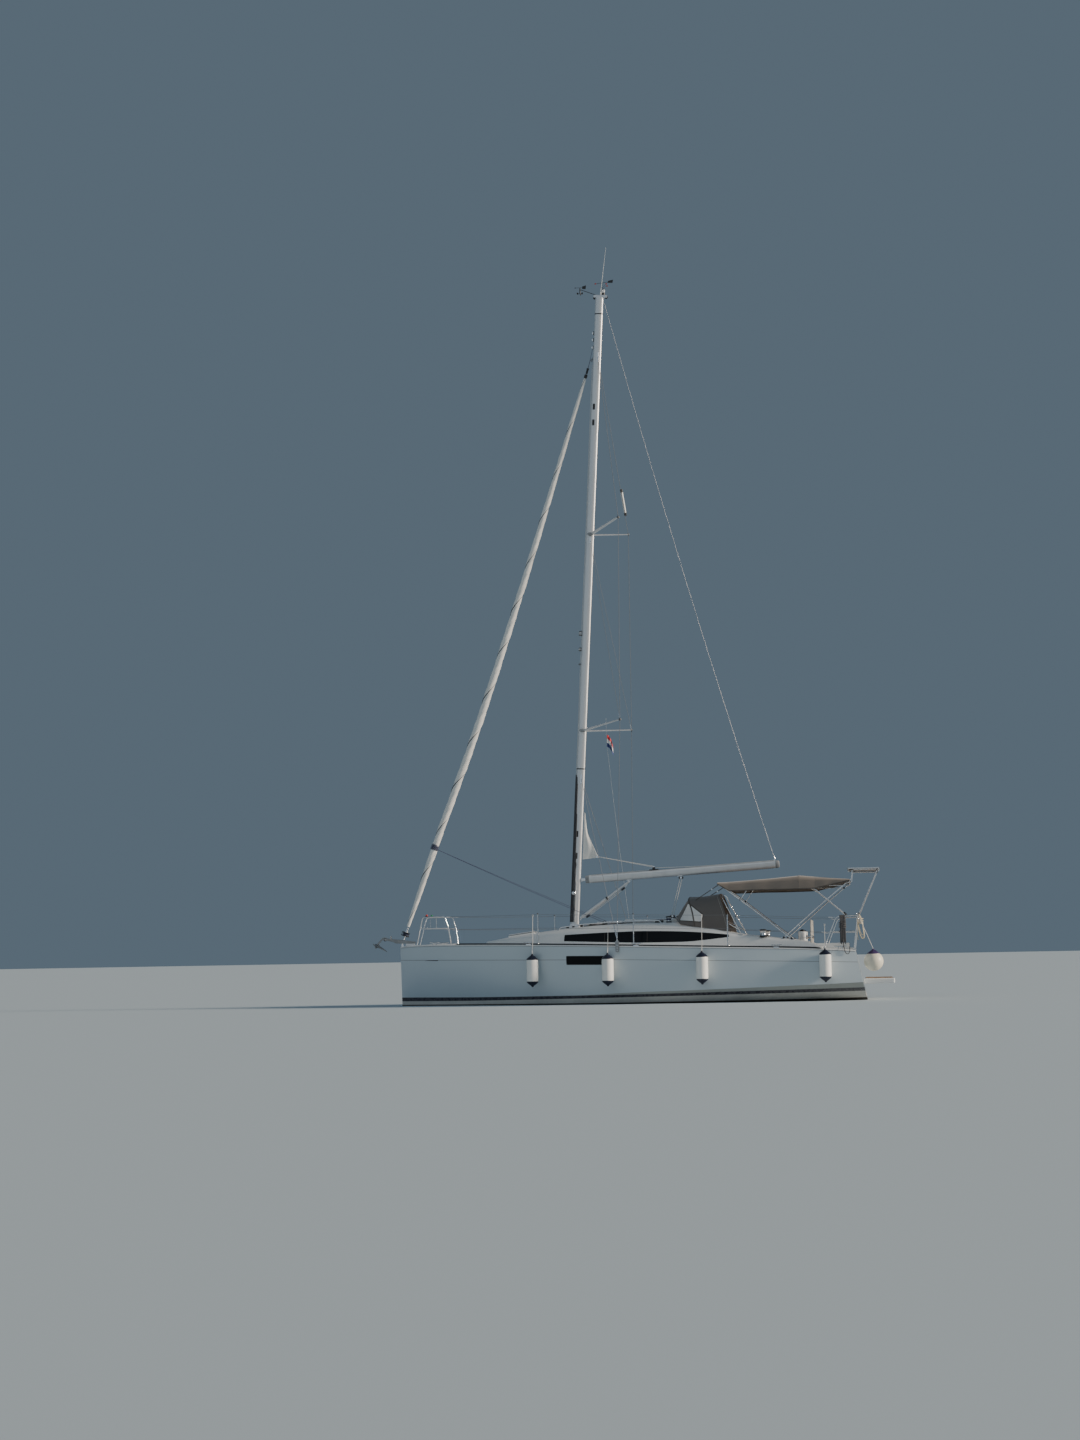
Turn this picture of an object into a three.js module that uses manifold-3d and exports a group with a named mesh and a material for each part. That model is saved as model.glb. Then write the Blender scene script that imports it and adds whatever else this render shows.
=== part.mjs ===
// Cruising sailing yacht, about 34 feet, afloat.
// Millimetres. +X bow, +Y port, +Z up. Origin on the waterline plane, on the centreline, half way along the hull.
import * as THREE from 'three';
import { mergeVertices } from 'three/addons/utils/BufferGeometryUtils.js';
import Module from 'manifold-3d';

const wasm = await Module();
wasm.setup();

// ---------------------------------------------------------------- driving dimensions
const SKIN = 28;              // hull laminate
const DECK_T = 26;            // deck laminate
const RAIL_H = 24;            // toe rail height
const GAP = 0.4;              // between touching pieces
const CABIN_WALL = 35;
const CABIN_AFT = -1450;      // inner face of the aft bulkhead
const BULKHEAD = 30;
const WELL_HALF = 1010;       // cockpit half width
const SEAT_Z = 1000, SOLE_Z = 600;
const FOOTWELL_HALF = 400, FOOTWELL_AFT = -3350, HELM_SEAT_X = -4300, STERN_X = -4680;
const RECESS_Z = 300;         // floor of the recess behind the swim platform
const TRANSOM_LEAN = 0.2175;  // forward per unit up
const MAST_RAKE = Math.atan(0.0586);
const MAST_FOOT = [1171, 0, 1652], MAST_TOP_Z = 15440, MAST_FA = 178, MAST_W = 108;
const WIRE = 5;               // shroud radius
const TUBE = 12.5;            // rail tube radius
const PLATFORM = { hingeX: -4944, hingeZ: 335, length: 632, half: 1000, thick: 120 };
const WHEEL = { x: -3880, y: 620, z: 1320, r: 350 };
const FENDER = { r: 122, body: 470, cone: 80 };

// ---------------------------------------------------------------- helpers
const V = (x, y, z) => new THREE.Vector3(x, y, z);
const P = (a) => V(a[0], a[1], a[2]);
const lerp = (a, b, t) => a + (b - a) * t;

function solid(geometry) {
  let g = geometry.clone();
  for (const k of Object.keys(g.attributes)) if (k !== 'position') g.deleteAttribute(k);
  g = mergeVertices(g, 1e-2);
  const idx = [];
  const a = g.index.array;
  for (let i = 0; i < a.length; i += 3) if (a[i] !== a[i + 1] && a[i + 1] !== a[i + 2] && a[i] !== a[i + 2]) idx.push(a[i], a[i + 1], a[i + 2]);
  const pos = g.attributes.position.array;
  let vol = 0;
  for (let i = 0; i < idx.length; i += 3) {
    const [p, q, r] = [idx[i] * 3, idx[i + 1] * 3, idx[i + 2] * 3];
    vol += pos[p] * (pos[q + 1] * pos[r + 2] - pos[q + 2] * pos[r + 1]) - pos[p + 1] * (pos[q] * pos[r + 2] - pos[q + 2] * pos[r]) + pos[p + 2] * (pos[q] * pos[r + 1] - pos[q + 1] * pos[r]);
  }
  if (vol < 0) for (let i = 0; i < idx.length; i += 3) { const t = idx[i]; idx[i] = idx[i + 1]; idx[i + 1] = t; }
  return new wasm.Manifold(new wasm.Mesh({ numProp: 3, vertProperties: new Float32Array(pos), triVerts: new Uint32Array(idx) }));
}

function geometryOf(manifold) {
  const m = manifold.getMesh();
  const g = new THREE.BufferGeometry();
  const n = m.numProp, count = m.vertProperties.length / n, pos = new Float32Array(count * 3);
  for (let i = 0; i < count; i++) for (let k = 0; k < 3; k++) pos[i * 3 + k] = m.vertProperties[i * n + k];
  g.setAttribute('position', new THREE.BufferAttribute(pos, 3));
  g.setIndex(new THREE.BufferAttribute(new Uint32Array(m.triVerts), 1));
  g.computeVertexNormals();
  return g;
}

const join = (list) => list.reduce((a, b) => a.add(b));

function box(x0, x1, y0, y1, z0, z1) {
  const g = new THREE.BoxGeometry(Math.abs(x1 - x0), Math.abs(y1 - y0), Math.abs(z1 - z0));
  g.translate((x0 + x1) / 2, (y0 + y1) / 2, (z0 + z1) / 2);
  return solid(g);
}

// a box of size [lx, ly, lz] turned by pitch about Y (nose up positive) and moved to a centre
function tiltedBox(size, centre, pitch = 0, roll = 0) {
  const g = new THREE.BoxGeometry(...size);
  g.rotateX(roll);
  g.rotateY(-pitch);
  g.translate(...centre);
  return solid(g);
}

function rod(a, b, r, sides = 8, r2 = r) {
  const A = P(a), B = P(b), d = B.clone().sub(A), L = d.length();
  const g = new THREE.CylinderGeometry(r2, r, L, sides);
  g.applyQuaternion(new THREE.Quaternion().setFromUnitVectors(V(0, 1, 0), d.normalize()));
  g.translate((A.x + B.x) / 2, (A.y + B.y) / 2, (A.z + B.z) / 2);
  return solid(g);
}

// a curve through given corner points, straight between them
class PathThrough extends THREE.Curve {
  constructor(points) { super(); this.p = points; }
  getPoint(t, out = V(0, 0, 0)) {
    const n = this.p.length - 1, s = Math.min(Math.max(t * n, 0), n), i = Math.min(Math.floor(s), n - 1);
    return out.copy(this.p[i]).lerp(this.p[i + 1], s - i);
  }
  getPointAt(u, out) { return this.getPoint(u, out); }
  getTangentAt(u, out = V(0, 0, 0)) {
    const n = this.p.length - 1, i = Math.round(u * n);
    const a = this.p[Math.max(i - 1, 0)], b = this.p[Math.min(i + 1, n)], c = this.p[i];
    const d1 = c.clone().sub(a).normalize(), d2 = b.clone().sub(c).normalize();
    return out.copy(i === 0 ? d2 : i === n ? d1 : d1.add(d2)).normalize();
  }
}

// corner points with each inner corner rounded
function rounded(points, fillet, cuts = 2) {
  const p = points.map(P), out = [p[0]];
  for (let i = 1; i < p.length - 1; i++) {
    const d1 = p[i - 1].clone().sub(p[i]), d2 = p[i + 1].clone().sub(p[i]);
    const f = Math.min(fillet, d1.length() * 0.45, d2.length() * 0.45);
    const a = p[i].clone().addScaledVector(d1.normalize(), f), b = p[i].clone().addScaledVector(d2.normalize(), f);
    for (let k = 0; k <= cuts; k++) {
      const t = k / cuts;
      out.push(a.clone().multiplyScalar((1 - t) * (1 - t)).addScaledVector(p[i], 2 * t * (1 - t)).addScaledVector(b, t * t));
    }
  }
  out.push(p[p.length - 1]);
  return out;
}

function tubeGeometry(path, r, sides) {
  const shape = new THREE.Shape();
  for (let i = 0; i < sides; i++) {
    const a = (i / sides) * 2 * Math.PI;
    shape[i ? 'lineTo' : 'moveTo'](r * Math.cos(a), r * Math.sin(a));
  }
  shape.closePath();
  return new THREE.ExtrudeGeometry(shape, { steps: path.length - 1, extrudePath: new PathThrough(path), bevelEnabled: false });
}
const tube = (points, r = TUBE, sides = 6, fillet = 80, cuts = 2) => solid(tubeGeometry(rounded(points, fillet, cuts), r, sides));

// a closed body through rings of equal length
function loft(rings) {
  const n = rings[0].length, pos = [], idx = [];
  for (const r of rings) for (const p of r) pos.push(p.x, p.y, p.z);
  for (let i = 0; i < rings.length - 1; i++) for (let j = 0; j < n; j++) {
    const a = i * n + j, b = i * n + ((j + 1) % n), c = a + n, d = b + n;
    idx.push(a, b, d, a, d, c);
  }
  const cap = (ring, base, flip) => {
    const c0 = ring[0], e1 = ring[1].clone().sub(c0).normalize();
    let nrm = V(0, 0, 0);
    for (let j = 0; j < n; j++) nrm.add(ring[j].clone().sub(c0).cross(ring[(j + 1) % n].clone().sub(c0)));
    nrm.normalize();
    const e2 = nrm.clone().cross(e1);
    const flat = ring.map((p) => new THREE.Vector2(p.clone().sub(c0).dot(e1), p.clone().sub(c0).dot(e2)));
    for (const f of THREE.ShapeUtils.triangulateShape(flat, [])) idx.push(...(flip ? [base + f[0], base + f[2], base + f[1]] : [base + f[0], base + f[1], base + f[2]]));
  };
  cap(rings[0], 0, true);
  cap(rings[rings.length - 1], (rings.length - 1) * n, false);
  const g = new THREE.BufferGeometry();
  g.setAttribute('position', new THREE.Float32BufferAttribute(pos, 3));
  g.setIndex(idx);
  return solid(g);
}

// a sheet of the given thickness through a grid of points [row][column]
function sheet(grid, thickness) {
  const R = grid.length, C = grid[0].length;
  const at = (i, j) => grid[Math.min(Math.max(i, 0), R - 1)][Math.min(Math.max(j, 0), C - 1)];
  const top = [], low = [];
  for (let i = 0; i < R; i++) for (let j = 0; j < C; j++) {
    const n = at(i + 1, j).clone().sub(at(i - 1, j)).cross(at(i, j + 1).clone().sub(at(i, j - 1))).normalize();
    top.push(grid[i][j].clone().addScaledVector(n, thickness / 2));
    low.push(grid[i][j].clone().addScaledVector(n, -thickness / 2));
  }
  const pos = [], idx = [], N = R * C;
  for (const p of [...top, ...low]) pos.push(p.x, p.y, p.z);
  const id = (i, j) => i * C + j;
  for (let i = 0; i < R - 1; i++) for (let j = 0; j < C - 1; j++) {
    const a = id(i, j), b = id(i, j + 1), c = id(i + 1, j), d = id(i + 1, j + 1);
    idx.push(a, c, d, a, d, b, a + N, d + N, c + N, a + N, b + N, d + N);
  }
  const edge = [];
  for (let j = 0; j < C - 1; j++) edge.push([id(0, j), id(0, j + 1)]);
  for (let i = 0; i < R - 1; i++) edge.push([id(i, C - 1), id(i + 1, C - 1)]);
  for (let j = C - 1; j > 0; j--) edge.push([id(R - 1, j), id(R - 1, j - 1)]);
  for (let i = R - 1; i > 0; i--) edge.push([id(i, 0), id(i - 1, 0)]);
  for (const [a, b] of edge) idx.push(a, b, b + N, a, b + N, a + N);
  const g = new THREE.BufferGeometry();
  g.setAttribute('position', new THREE.Float32BufferAttribute(pos, 3));
  g.setIndex(idx);
  return solid(g);
}

// a side-view outline [x, z] carried across from y0 to y1
function prism(outline, y0, y1) {
  const s = new THREE.Shape(outline.map(([x, z]) => new THREE.Vector2(x, z)));
  const g = new THREE.ExtrudeGeometry(s, { depth: y1 - y0, bevelEnabled: false });
  g.rotateX(Math.PI / 2);        // shape z up, depth along -Y
  g.translate(0, y1, 0);
  return solid(g);
}

function lathe(profile, sides, centre, axis = 'z') {
  const g = new THREE.LatheGeometry(profile.map(([r, z]) => new THREE.Vector2(r, z)), sides);
  if (axis === 'z') g.rotateX(Math.PI / 2);
  if (axis === 'x') g.rotateZ(-Math.PI / 2);
  g.translate(...centre);
  return solid(g);
}

const yacht = new THREE.Group();
const COLOUR = {
  gelcoat: [0xdcdedd, 0.3, 0], deck: [0xd6d7d3, 0.45, 0], iron: [0x22262b, 0.5, 0.2], alloy: [0xb9bcc0, 0.38, 0.85],
  steel: [0xc9ccd0, 0.2, 1], black: [0x14161a, 0.45, 0], sail: [0xe6e6e2, 0.8, 0], taupe: [0x8f8578, 0.9, 0],
  glass: [0x0c0f13, 0.08, 0], teak: [0x8a6a48, 0.7, 0], fender: [0xe4e2dc, 0.5, 0], cream: [0xe2d9bd, 0.5, 0], bronze: [0x8a7444, 0.35, 1],
};
function node(name, body, colour, at = null) {
  const [color, roughness, metalness] = COLOUR[colour];
  const mesh = new THREE.Mesh(body.isBufferGeometry ? body : geometryOf(body), new THREE.MeshStandardMaterial({ color, roughness, metalness }));
  mesh.name = name;
  if (at) mesh.position.set(...at);
  yacht.add(mesh);
  return mesh;
}

// ---------------------------------------------------------------- hull form
// station: x at the waterline plane, lean (dx/dz), sheer half width and height, chine half width and height,
// keel line height, fullness of the bottom (over 1 is a V), angle at which the bottom starts under the chine
const STATIONS = [
  // x0,   lean,  ys,   zs,   yc,   zc,   zk,  p,   t0
  [4942, 0.024, 16, 1290, 9, 160, -25, 1.0, 0],
  [4830, 0.020, 150, 1302, 55, 130, -190, 1.3, 0],
  [4520, 0.010, 395, 1314, 175, 115, -285, 1.45, 0],
  [4050, 0, 680, 1316, 385, 110, -335, 1.45, 0],
  [3400, 0, 975, 1309, 650, 120, -378, 1.35, 0],
  [2600, 0, 1255, 1296, 970, 140, -410, 1.25, 0],
  [1700, 0, 1475, 1276, 1250, 165, -430, 1.15, 2],
  [700, 0, 1635, 1249, 1470, 200, -435, 1.05, 5],
  [-350, 0, 1705, 1217, 1600, 244, -420, 1.0, 12],
  [-1400, 0, 1720, 1185, 1655, 268, -385, 1.0, 18],
  [-2400, 0, 1700, 1156, 1658, 294, -325, 1.0, 22],
  [-3400, 0.03, 1650, 1128, 1620, 326, -240, 1.0, 25],
  [-4300, 0.12, 1578, 1093, 1556, 352, -140, 1.0, 27],
  [-5007, TRANSOM_LEAN, 1500, 1055, 1482, 378, -45, 1.0, 28],
];
const STATION_KEYS = ['x0', 'lean', 'ys', 'zs', 'yc', 'zc', 'zk', 'p', 't0'];
const stations = STATIONS.map((row) => Object.fromEntries(row.map((v, i) => [STATION_KEYS[i], v])));

function hullAt(x) {
  let i = 0;
  while (i < stations.length - 2 && x < stations[i + 1].x0) i++;
  const a = stations[i], b = stations[i + 1], t = (x - a.x0) / (b.x0 - a.x0);
  return Object.fromEntries(STATION_KEYS.map((k) => [k, lerp(a[k], b[k], t)]));
}

// half section from the sheer down to the keel line, drawn in by off
function hullRing(s, off, zTop) {
  const half = [];
  const ys = Math.max(s.ys - off, 4), yc = Math.max(s.yc - off, 3), zk = s.zk + off;
  const zt = zTop ?? s.zs - RAIL_H - DECK_T;
  half.push([ys, zt]);
  half.push([lerp(ys, yc, 0.5) + (s.ys > 300 ? 12 : 0), lerp(zt, s.zc, 0.5)]);
  const t0 = (s.t0 * Math.PI) / 180, N = 6;
  for (let k = 0; k <= N; k++) {
    const t = lerp(t0, Math.PI / 2, k / N);
    const y = (yc * Math.pow(Math.max(Math.cos(t), 0), s.p)) / Math.pow(Math.cos(t0), s.p);
    const z = lerp(s.zc, zk, (Math.sin(t) - Math.sin(t0)) / (1 - Math.sin(t0)));
    half.push([k === N ? 0 : Math.max(y, 1.5), z]);
  }
  const pts = half.map(([y, z]) => V(s.x0 + s.lean * z, y, z));
  const other = half.slice(0, -1).reverse().map(([y, z]) => V(s.x0 + s.lean * z, -y, z));
  return [...pts, ...other];
}

function hullBody(off, zTop = null) {
  const rows = stations.map((s) => ({ ...s }));
  if (off > 0) {
    const bow = hullAt(4942 - off * 2.2), stern = { ...rows[rows.length - 1] };
    stern.x0 += off * 1.03;
    rows[0] = bow;
    rows[rows.length - 1] = stern;
  }
  return loft(rows.map((s) => hullRing(s, off, zTop === null ? undefined : zTop)));
}

const hullOuter = hullBody(0);
const hullInner = hullBody(SKIN, 1500);
const inside = hullBody(SKIN + GAP, 1500);     // what fits inside the hull shell
const STERN_OPEN = (g) => box(-5200, STERN_X, -WELL_HALF - g, WELL_HALF + g, RECESS_Z - 1, 2500);

// rudder stocks, canted outwards at the foot
const RUDDER = { x: -4330, yTop: 830, zTop: 330, yFoot: 1110, zFoot: -1290, stock: 32 };
const rudderAxis = (side) => [[RUDDER.x, side * RUDDER.yFoot, RUDDER.zFoot], [RUDDER.x, side * RUDDER.yTop, RUDDER.zTop]];

let hull = hullOuter.subtract(hullInner).subtract(STERN_OPEN(0));
for (const side of [1, -1]) {
  const [a, b] = rudderAxis(side);
  hull = hull.subtract(rod(a, b, RUDDER.stock + 6, 12));
}
node('hull', hull, 'gelcoat');

// ---------------------------------------------------------------- keel, rudders, drive
function foil(chord, thick, x, z, y = 0, lean = 0) {   // leading edge at x, chord runs aft
  const half = [[0, 0], [0.08, 0.62], [0.3, 1], [0.6, 0.72], [0.97, 0.06]];
  const up = half.map(([c, t]) => V(x - c * chord, y + (t * thick) / 2, z)), dn = half.slice(1).reverse().map(([c, t]) => V(x - c * chord, y - (t * thick) / 2, z));
  return [...up, V(x - chord, y, z), ...dn];
}
const KEEL = { rootX: 650, rootChord: 1180, tipX: 430, tipChord: 760, bulbZ: -1815 };
const fin = loft([foil(KEEL.rootChord, 150, KEEL.rootX, -380), foil(KEEL.rootChord, 150, KEEL.rootX, -440), foil(KEEL.tipChord, 110, KEEL.tipX, KEEL.bulbZ)]);
const bulb = lathe([[0, -1000], [60, -930], [130, -650], [165, -200], [160, 200], [110, 520], [50, 690], [0, 730]], 12, [0, 0, 0], 'x');
const bulbBody = bulb.rotate([0, 180, 0]).translate([60, 0, KEEL.bulbZ]);
const lowered = hullOuter.translate([0, 0, -GAP]);
node('keel', fin.add(bulbBody).subtract(lowered), 'iron');

for (const [name, side] of [['rudder_port', 1], ['rudder_starboard', -1]]) {
  const [foot, top] = rudderAxis(side);
  const yAt = (z) => side * lerp(RUDDER.yFoot, RUDDER.yTop, (z - RUDDER.zFoot) / (RUDDER.zTop - RUDDER.zFoot));
  const blade = loft([
    foil(300, 40, RUDDER.x + 90, -1280, yAt(-1280)), foil(420, 62, RUDDER.x + 120, -760, yAt(-760)), foil(470, 74, RUDDER.x + 130, -80, yAt(-80)),
  ]);
  const stock = rod([foot[0], yAt(-700), -700], top, RUDDER.stock, 12);
  node(name, blade.add(stock), 'iron');
}

const LEG = { x: -1130, z: -800 };
const leg = loft([foil(330, 110, LEG.x + 190, -340), foil(330, 110, LEG.x + 190, -420), foil(250, 80, LEG.x + 150, LEG.z + 15)]);
const gearcase = lathe([[0, -190], [34, -150], [52, -40], [52, 90], [44, 190], [0, 190]], 10, [0, 0, 0], 'x').rotate([0, 180, 0]).translate([LEG.x + 30, 0, LEG.z]);
node('saildrive_leg', leg.add(gearcase).subtract(lowered), 'alloy');

const PROP_X = LEG.x - 175;
let prop = rod([PROP_X + 6, 0, LEG.z], [PROP_X - 110, 0, LEG.z], 42, 10, 26);
for (let k = 0; k < 3; k++) {
  const g = new THREE.BoxGeometry(16, 130, 165);
  g.rotateZ(0.62);
  g.translate(0, 0, 108);
  g.rotateX((k * 2 * Math.PI) / 3);
  g.translate(PROP_X - 50, 0, LEG.z);
  prop = prop.add(solid(g));
}
node('propeller', prop, 'bronze');

node('engine', box(-1800, -1050, -230, 230, -220, 380), 'iron');

// cabin sole with the companionway steps standing on it
const soleBlock = box(-1420, 3300, -1300, 1300, -165, -135).intersect(hullBody(SKIN + 3, 1500));
const steps = join([box(-1400, -1010, -262, 262, -140, 470).subtract(box(-1500, -1030, -236, 236, -200, 450)), box(-1012, -760, -250, 250, 190, 220), box(-1012, -640, -250, 250, -60, -30), box(-1012, -880, -250, 250, 380, 410)]
  .concat([1, -1].map((s) => prism([[-1010, 430], [-1010, -150], [-630, -150], [-630, -30], [-860, 430]], s > 0 ? 250 : -262, s > 0 ? 262 : -250))));
const engineClear = box(-1900, -1030, -236, 236, -230, 400);
node('cabin_sole', soleBlock.add(steps).subtract(engineClear).subtract(box(-1500, -1400, -2000, 2000, -400, 1500)), 'teak');

// ---------------------------------------------------------------- deck moulding
const deckZ = (s) => s.zs - RAIL_H;                   // top of the deck at its edge
const camber = (s) => 0.028 * s.ys;
const deckTopAt = (x, y) => { const s = hullAt(x); return deckZ(s) + camber(s) * (1 - Math.abs(y) / s.ys); };
function deckRing(s) {
  const t = deckZ(s), b = t - DECK_T + GAP, c = camber(s);
  const X = (z) => s.x0 + s.lean * z;
  return [V(X(b), s.ys, b), V(X(t), s.ys, t), V(X(t + c), 0, t + c), V(X(t), -s.ys, t), V(X(b), -s.ys, b), V(X(b + c), 0, b + c)];
}
const deckPlate = loft(stations.map(deckRing));

// coachroof and coamings: base half width, top of side half width and height, shoulder half width, crown height
const HOUSE = [
  // x,    yb,   ys,   zs,   yh,   zt
  [3060, 170, 150, 1326, 110, 1350],
  [2930, 300, 262, 1338, 200, 1372],
  [2600, 500, 455, 1372, 345, 1430],
  [2000, 745, 680, 1432, 530, 1512],
  [1370, 935, 850, 1488, 660, 1592],
  [700, 1060, 952, 1540, 745, 1668],
  [-300, 1150, 1030, 1572, 820, 1704],
  [-1350, 1205, 1095, 1545, 870, 1690],
  [-1700, 1225, 1118, 1520, 900, 1640],
  [-2390, 1262, 1165, 1408, 1110, 1424],
  [-3100, 1300, 1215, 1322, 1160, 1334],
  [-3760, 1325, 1250, 1236, 1200, 1250],
  [-4100, 1335, 1270, 1118, 1230, 1128],
];
const HOUSE_KEYS = ['x', 'yb', 'ys', 'zs', 'yh', 'zt'];
const house = HOUSE.map((r) => Object.fromEntries(r.map((v, i) => [HOUSE_KEYS[i], v])));
function houseAt(x) {
  let i = 0;
  while (i < house.length - 2 && x < house[i + 1].x) i++;
  const a = house[i], b = house[i + 1], t = (x - a.x) / (b.x - a.x);
  return Object.fromEntries(HOUSE_KEYS.map((k) => [k, lerp(a[k], b[k], t)]));
}
function houseRing(h, off, zBase) {
  const w = (y) => Math.max(y - off, 12);
  const zb = Math.min(deckTopAt(h.x, h.yb), h.zs - 30);
  const half = [[w(h.yb), zBase ?? zb - 20], [w(h.yb), zb], [w(h.ys), h.zs - off * 0.5], [w(h.yh), lerp(h.zs, h.zt, 0.72) - off], [0, h.zt - off]];
  return [...half.map(([y, z]) => V(h.x, y, z)), ...half.slice(0, -1).reverse().map(([y, z]) => V(h.x, -y, z))];
}
const houseOuter = (off = 0) => loft(house.map((h) => houseRing(h, off)));
const cabinX = [2860, 2600, 2000, 1370, 700, -300, -1350, CABIN_AFT];
const cabinVoid = loft(cabinX.map((x) => houseRing({ ...houseAt(x), x }, CABIN_WALL, 1000)));

// roof hatches: centre x, half length, half width
const HATCH = { fore: { x: 2290, hl: 250, hw: 250 }, saloon: { x: 410, hl: 230, hw: 230 } };
function roofTilt(x) { const a = houseAt(x + 200), b = houseAt(x - 200); return Math.atan((a.zt - b.zt) / 400); }
const hatchSeat = (h) => {
  const z = houseAt(h.x).zt, t = roofTilt(h.x);
  return { z, t, upstand: tiltedBox([2 * h.hl + 60, 2 * h.hw + 60, 130], [h.x, 0, z - 47], t), hole: tiltedBox([2 * h.hl, 2 * h.hw, 420], [h.x, 0, z - 47], t) };
};
const foreSeat = hatchSeat(HATCH.fore), saloonSeat = hatchSeat(HATCH.saloon);

// companionway: slot in the roof, opening in the bulkhead, runners and garage over the sliding hatch
const COMP = { half: 330, roofX: -720, sill: 1040, garageFwd: 60, garageAft: -1000, garageZ: 1752, lidHalf: 370 };
const slot = box(-1600, COMP.roofX, -COMP.half, COMP.half, 1500, 1900).add(box(-1600, -1400, -COMP.half, COMP.half, COMP.sill, 1800));
const garage = box(COMP.garageAft, COMP.garageFwd, -420, 420, 1600, COMP.garageZ + 14)
  .subtract(box(COMP.garageAft - 10, COMP.garageFwd - 20, -COMP.lidHalf - 12, COMP.lidHalf + 12, 1500, COMP.garageZ));
const runners = join([1, -1].map((s) => box(-1478, COMP.garageAft + 5, s > 0 ? 382 : -400, s > 0 ? 400 : -382, 1600, 1742)));

// cockpit: a block that the benches, wells and lockers are cut from
const tubBlock = box(CABIN_AFT - BULKHEAD, STERN_X + 30, -WELL_HALF - 30, WELL_HALF + 30, SOLE_Z - 30, 1180)
  .add(box(STERN_X + 30, -4975, -WELL_HALF - 30, WELL_HALF + 30, RECESS_Z - 30, 1085))
  .add(box(STERN_X, STERN_X + 30, -WELL_HALF - 30, WELL_HALF + 30, RECESS_Z - 30, SOLE_Z))
  .intersect(inside);
const wells = join([
  box(CABIN_AFT - BULKHEAD, -5300, -WELL_HALF, WELL_HALF, SEAT_Z, 2500),
  box(CABIN_AFT - BULKHEAD, FOOTWELL_AFT - 1, -FOOTWELL_HALF, FOOTWELL_HALF, SOLE_Z, 2500),
  box(FOOTWELL_AFT, HELM_SEAT_X, -WELL_HALF, WELL_HALF, SOLE_Z, 2500),
  box(HELM_SEAT_X + 1, -5300, -380, 380, SOLE_Z, 2500),
  box(STERN_X, -5300, -WELL_HALF, WELL_HALF, RECESS_Z, 2500),
]);
const under = join([1, -1].flatMap((s) => [
  box(CABIN_AFT - BULKHEAD - 30, FOOTWELL_AFT + 30, s * (FOOTWELL_HALF + 30), s * WELL_HALF, 400, SEAT_Z - 30),
  box(HELM_SEAT_X - 30, STERN_X + 30, s * 410, s * WELL_HALF, 400, SEAT_Z - 30),
]));
// locker openings in the bench tops
const LOCKER = { x0: -1750, x1: -3050, y0: 560, y1: 950 };
const lockerHoles = join([1, -1].map((s) => box(LOCKER.x0, LOCKER.x1, s * LOCKER.y0, s * LOCKER.y1, 900, 1100)));

// side window outline in side view, and the anchor locker opening
const WINDOW = [[1275, 1332], [1262, 1432], [500, 1478], [-305, 1502], [-1250, 1462], [-1300, 1440], [-1300, 1276], [-305, 1266]];
const insetWindow = (d) => WINDOW.map(([x, z]) => [x + (x > 0 ? -d : d), z + (z > 1400 ? -d : d)]);
const windowCut = prism(WINDOW, 800, 1400).add(prism(WINDOW, -1400, -800));
const ANCHOR_LID = { x0: 3720, x1: 4380, half: 250 };
const anchorHole = prism([[ANCHOR_LID.x0, 1000], [ANCHOR_LID.x1, 1000], [ANCHOR_LID.x1, 1600], [ANCHOR_LID.x0, 1600]], -ANCHOR_LID.half, ANCHOR_LID.half);

// each side of the coaming behind the cabin is filled under its top, so the cockpit side is a flat wall
let deck = deckPlate.add(houseOuter())
  .add(foreSeat.upstand).add(saloonSeat.upstand).add(garage).add(runners)
  .subtract(cabinVoid).add(tubBlock.subtract(cabinVoid)).subtract(wells).subtract(under).subtract(lockerHoles)
  .subtract(slot).subtract(foreSeat.hole).subtract(saloonSeat.hole).subtract(windowCut).subtract(anchorHole);
// anchor locker tray hung under the foredeck
const trayZ = 900;
const tray = box(ANCHOR_LID.x0 - 25, ANCHOR_LID.x1 + 25, -275, 275, trayZ, 1275).intersect(inside).intersect(loft(stations.slice(0, 6).map((s) => {
  const c = camber(s), t = deckZ(s) - 4;
  return [V(s.x0, s.ys, 600), V(s.x0, s.ys, t), V(s.x0, 0, t + c), V(s.x0, -s.ys, t), V(s.x0, -s.ys, 600)];
})));
deck = deck.add(tray.subtract(box(ANCHOR_LID.x0, ANCHOR_LID.x1, -ANCHOR_LID.half, ANCHOR_LID.half, trayZ + 25, 1500)));
// the moulding in five parts: foredeck, and each side of the coachroof and of the cockpit
const DECK_ZONES = {
  foredeck: [3100, 6000, -3000, 3000],
  coachroof_port: [-1480, 3100, 0, 3000],
  coachroof_starboard: [-1480, 3100, -3000, 0],
  cockpit_port: [-6000, -1480, 0, 3000],
  cockpit_starboard: [-6000, -1480, -3000, 0],
};
for (const [name, [x0, x1, y0, y1]] of Object.entries(DECK_ZONES)) node(name, deck.intersect(box(x0 + GAP / 2, x1 - GAP / 2, y0 + GAP / 2, y1 - GAP / 2, -600, 3000)), 'deck');
const deckRaised = deck.translate([0, 0, GAP]);

// cabin window panes follow the slope of the coachroof side
const skinBand = houseOuter().subtract(houseOuter(12));
for (const [name, y0, y1] of [['cabin_window_port', 800, 1400], ['cabin_window_starboard', -1400, -800]]) {
  node(name, skinBand.intersect(prism(insetWindow(GAP), y0, y1)), 'glass');
}

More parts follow.
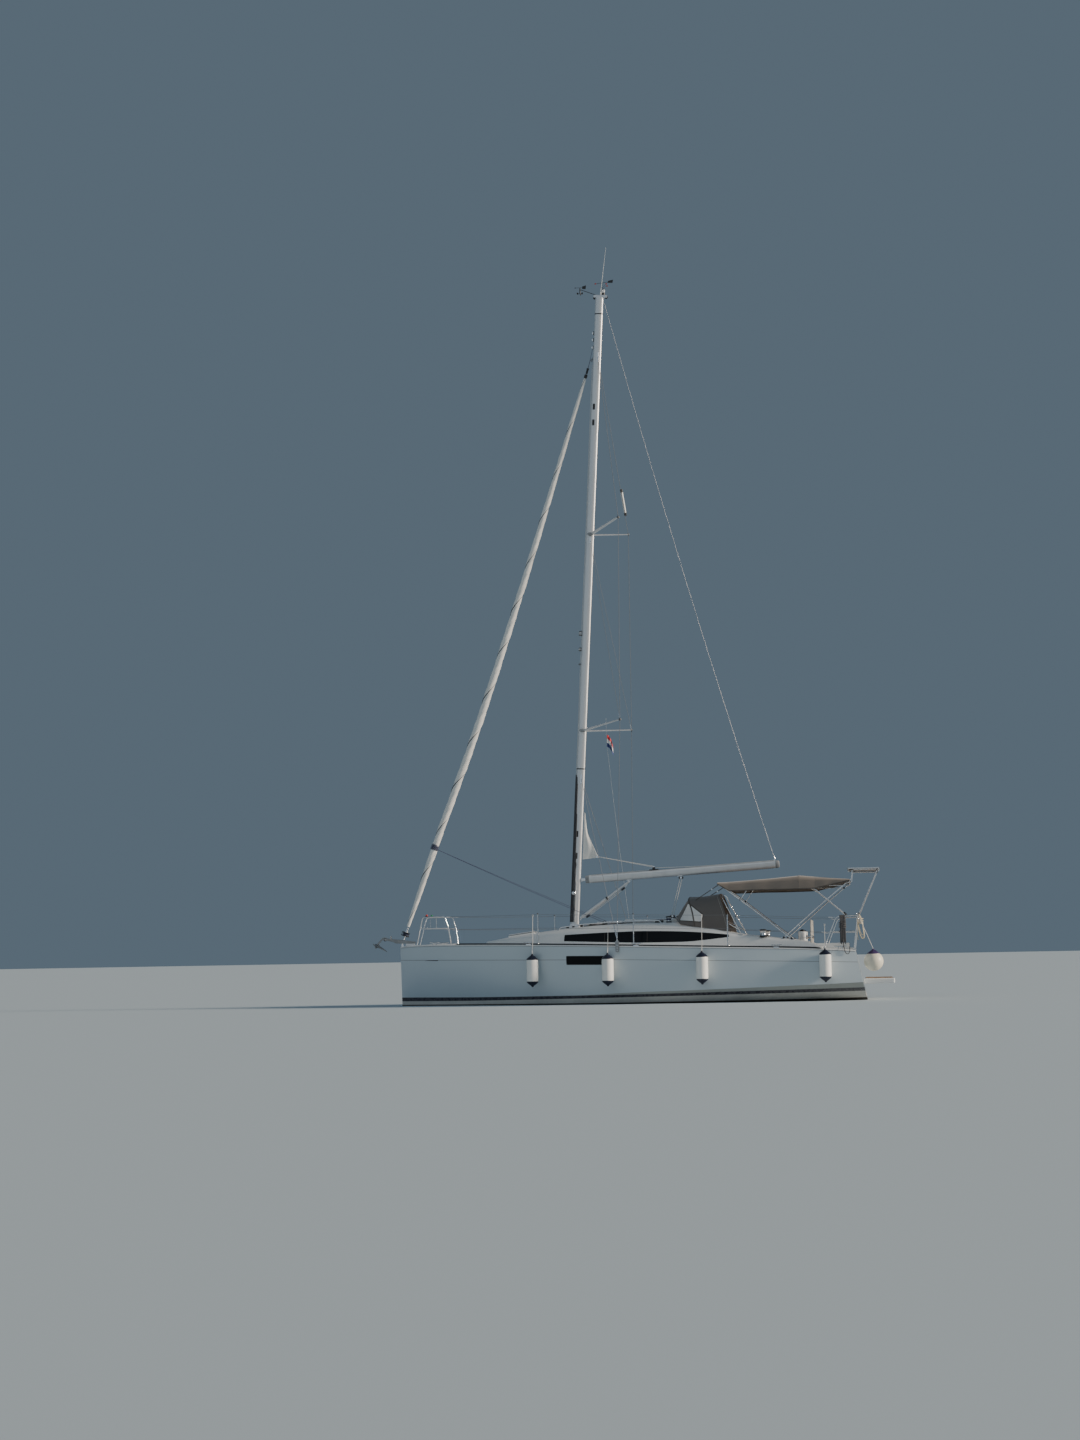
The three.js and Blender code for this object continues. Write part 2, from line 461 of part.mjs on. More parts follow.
// toe rails on the deck edge
for (const [name, side] of [['toe_rail_port', 1], ['toe_rail_starboard', -1]]) {
  const xs = [3600, 3200, 2600, 1700, 700, -350, -1400, -2400, -3400, -4070];
  node(name, loft(xs.map((x) => {
    const s = hullAt(x), y = side * (s.ys - 16), z = deckZ(s) + camber(s) * (16 / s.ys) + 2.4, X = x;
    return [V(X, y - 14, z + 0.6), V(X, y + 14, z), V(X, y + 9, z + RAIL_H), V(X, y - 9, z + RAIL_H)];
  })), 'black');
}

// ---------------------------------------------------------------- lids and doors
for (const [name, h, seat] of [['fore_hatch', HATCH.fore, foreSeat], ['saloon_hatch', HATCH.saloon, saloonSeat]]) {
  node(name, tiltedBox([2 * h.hl + 50, 2 * h.hw + 50, 24], [h.x - Math.sin(seat.t) * 36, 0, seat.z + 36], seat.t), 'glass');
}
const lidTop = (x) => deckTopAt(x, 0);
node('anchor_locker_lid', loft([ANCHOR_LID.x0 + 6, ANCHOR_LID.x1 - 6].map((x) => {
  const w = ANCHOR_LID.half - 6, e = deckTopAt(x, w), c = lidTop(x);
  return [V(x, w, e - 22), V(x, w, e + 2), V(x, 0, c + 2), V(x, -w, e + 2), V(x, -w, e - 22)];
})), 'deck');
node('companionway_hatch', box(-1492, -700, -COMP.lidHalf, COMP.lidHalf, 1714, 1740), 'glass');
for (const [name, side] of [['locker_lid_port', 1], ['locker_lid_starboard', -1]]) {
  node(name, box(LOCKER.x0 - 6, LOCKER.x1 + 6, side * (LOCKER.y0 + 6), side * (LOCKER.y1 - 6), SEAT_Z - 20, SEAT_Z + 4), 'teak');
}
const PL = PLATFORM;
node('swim_platform', box(PL.hingeX - PL.length, PL.hingeX, -PL.half, PL.half, PL.hingeZ, PL.hingeZ + PL.thick), 'gelcoat');

// ---------------------------------------------------------------- steering and table
for (const [name, wheelName, side] of [['pedestal_port', 'wheel_port', 1], ['pedestal_starboard', 'wheel_starboard', -1]]) {
  const y = side * WHEEL.y;
  const pedestal = loft([[SOLE_Z + GAP, 150, 110], [SOLE_Z + 40, 120, 90], [1200, 75, 80], [1440, 85, 120]].map(([z, hx, hy]) => [V(WHEEL.x + 190 + hx, y + hy, z), V(WHEEL.x + 190 - hx, y + hy, z), V(WHEEL.x + 190 - hx, y - hy, z), V(WHEEL.x + 190 + hx, y - hy, z)]));
  node(name, pedestal, 'gelcoat');
  const rim = new THREE.TorusGeometry(WHEEL.r, 13, 6, 22);
  rim.rotateY(Math.PI / 2);
  let w = solid(rim).add(rod([-30, 0, 0], [90, 0, 0], 32, 10));
  for (let k = 0; k < 5; k++) {
    const a = (k / 5) * 2 * Math.PI + 0.3;
    w = w.add(rod([0, 20 * Math.cos(a), 20 * Math.sin(a)], [0, WHEEL.r * Math.cos(a), WHEEL.r * Math.sin(a)], 8, 6));
  }
  node(wheelName, w, 'steel', [WHEEL.x, y, WHEEL.z]);
}
const TABLE = { x0: -3050, x1: -2150, half: 170, top: 1090 };
node('cockpit_table', join([
  box(TABLE.x0, TABLE.x1, -TABLE.half, TABLE.half, TABLE.top - 40, TABLE.top),
  box(TABLE.x0 + 120, TABLE.x1 - 120, -55, 55, SOLE_Z + GAP, TABLE.top - 20),
  tube([[TABLE.x0 + 40, -110, TABLE.top - 20], [TABLE.x0 + 40, -110, TABLE.top + 120], [TABLE.x0 + 40, 110, TABLE.top + 120], [TABLE.x0 + 40, 110, TABLE.top - 20]], 14, 6, 60),
]), 'gelcoat');

// ---------------------------------------------------------------- mast and standing rigging
const mastGroup = new THREE.Group();
mastGroup.position.set(...MAST_FOOT);
mastGroup.rotation.y = -MAST_RAKE;
yacht.add(mastGroup);
const MAST_L = (MAST_TOP_Z - MAST_FOOT[2]) / Math.cos(MAST_RAKE);
const toMast = new THREE.Matrix4().makeRotationY(MAST_RAKE).multiply(new THREE.Matrix4().makeTranslation(-MAST_FOOT[0], -MAST_FOOT[1], -MAST_FOOT[2]));
const fromMast = toMast.clone().invert();
const mastX = (z) => MAST_FOOT[0] - (z - MAST_FOOT[2]) * Math.tan(MAST_RAKE);   // centre of the mast at height z
const SPREADERS = [
  // level, height at mast, tip x, tip y, tip z, root chord
  ['lower', 5845, -20, 1262, 5950, 130],
  ['upper', 10127, -55, 1102, 10290, 115],
];
const outline = new THREE.Shape();
for (let i = 0; i < 14; i++) {
  const a = (i / 14) * 2 * Math.PI, c = Math.cos(a), s = Math.sin(a);
  outline[i ? 'lineTo' : 'moveTo']((MAST_FA / 2) * Math.sign(c) * Math.pow(Math.abs(c), 0.8), (MAST_W / 2) * Math.sign(s) * Math.pow(Math.abs(s), 0.8));
}
outline.closePath();
let mastBody = solid(new THREE.ExtrudeGeometry(outline, { depth: MAST_L - 30, bevelEnabled: false })).translate([0, 0, 30]);
// foot casting, masthead crane
const casting = box(-125, 125, -78, 78, -100, 32).subtract(deckRaised.transform(Array.from(toMast.elements))).decompose().reduce((a, b) => (b.boundingBox().max[2] > a.boundingBox().max[2] ? b : a));
mastBody = mastBody.add(casting).add(box(-170, 130, -38, 38, MAST_L - 60, MAST_L));
// whip aerial on the masthead, off the centre line
mastBody = mastBody.add(rod([-30, 20, MAST_L - 25], V(201, 20, 16500).applyMatrix4(toMast).toArray(), 7, 8));
// each pair of spreaders is joined by a bar through the mast
for (const [level, zRoot, tx, ty, tz, chord] of SPREADERS) {
  const pairOf = (grow) => {
    const arm = (side) => loft([
      [chord, 44, mastX(zRoot) - 15, side * (MAST_W / 2 - 14 - grow), zRoot],
      [62, 26, tx + 6, side * (ty - 14), tz],
    ].map(([c, t, x, y, z]) => [V(x + c / 2 + grow, y, z), V(x + c * 0.15, y, z + t / 2 + grow), V(x - c / 2 - grow, y, z), V(x + c * 0.15, y, z - t / 2 - grow)]));
    return arm(1).add(arm(-1)).add(rod([mastX(zRoot) - 15, -60, zRoot], [mastX(zRoot) - 15, 60, zRoot], 18 + grow, 8));
  };
  mastBody = mastBody.subtract(pairOf(GAP + 0.2).transform(Array.from(toMast.elements)));
  node(`spreaders_${level}`, pairOf(0), 'alloy');
}
const mastMesh = node('mast', mastBody, 'alloy');
mastGroup.add(mastMesh);

const HOUND_Z = 14050, LOWER_HOUND_Z = 4800;
for (const [tag, side] of [['port', 1], ['starboard', -1]]) {
  const plate = prism([[58, 1070], [122, 1070], [134, 1310], [46, 1310]], side > 0 ? 1712 : -1722, side > 0 ? 1722 : -1712);
  const cap = [[90, side * 1717, 1290]];
  for (const [, , tx, ty, tz] of SPREADERS) cap.push([tx, side * (ty - 14 + WIRE + 4), tz]);
  cap.push([mastX(HOUND_Z) - 20, side * (MAST_W / 2 + WIRE + 1.5), HOUND_Z]);
  node(`cap_shroud_${tag}`, solid(tubeGeometry(cap.map(P), WIRE, 6)).add(plate), 'steel');
  node(`lower_shroud_${tag}`, rod([86, side * (1712 - WIRE - 1), 1300], [mastX(LOWER_HOUND_Z) - 20, side * (MAST_W / 2 + WIRE + 1.5), LOWER_HOUND_Z], WIRE, 6), 'steel');
}

// forestay with the genoa rolled on it, from the drum at the stem to the hound
const STAY = [[4846, 1587], [4796, 1731], [4204, 3382], [3279, 5827], [2145, 9150], [1150, 12250], [667, 13750], [590, 14020]];
const stayRadius = [30, 30, 78, 84, 74, 52, 34, 14];
const genoaRings = STAY.map(([x, z], i) => {
  const a = STAY[Math.max(i - 1, 0)], b = STAY[Math.min(i + 1, STAY.length - 1)];
  const t = V(b[0] - a[0], 0, b[1] - a[1]).normalize(), n = V(t.z, 0, -t.x), r = stayRadius[i], ring = [];
  for (let k = 0; k < 10; k++) { const q = (k / 10) * 2 * Math.PI; ring.push(V(x, 0, z).addScaledVector(n, r * Math.cos(q)).addScaledVector(V(0, 1, 0), r * Math.sin(q))); }
  return ring;
});
const mastSolidWorld = mastBody.transform(Array.from(fromMast.elements));
node('furled_genoa', loft(genoaRings).subtract(mastSolidWorld), 'sail');
const DRUM_DIR = V(4796 - 4846, 0, 1731 - 1587).normalize();
const drumAt = (d) => [4846 + DRUM_DIR.x * d, 0, 1587 + DRUM_DIR.z * d];
node('furler_drum', join([rod(drumAt(-96), drumAt(-80), 92, 14), rod(drumAt(-82), drumAt(-20), 58, 12), rod(drumAt(-22), drumAt(-8), 92, 14), rod(drumAt(-10), drumAt(-1.2), 34, 10), rod(drumAt(-300), drumAt(-90), 14, 8), box(4900, 4962, -5, 5, 1255, 1335)]).subtract(deckRaised), 'black');

// ---------------------------------------------------------------- boom and what swings with it
const GOOSE = { z: 2633, x: mastX(2633) - MAST_FA / 2 - 28 };      // hinge line runs parallel to the mast
const hingeX = (z) => GOOSE.x - (z - GOOSE.z) * Math.tan(MAST_RAKE);
const BOOM_END = [-3235, 2880];
const boomT = V(BOOM_END[0] - GOOSE.x, 0, BOOM_END[1] - GOOSE.z).normalize(), boomN = V(-boomT.z, 0, boomT.x).multiplyScalar(boomT.x < 0 ? -1 : 1);
const onBoom = (d, up = 0, y = 0) => V(GOOSE.x, y, GOOSE.z).addScaledVector(boomT, d).addScaledVector(boomN, up);
const BOOM_L = Math.hypot(BOOM_END[0] - GOOSE.x, BOOM_END[1] - GOOSE.z);
const boomRing = (d, h, w) => [[0.5, 0.62], [0.28, 1], [-0.28, 1], [-0.5, 0.62], [-0.5, -0.5], [-0.25, -1], [0.25, -1], [0.5, -0.5]].map(([a, b]) => onBoom(d, (b * h) / 2, a * w));
node('boom', join([
  loft([boomRing(60, 150, 96), boomRing(140, 160, 100), boomRing(BOOM_L - 60, 160, 100), boomRing(BOOM_L, 120, 80)]),
  tiltedBox([110, 26, 60], [GOOSE.x - 40, 0, GOOSE.z], 0),
  rod([hingeX(GOOSE.z - 42), 0, GOOSE.z - 42], [hingeX(GOOSE.z + 42), 0, GOOSE.z + 42], 13, 8),
]), 'alloy');
const vangFoot = [hingeX(1810), 0, 1810], vangTop = onBoom(1010, -112), vangLug = onBoom(1010, -81.2);
node('boom_vang', join([
  rod(vangFoot, [vangTop.x, 0, vangTop.z], 20, 8),
  rod(vangFoot, [lerp(vangFoot[0], vangTop.x, 0.55), 0, lerp(vangFoot[2], vangTop.z, 0.55)], 31, 8),
  rod([hingeX(1770), 0, 1770], [hingeX(1850), 0, 1850], 22, 8),
  rod([vangTop.x, 0, vangTop.z], [vangLug.x, 0, vangLug.z], 11, 8),
]), 'alloy');
const clewGrid = [
  [V(hingeX(4070) + 2, 0, 4070), V(hingeX(4070) - 28, 0, 4050)],
  [V(hingeX(3700) + 2, 0, 3700), V(880, 0, 3690)],
  [V(hingeX(3360) + 2, 0, 3360), V(745, 0, 3350)],
  [V(hingeX(3060) + 2, 0, 3060), V(632, 0, 3118)],
];
node('mainsail_clew', sheet(clewGrid, 7), 'sail');
const liftTop = V(hingeX(15250), 0, 15250), liftFoot = onBoom(BOOM_L - 90, 86);
const liftPath = [0, 0.2, 0.4, 0.6, 0.8, 1].map((t) => liftTop.clone().lerp(liftFoot, t).add(V(4 * t * (1 - t) * 60, 0, -4 * t * (1 - t) * 60)));
node('topping_lift', solid(tubeGeometry(liftPath, 3.5, 5)), 'steel');
const sheetTop = onBoom(2108, -86);
node('mainsheet', join([
  rod([sheetTop.x, 0, sheetTop.z - 30], [-912, 0, 1830], 9, 6), rod([sheetTop.x - 40, 0, sheetTop.z - 30], [-952, 0, 1830], 9, 6),
  tiltedBox([110, 42, 60], [sheetTop.x - 20, 0, sheetTop.z - 36], 0), tiltedBox([110, 42, 68], [-932, 0, 1802], 0),
]), 'black');

// ---------------------------------------------------------------- rails
const deckAt = (x, y, up = -8) => deckTopAt(x, y) + up;
const pulpitSide = (s) => [
  tube([[4585, s * 160, deckAt(4585, 160)], [4470, s * 225, 1780], [4434, s * 250, 1893], [4250, s * 350, 1898], [3910, s * 500, 1897], [3840, s * 480, 1650], [3789, s * 430, deckAt(3789, 430)]], TUBE, 6, 110),
  tube([[4500, s * 208, 1650], [4180, s * 372, 1650], [3838, s * 478, 1650]], 10, 6, 60),
];
node('pulpit', join([...pulpitSide(1), ...pulpitSide(-1), box(4560, 4622, -178, 178, deckTopAt(4585, 0) - 8, deckTopAt(4585, 0) + 10)]).subtract(deckRaised), 'steel');

const STANCHIONS = [
  // x, inboard of the hull edge, top
  [1785, 96, 1900],
  [-245, 96, 1855],
  [-2190, 96, 1810],
].map(([x, inboard, top]) => [x, hullAt(x).ys - inboard, top]);
for (const [name, s] of [['lifelines_port', 1], ['lifelines_starboard', -1]]) {
  const parts = [];
  const ends = [[3885, 495, 1890, 1620], ...STANCHIONS.map(([x, y, z]) => [x, y, z - 15, z - 295]), [-4390, 1494, 1708, 1400]];
  for (const [x, y, z] of STANCHIONS) parts.push(rod([x, s * y, deckAt(x, y)], [x, s * y, z], 12.5, 6), rod([x, s * y, deckAt(x, y)], [x, s * y, deckAt(x, y) + 30], 22, 6));
  for (const k of [2, 3]) for (let i = 0; i < ends.length - 1; i++) {
    const a = ends[i], b = ends[i + 1];
    const A = V(a[0], s * a[1], a[k]), B = V(b[0], s * b[1], b[k]), d = B.clone().sub(A).normalize();
    if (i === 0) A.addScaledVector(d, 45);
    if (i === ends.length - 2) B.addScaledVector(d, -(k === 2 ? 40 : 190));
    parts.push(rod(A.toArray(), B.toArray(), 3.5, 5));
  }
  node(name, join(parts).subtract(deckRaised), 'steel');
}

for (const [name, s] of [['pushpit_port', 1], ['pushpit_starboard', -1]]) {
  node(name, join([
    tube([[-4153, s * 1500, deckAt(-4153, 1500)], [-4400, s * 1498, 1690], [-4470, s * 1490, 1728], [-4853, s * 1400, 1745], [-4866, s * 1080, 1745], [-4775, s * 1060, deckAt(-4690, 1060)]], TUBE, 6, 90),
    rod([-4760, s * 1400, deckAt(-4690, 1400)], [-4845, s * 1398, 1742], TUBE, 6),
    tube([[-4290, s * 1498, 1420], [-4810, s * 1399, 1420], [-4820, s * 1070, 1420]], 10, 6, 60),
  ]).subtract(deckRaised), 'steel');
}

// ---------------------------------------------------------------- bimini and stern panel
const PANEL = { x0: -4665, x1: -5334, half: 1000, z0: 2708, z1: 2734 };
const bow = (points, r = TUBE) => tube([...points, ...points.slice(0, -1).reverse().map(([x, y, z]) => [x, -y, z])], r, 6, 90, 1);
const foot = (x) => [x, houseAt(x).ys - 30, houseAt(x).zs - 6];
const biminiParts = [
  bow([foot(-3510), [-2440, 1120, 2120], [-2040, 1062, 2428], [-2000, 950, 2455], [-1995, 0, 2482]]),
  bow([foot(-3300), [-4235, 1120, 2095], [-4640, 1060, 2425], [-4690, 950, 2468], [-4692, 0, 2496]]),
  bow([[-4620, 1444, 1766], [-4022, 1080, 2280], [-3740, 1062, 2452], [-3668, 930, 2556], [-3664, 0, 2598]]),
  tube([[-5290, 960, 2694], [-4765, 960, 2694], [-4765, -960, 2694], [-5290, -960, 2694]], 10, 6, 30, 1),
  rod([-5284, 965, 2694], [-5284, -965, 2694], 10, 6),
];
for (const s of [1, -1]) {
  biminiParts.push(rod([-2444, s * 1118, 2117], [-2639, s * 1072, 2398], 8, 6));
  biminiParts.push(rod([-2630, s * 1074, 2392], [-3690, s * 1078, 2392], 8, 6));
  biminiParts.push(rod([-3680, s * 1078, 2392], [-4570, s * 1070, 2368], 8, 6));
  biminiParts.push(tube([[-4694, s * 900, 2470], [-4736, s * 900, 2480], [-4765, s * 900, 2694]], 10, 6, 20, 1));
  biminiParts.push(rod([-5284, s * 955, 2694], [-4872, s * 1330, 1760], 12, 6));
}
node('bimini_frame', join(biminiParts).subtract(deckRaised), 'steel');
const canopyRows = [[-1972, 2508, 2440, 2478], [-2213, 2542, 2300, 2500], [-3000, 2590, 2305, 2545], [-3664, 2624, 2312, 2588], [-4016, 2602, 2318, 2562], [-4708, 2530, 2462, 2502]];
node('bimini_canopy', sheet(canopyRows.map(([x, crown, hem, shoulder]) => [[1112, hem], [1098, lerp(hem, shoulder, 0.7)], [1010, shoulder], [560, lerp(shoulder, crown, 0.75)], [0, crown], [-560, lerp(shoulder, crown, 0.75)], [-1010, shoulder], [-1098, lerp(hem, shoulder, 0.7)], [-1112, hem]].map(([y, z]) => V(x, y, z))), 7), 'taupe');
node('stern_panel', box(PANEL.x1, PANEL.x0, -PANEL.half, PANEL.half, PANEL.z0, PANEL.z1), 'black');

// ---------------------------------------------------------------- sprayhood
const arch = (points) => [...points, ...points.slice(0, -1).reverse().map(([x, y, z]) => [x, -y, z])];
const hoodRows = [
  arch([[-1180, 985, 1668], [-1120, 900, 1700], [-1060, 640, 1750], [-1035, 330, 1796], [-1030, 0, 1800]]),
  arch([[-1480, 1060, 1640], [-1420, 980, 1900], [-1350, 830, 2120], [-1345, 500, 2190], [-1345, 0, 2215]]),
  arch([[-2230, 1122, 1500], [-2110, 1075, 1880], [-2010, 930, 2180], [-1992, 600, 2245], [-1985, 0, 2268]]),
];
node('sprayhood_canvas', sheet(hoodRows.map((r) => r.map(P)), 7), 'taupe');
const hoodTube = (points, r = 11) => tube(arch(points), r, 6, 110);
node('sprayhood_frame', join([
  hoodTube([[-2460, houseAt(-2460).ys - 24, houseAt(-2460).zs - 8], [-2240, 1105, 1820], [-2085, 1010, 2120], [-2062, 800, 2205], [-2055, 0, 2236]], 12.5),
  hoodTube([[-2400, 1140, 1500], [-1720, 950, 1900], [-1440, 790, 2090], [-1420, 500, 2160], [-1420, 0, 2180]]),
]).subtract(deckRaised), 'steel');

// ---------------------------------------------------------------- fenders, anchor
const FENDERS = [
  // x, y, centre height
  [1890, 1545, 720],
  [288, 1785, 715],
  [-1662, 1834, 722],
  [-4172, 1710, 728],
];
const fenderProfile = (() => {
  const { r, body, cone } = FENDER, h = body / 2;
  return [[0, -h - cone - 26], [22, -h - cone - 20], [28, -h - cone], [80, -h - cone * 0.55], [r, -h + 26], [r, h - 26], [80, h + cone * 0.55], [28, h + cone], [22, h + cone + 20], [0, h + cone + 26]];
})();
FENDERS.forEach(([x, y, z], i) => node(`fender_${i + 1}`, lathe(fenderProfile, 12, [0, 0, 0]), 'fender', [x, y, z]));
node('ball_fender', lathe([[0, -200], [78, -184], [145, -138], [186, -72], [200, 0], [186, 72], [145, 138], [78, 184], [40, 205], [30, 246], [0, 250]], 14, [0, 0, 0]), 'cream', [-5150, 1290, 798]);

// the roller stands to port of the forestay
const ROLLER_Y = 76;
const cheek = [[4640, 1332], [5050, 1340], [5120, 1376], [5350, 1418], [5350, 1446], [5250, 1448], [5060, 1424], [4640, 1378]];
node('bow_roller', join([
  prism(cheek, ROLLER_Y + 34, ROLLER_Y + 42), prism(cheek, ROLLER_Y - 42, ROLLER_Y - 34),
  prism([[4640, 1334], [5050, 1342], [5110, 1362], [5110, 1370], [5050, 1350], [4640, 1342]], ROLLER_Y - 42, ROLLER_Y + 42),
  rod([5300, ROLLER_Y - 38, 1428], [5300, ROLLER_Y + 38, 1428], 26, 10),
  box(4650, 4840, ROLLER_Y - 34, ROLLER_Y + 34, 1280, 1336),
]).subtract(deckRaised), 'steel');
const shank = prism([[4780, 1376], [5235, 1430], [5300, 1459], [5350, 1436], [5440, 1320], [5500, 1235], [5540, 1250], [5470, 1350], [5360, 1470], [5300, 1484], [5230, 1452], [4780, 1398]], -9, 9);
const fluke = loft([[5262, 6, 1170, 1160], [5400, 118, 1266, 1232], [5545, 150, 1352, 1296]].map(([x, w, zEdge, zMid]) => [V(x, w, zEdge), V(x, 0, zMid + 12), V(x, -w, zEdge), V(x, 0, zMid - 6)]));
node('anchor', shank.add(fluke).translate([0, ROLLER_Y, 0]), 'steel');

export default yacht;
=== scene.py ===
# Cruising sailing yacht, about 34 feet, afloat. Metres; +X bow, +Y port, +Z up; the waterline plane is z = 0.
import math
import random
import bpy
import bmesh
import numpy as np
from mathutils import Euler, Matrix, Quaternion, Vector


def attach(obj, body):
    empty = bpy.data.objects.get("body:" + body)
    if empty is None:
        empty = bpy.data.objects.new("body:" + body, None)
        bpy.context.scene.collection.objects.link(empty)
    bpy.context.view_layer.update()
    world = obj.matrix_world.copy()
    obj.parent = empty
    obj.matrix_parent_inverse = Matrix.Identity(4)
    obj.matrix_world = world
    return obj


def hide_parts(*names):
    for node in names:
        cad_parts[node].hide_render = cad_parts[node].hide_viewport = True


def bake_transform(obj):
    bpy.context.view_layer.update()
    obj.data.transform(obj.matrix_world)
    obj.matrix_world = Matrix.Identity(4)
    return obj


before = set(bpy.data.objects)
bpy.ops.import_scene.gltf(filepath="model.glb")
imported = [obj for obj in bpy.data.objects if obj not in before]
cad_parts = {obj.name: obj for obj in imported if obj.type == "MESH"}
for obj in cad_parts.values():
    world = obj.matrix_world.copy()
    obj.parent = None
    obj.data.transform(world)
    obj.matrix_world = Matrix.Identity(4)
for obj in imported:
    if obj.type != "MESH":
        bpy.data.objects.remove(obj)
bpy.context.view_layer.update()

random.seed(7)
rng = np.random.default_rng(7)
ROOT = "yacht"

# ------------------------------------------------------------------ small maths
def pchip(xs, ys):
    """A monotone cubic through a table of x and y."""
    xs, ys = np.array(xs, float), np.array(ys, float)
    if xs[0] > xs[-1]:
        xs, ys = xs[::-1], ys[::-1]
    h = np.diff(xs)
    d = np.diff(ys) / h
    m = np.zeros(len(xs))
    for i in range(1, len(xs) - 1):
        if d[i - 1] * d[i] > 0:
            w1, w2 = 2 * h[i] + h[i - 1], h[i] + 2 * h[i - 1]
            m[i] = (w1 + w2) / (w1 / d[i - 1] + w2 / d[i])
    m[0], m[-1] = d[0], d[-1]

    def f(x):
        x = min(max(float(x), xs[0]), xs[-1])
        i = min(int(np.searchsorted(xs, x, side="right")) - 1, len(xs) - 2)
        t = (x - xs[i]) / h[i]
        return float((2 * t**3 - 3 * t**2 + 1) * ys[i] + (t**3 - 2 * t**2 + t) * h[i] * m[i]
                     + (-2 * t**3 + 3 * t**2) * ys[i + 1] + (t**3 - t**2) * h[i] * m[i + 1])
    return f


def lerp(a, b, t):
    return a + (b - a) * t


def V(*a):
    return Vector(a if len(a) == 3 else a[0])


def fillet(points, radius, n=4):
    """Corner points with each inner corner rounded. radius is one number or one per point."""
    p = [Vector(q) for q in points]
    r = [radius] * len(p) if not hasattr(radius, "__len__") else radius
    out = [p[0].copy()]
    for i in range(1, len(p) - 1):
        a, b = p[i - 1] - p[i], p[i + 1] - p[i]
        f = min(r[i], a.length * 0.46, b.length * 0.46)
        if f < 1e-6:
            out.append(p[i].copy())
            continue
        A, C = p[i] + a.normalized() * f, p[i] + b.normalized() * f
        for k in range(n + 1):
            t = k / n
            out.append(A * (1 - t) ** 2 + p[i] * (2 * t * (1 - t)) + C * t**2)
    out.append(p[-1].copy())
    return out


def spline(points, n, closed=False):
    """n points evenly along a smooth curve through the given ones."""
    p = [Vector(q) for q in points]
    fine = []
    m = len(p)
    for i in range(m if closed else m - 1):
        p0 = p[(i - 1) % m] if closed or i > 0 else p[0] * 2 - p[1]
        p1, p2 = p[i], p[(i + 1) % m]
        p3 = p[(i + 2) % m] if closed or i + 2 < m else p[-1] * 2 - p[-2]
        for k in range(24):
            t = k / 24
            fine.append(0.5 * ((2 * p1) + (p2 - p0) * t + (2 * p0 - 5 * p1 + 4 * p2 - p3) * t * t + (3 * p1 - p0 - 3 * p2 + p3) * t**3))
    fine.append(p[0].copy() if closed else p[-1].copy())
    return even(fine, n)


def even(points, n):
    p = [Vector(q) for q in points]
    d = [0.0]
    for a, b in zip(p, p[1:]):
        d.append(d[-1] + (b - a).length)
    out, j = [], 0
    for i in range(n):
        s = d[-1] * i / (n - 1)
        while j < len(d) - 2 and d[j + 1] < s:
            j += 1
        t = 0 if d[j + 1] == d[j] else (s - d[j]) / (d[j + 1] - d[j])
        out.append(p[j].lerp(p[j + 1], t))
    return out


def path_length(points):
    return sum((Vector(b) - Vector(a)).length for a, b in zip(points, points[1:]))


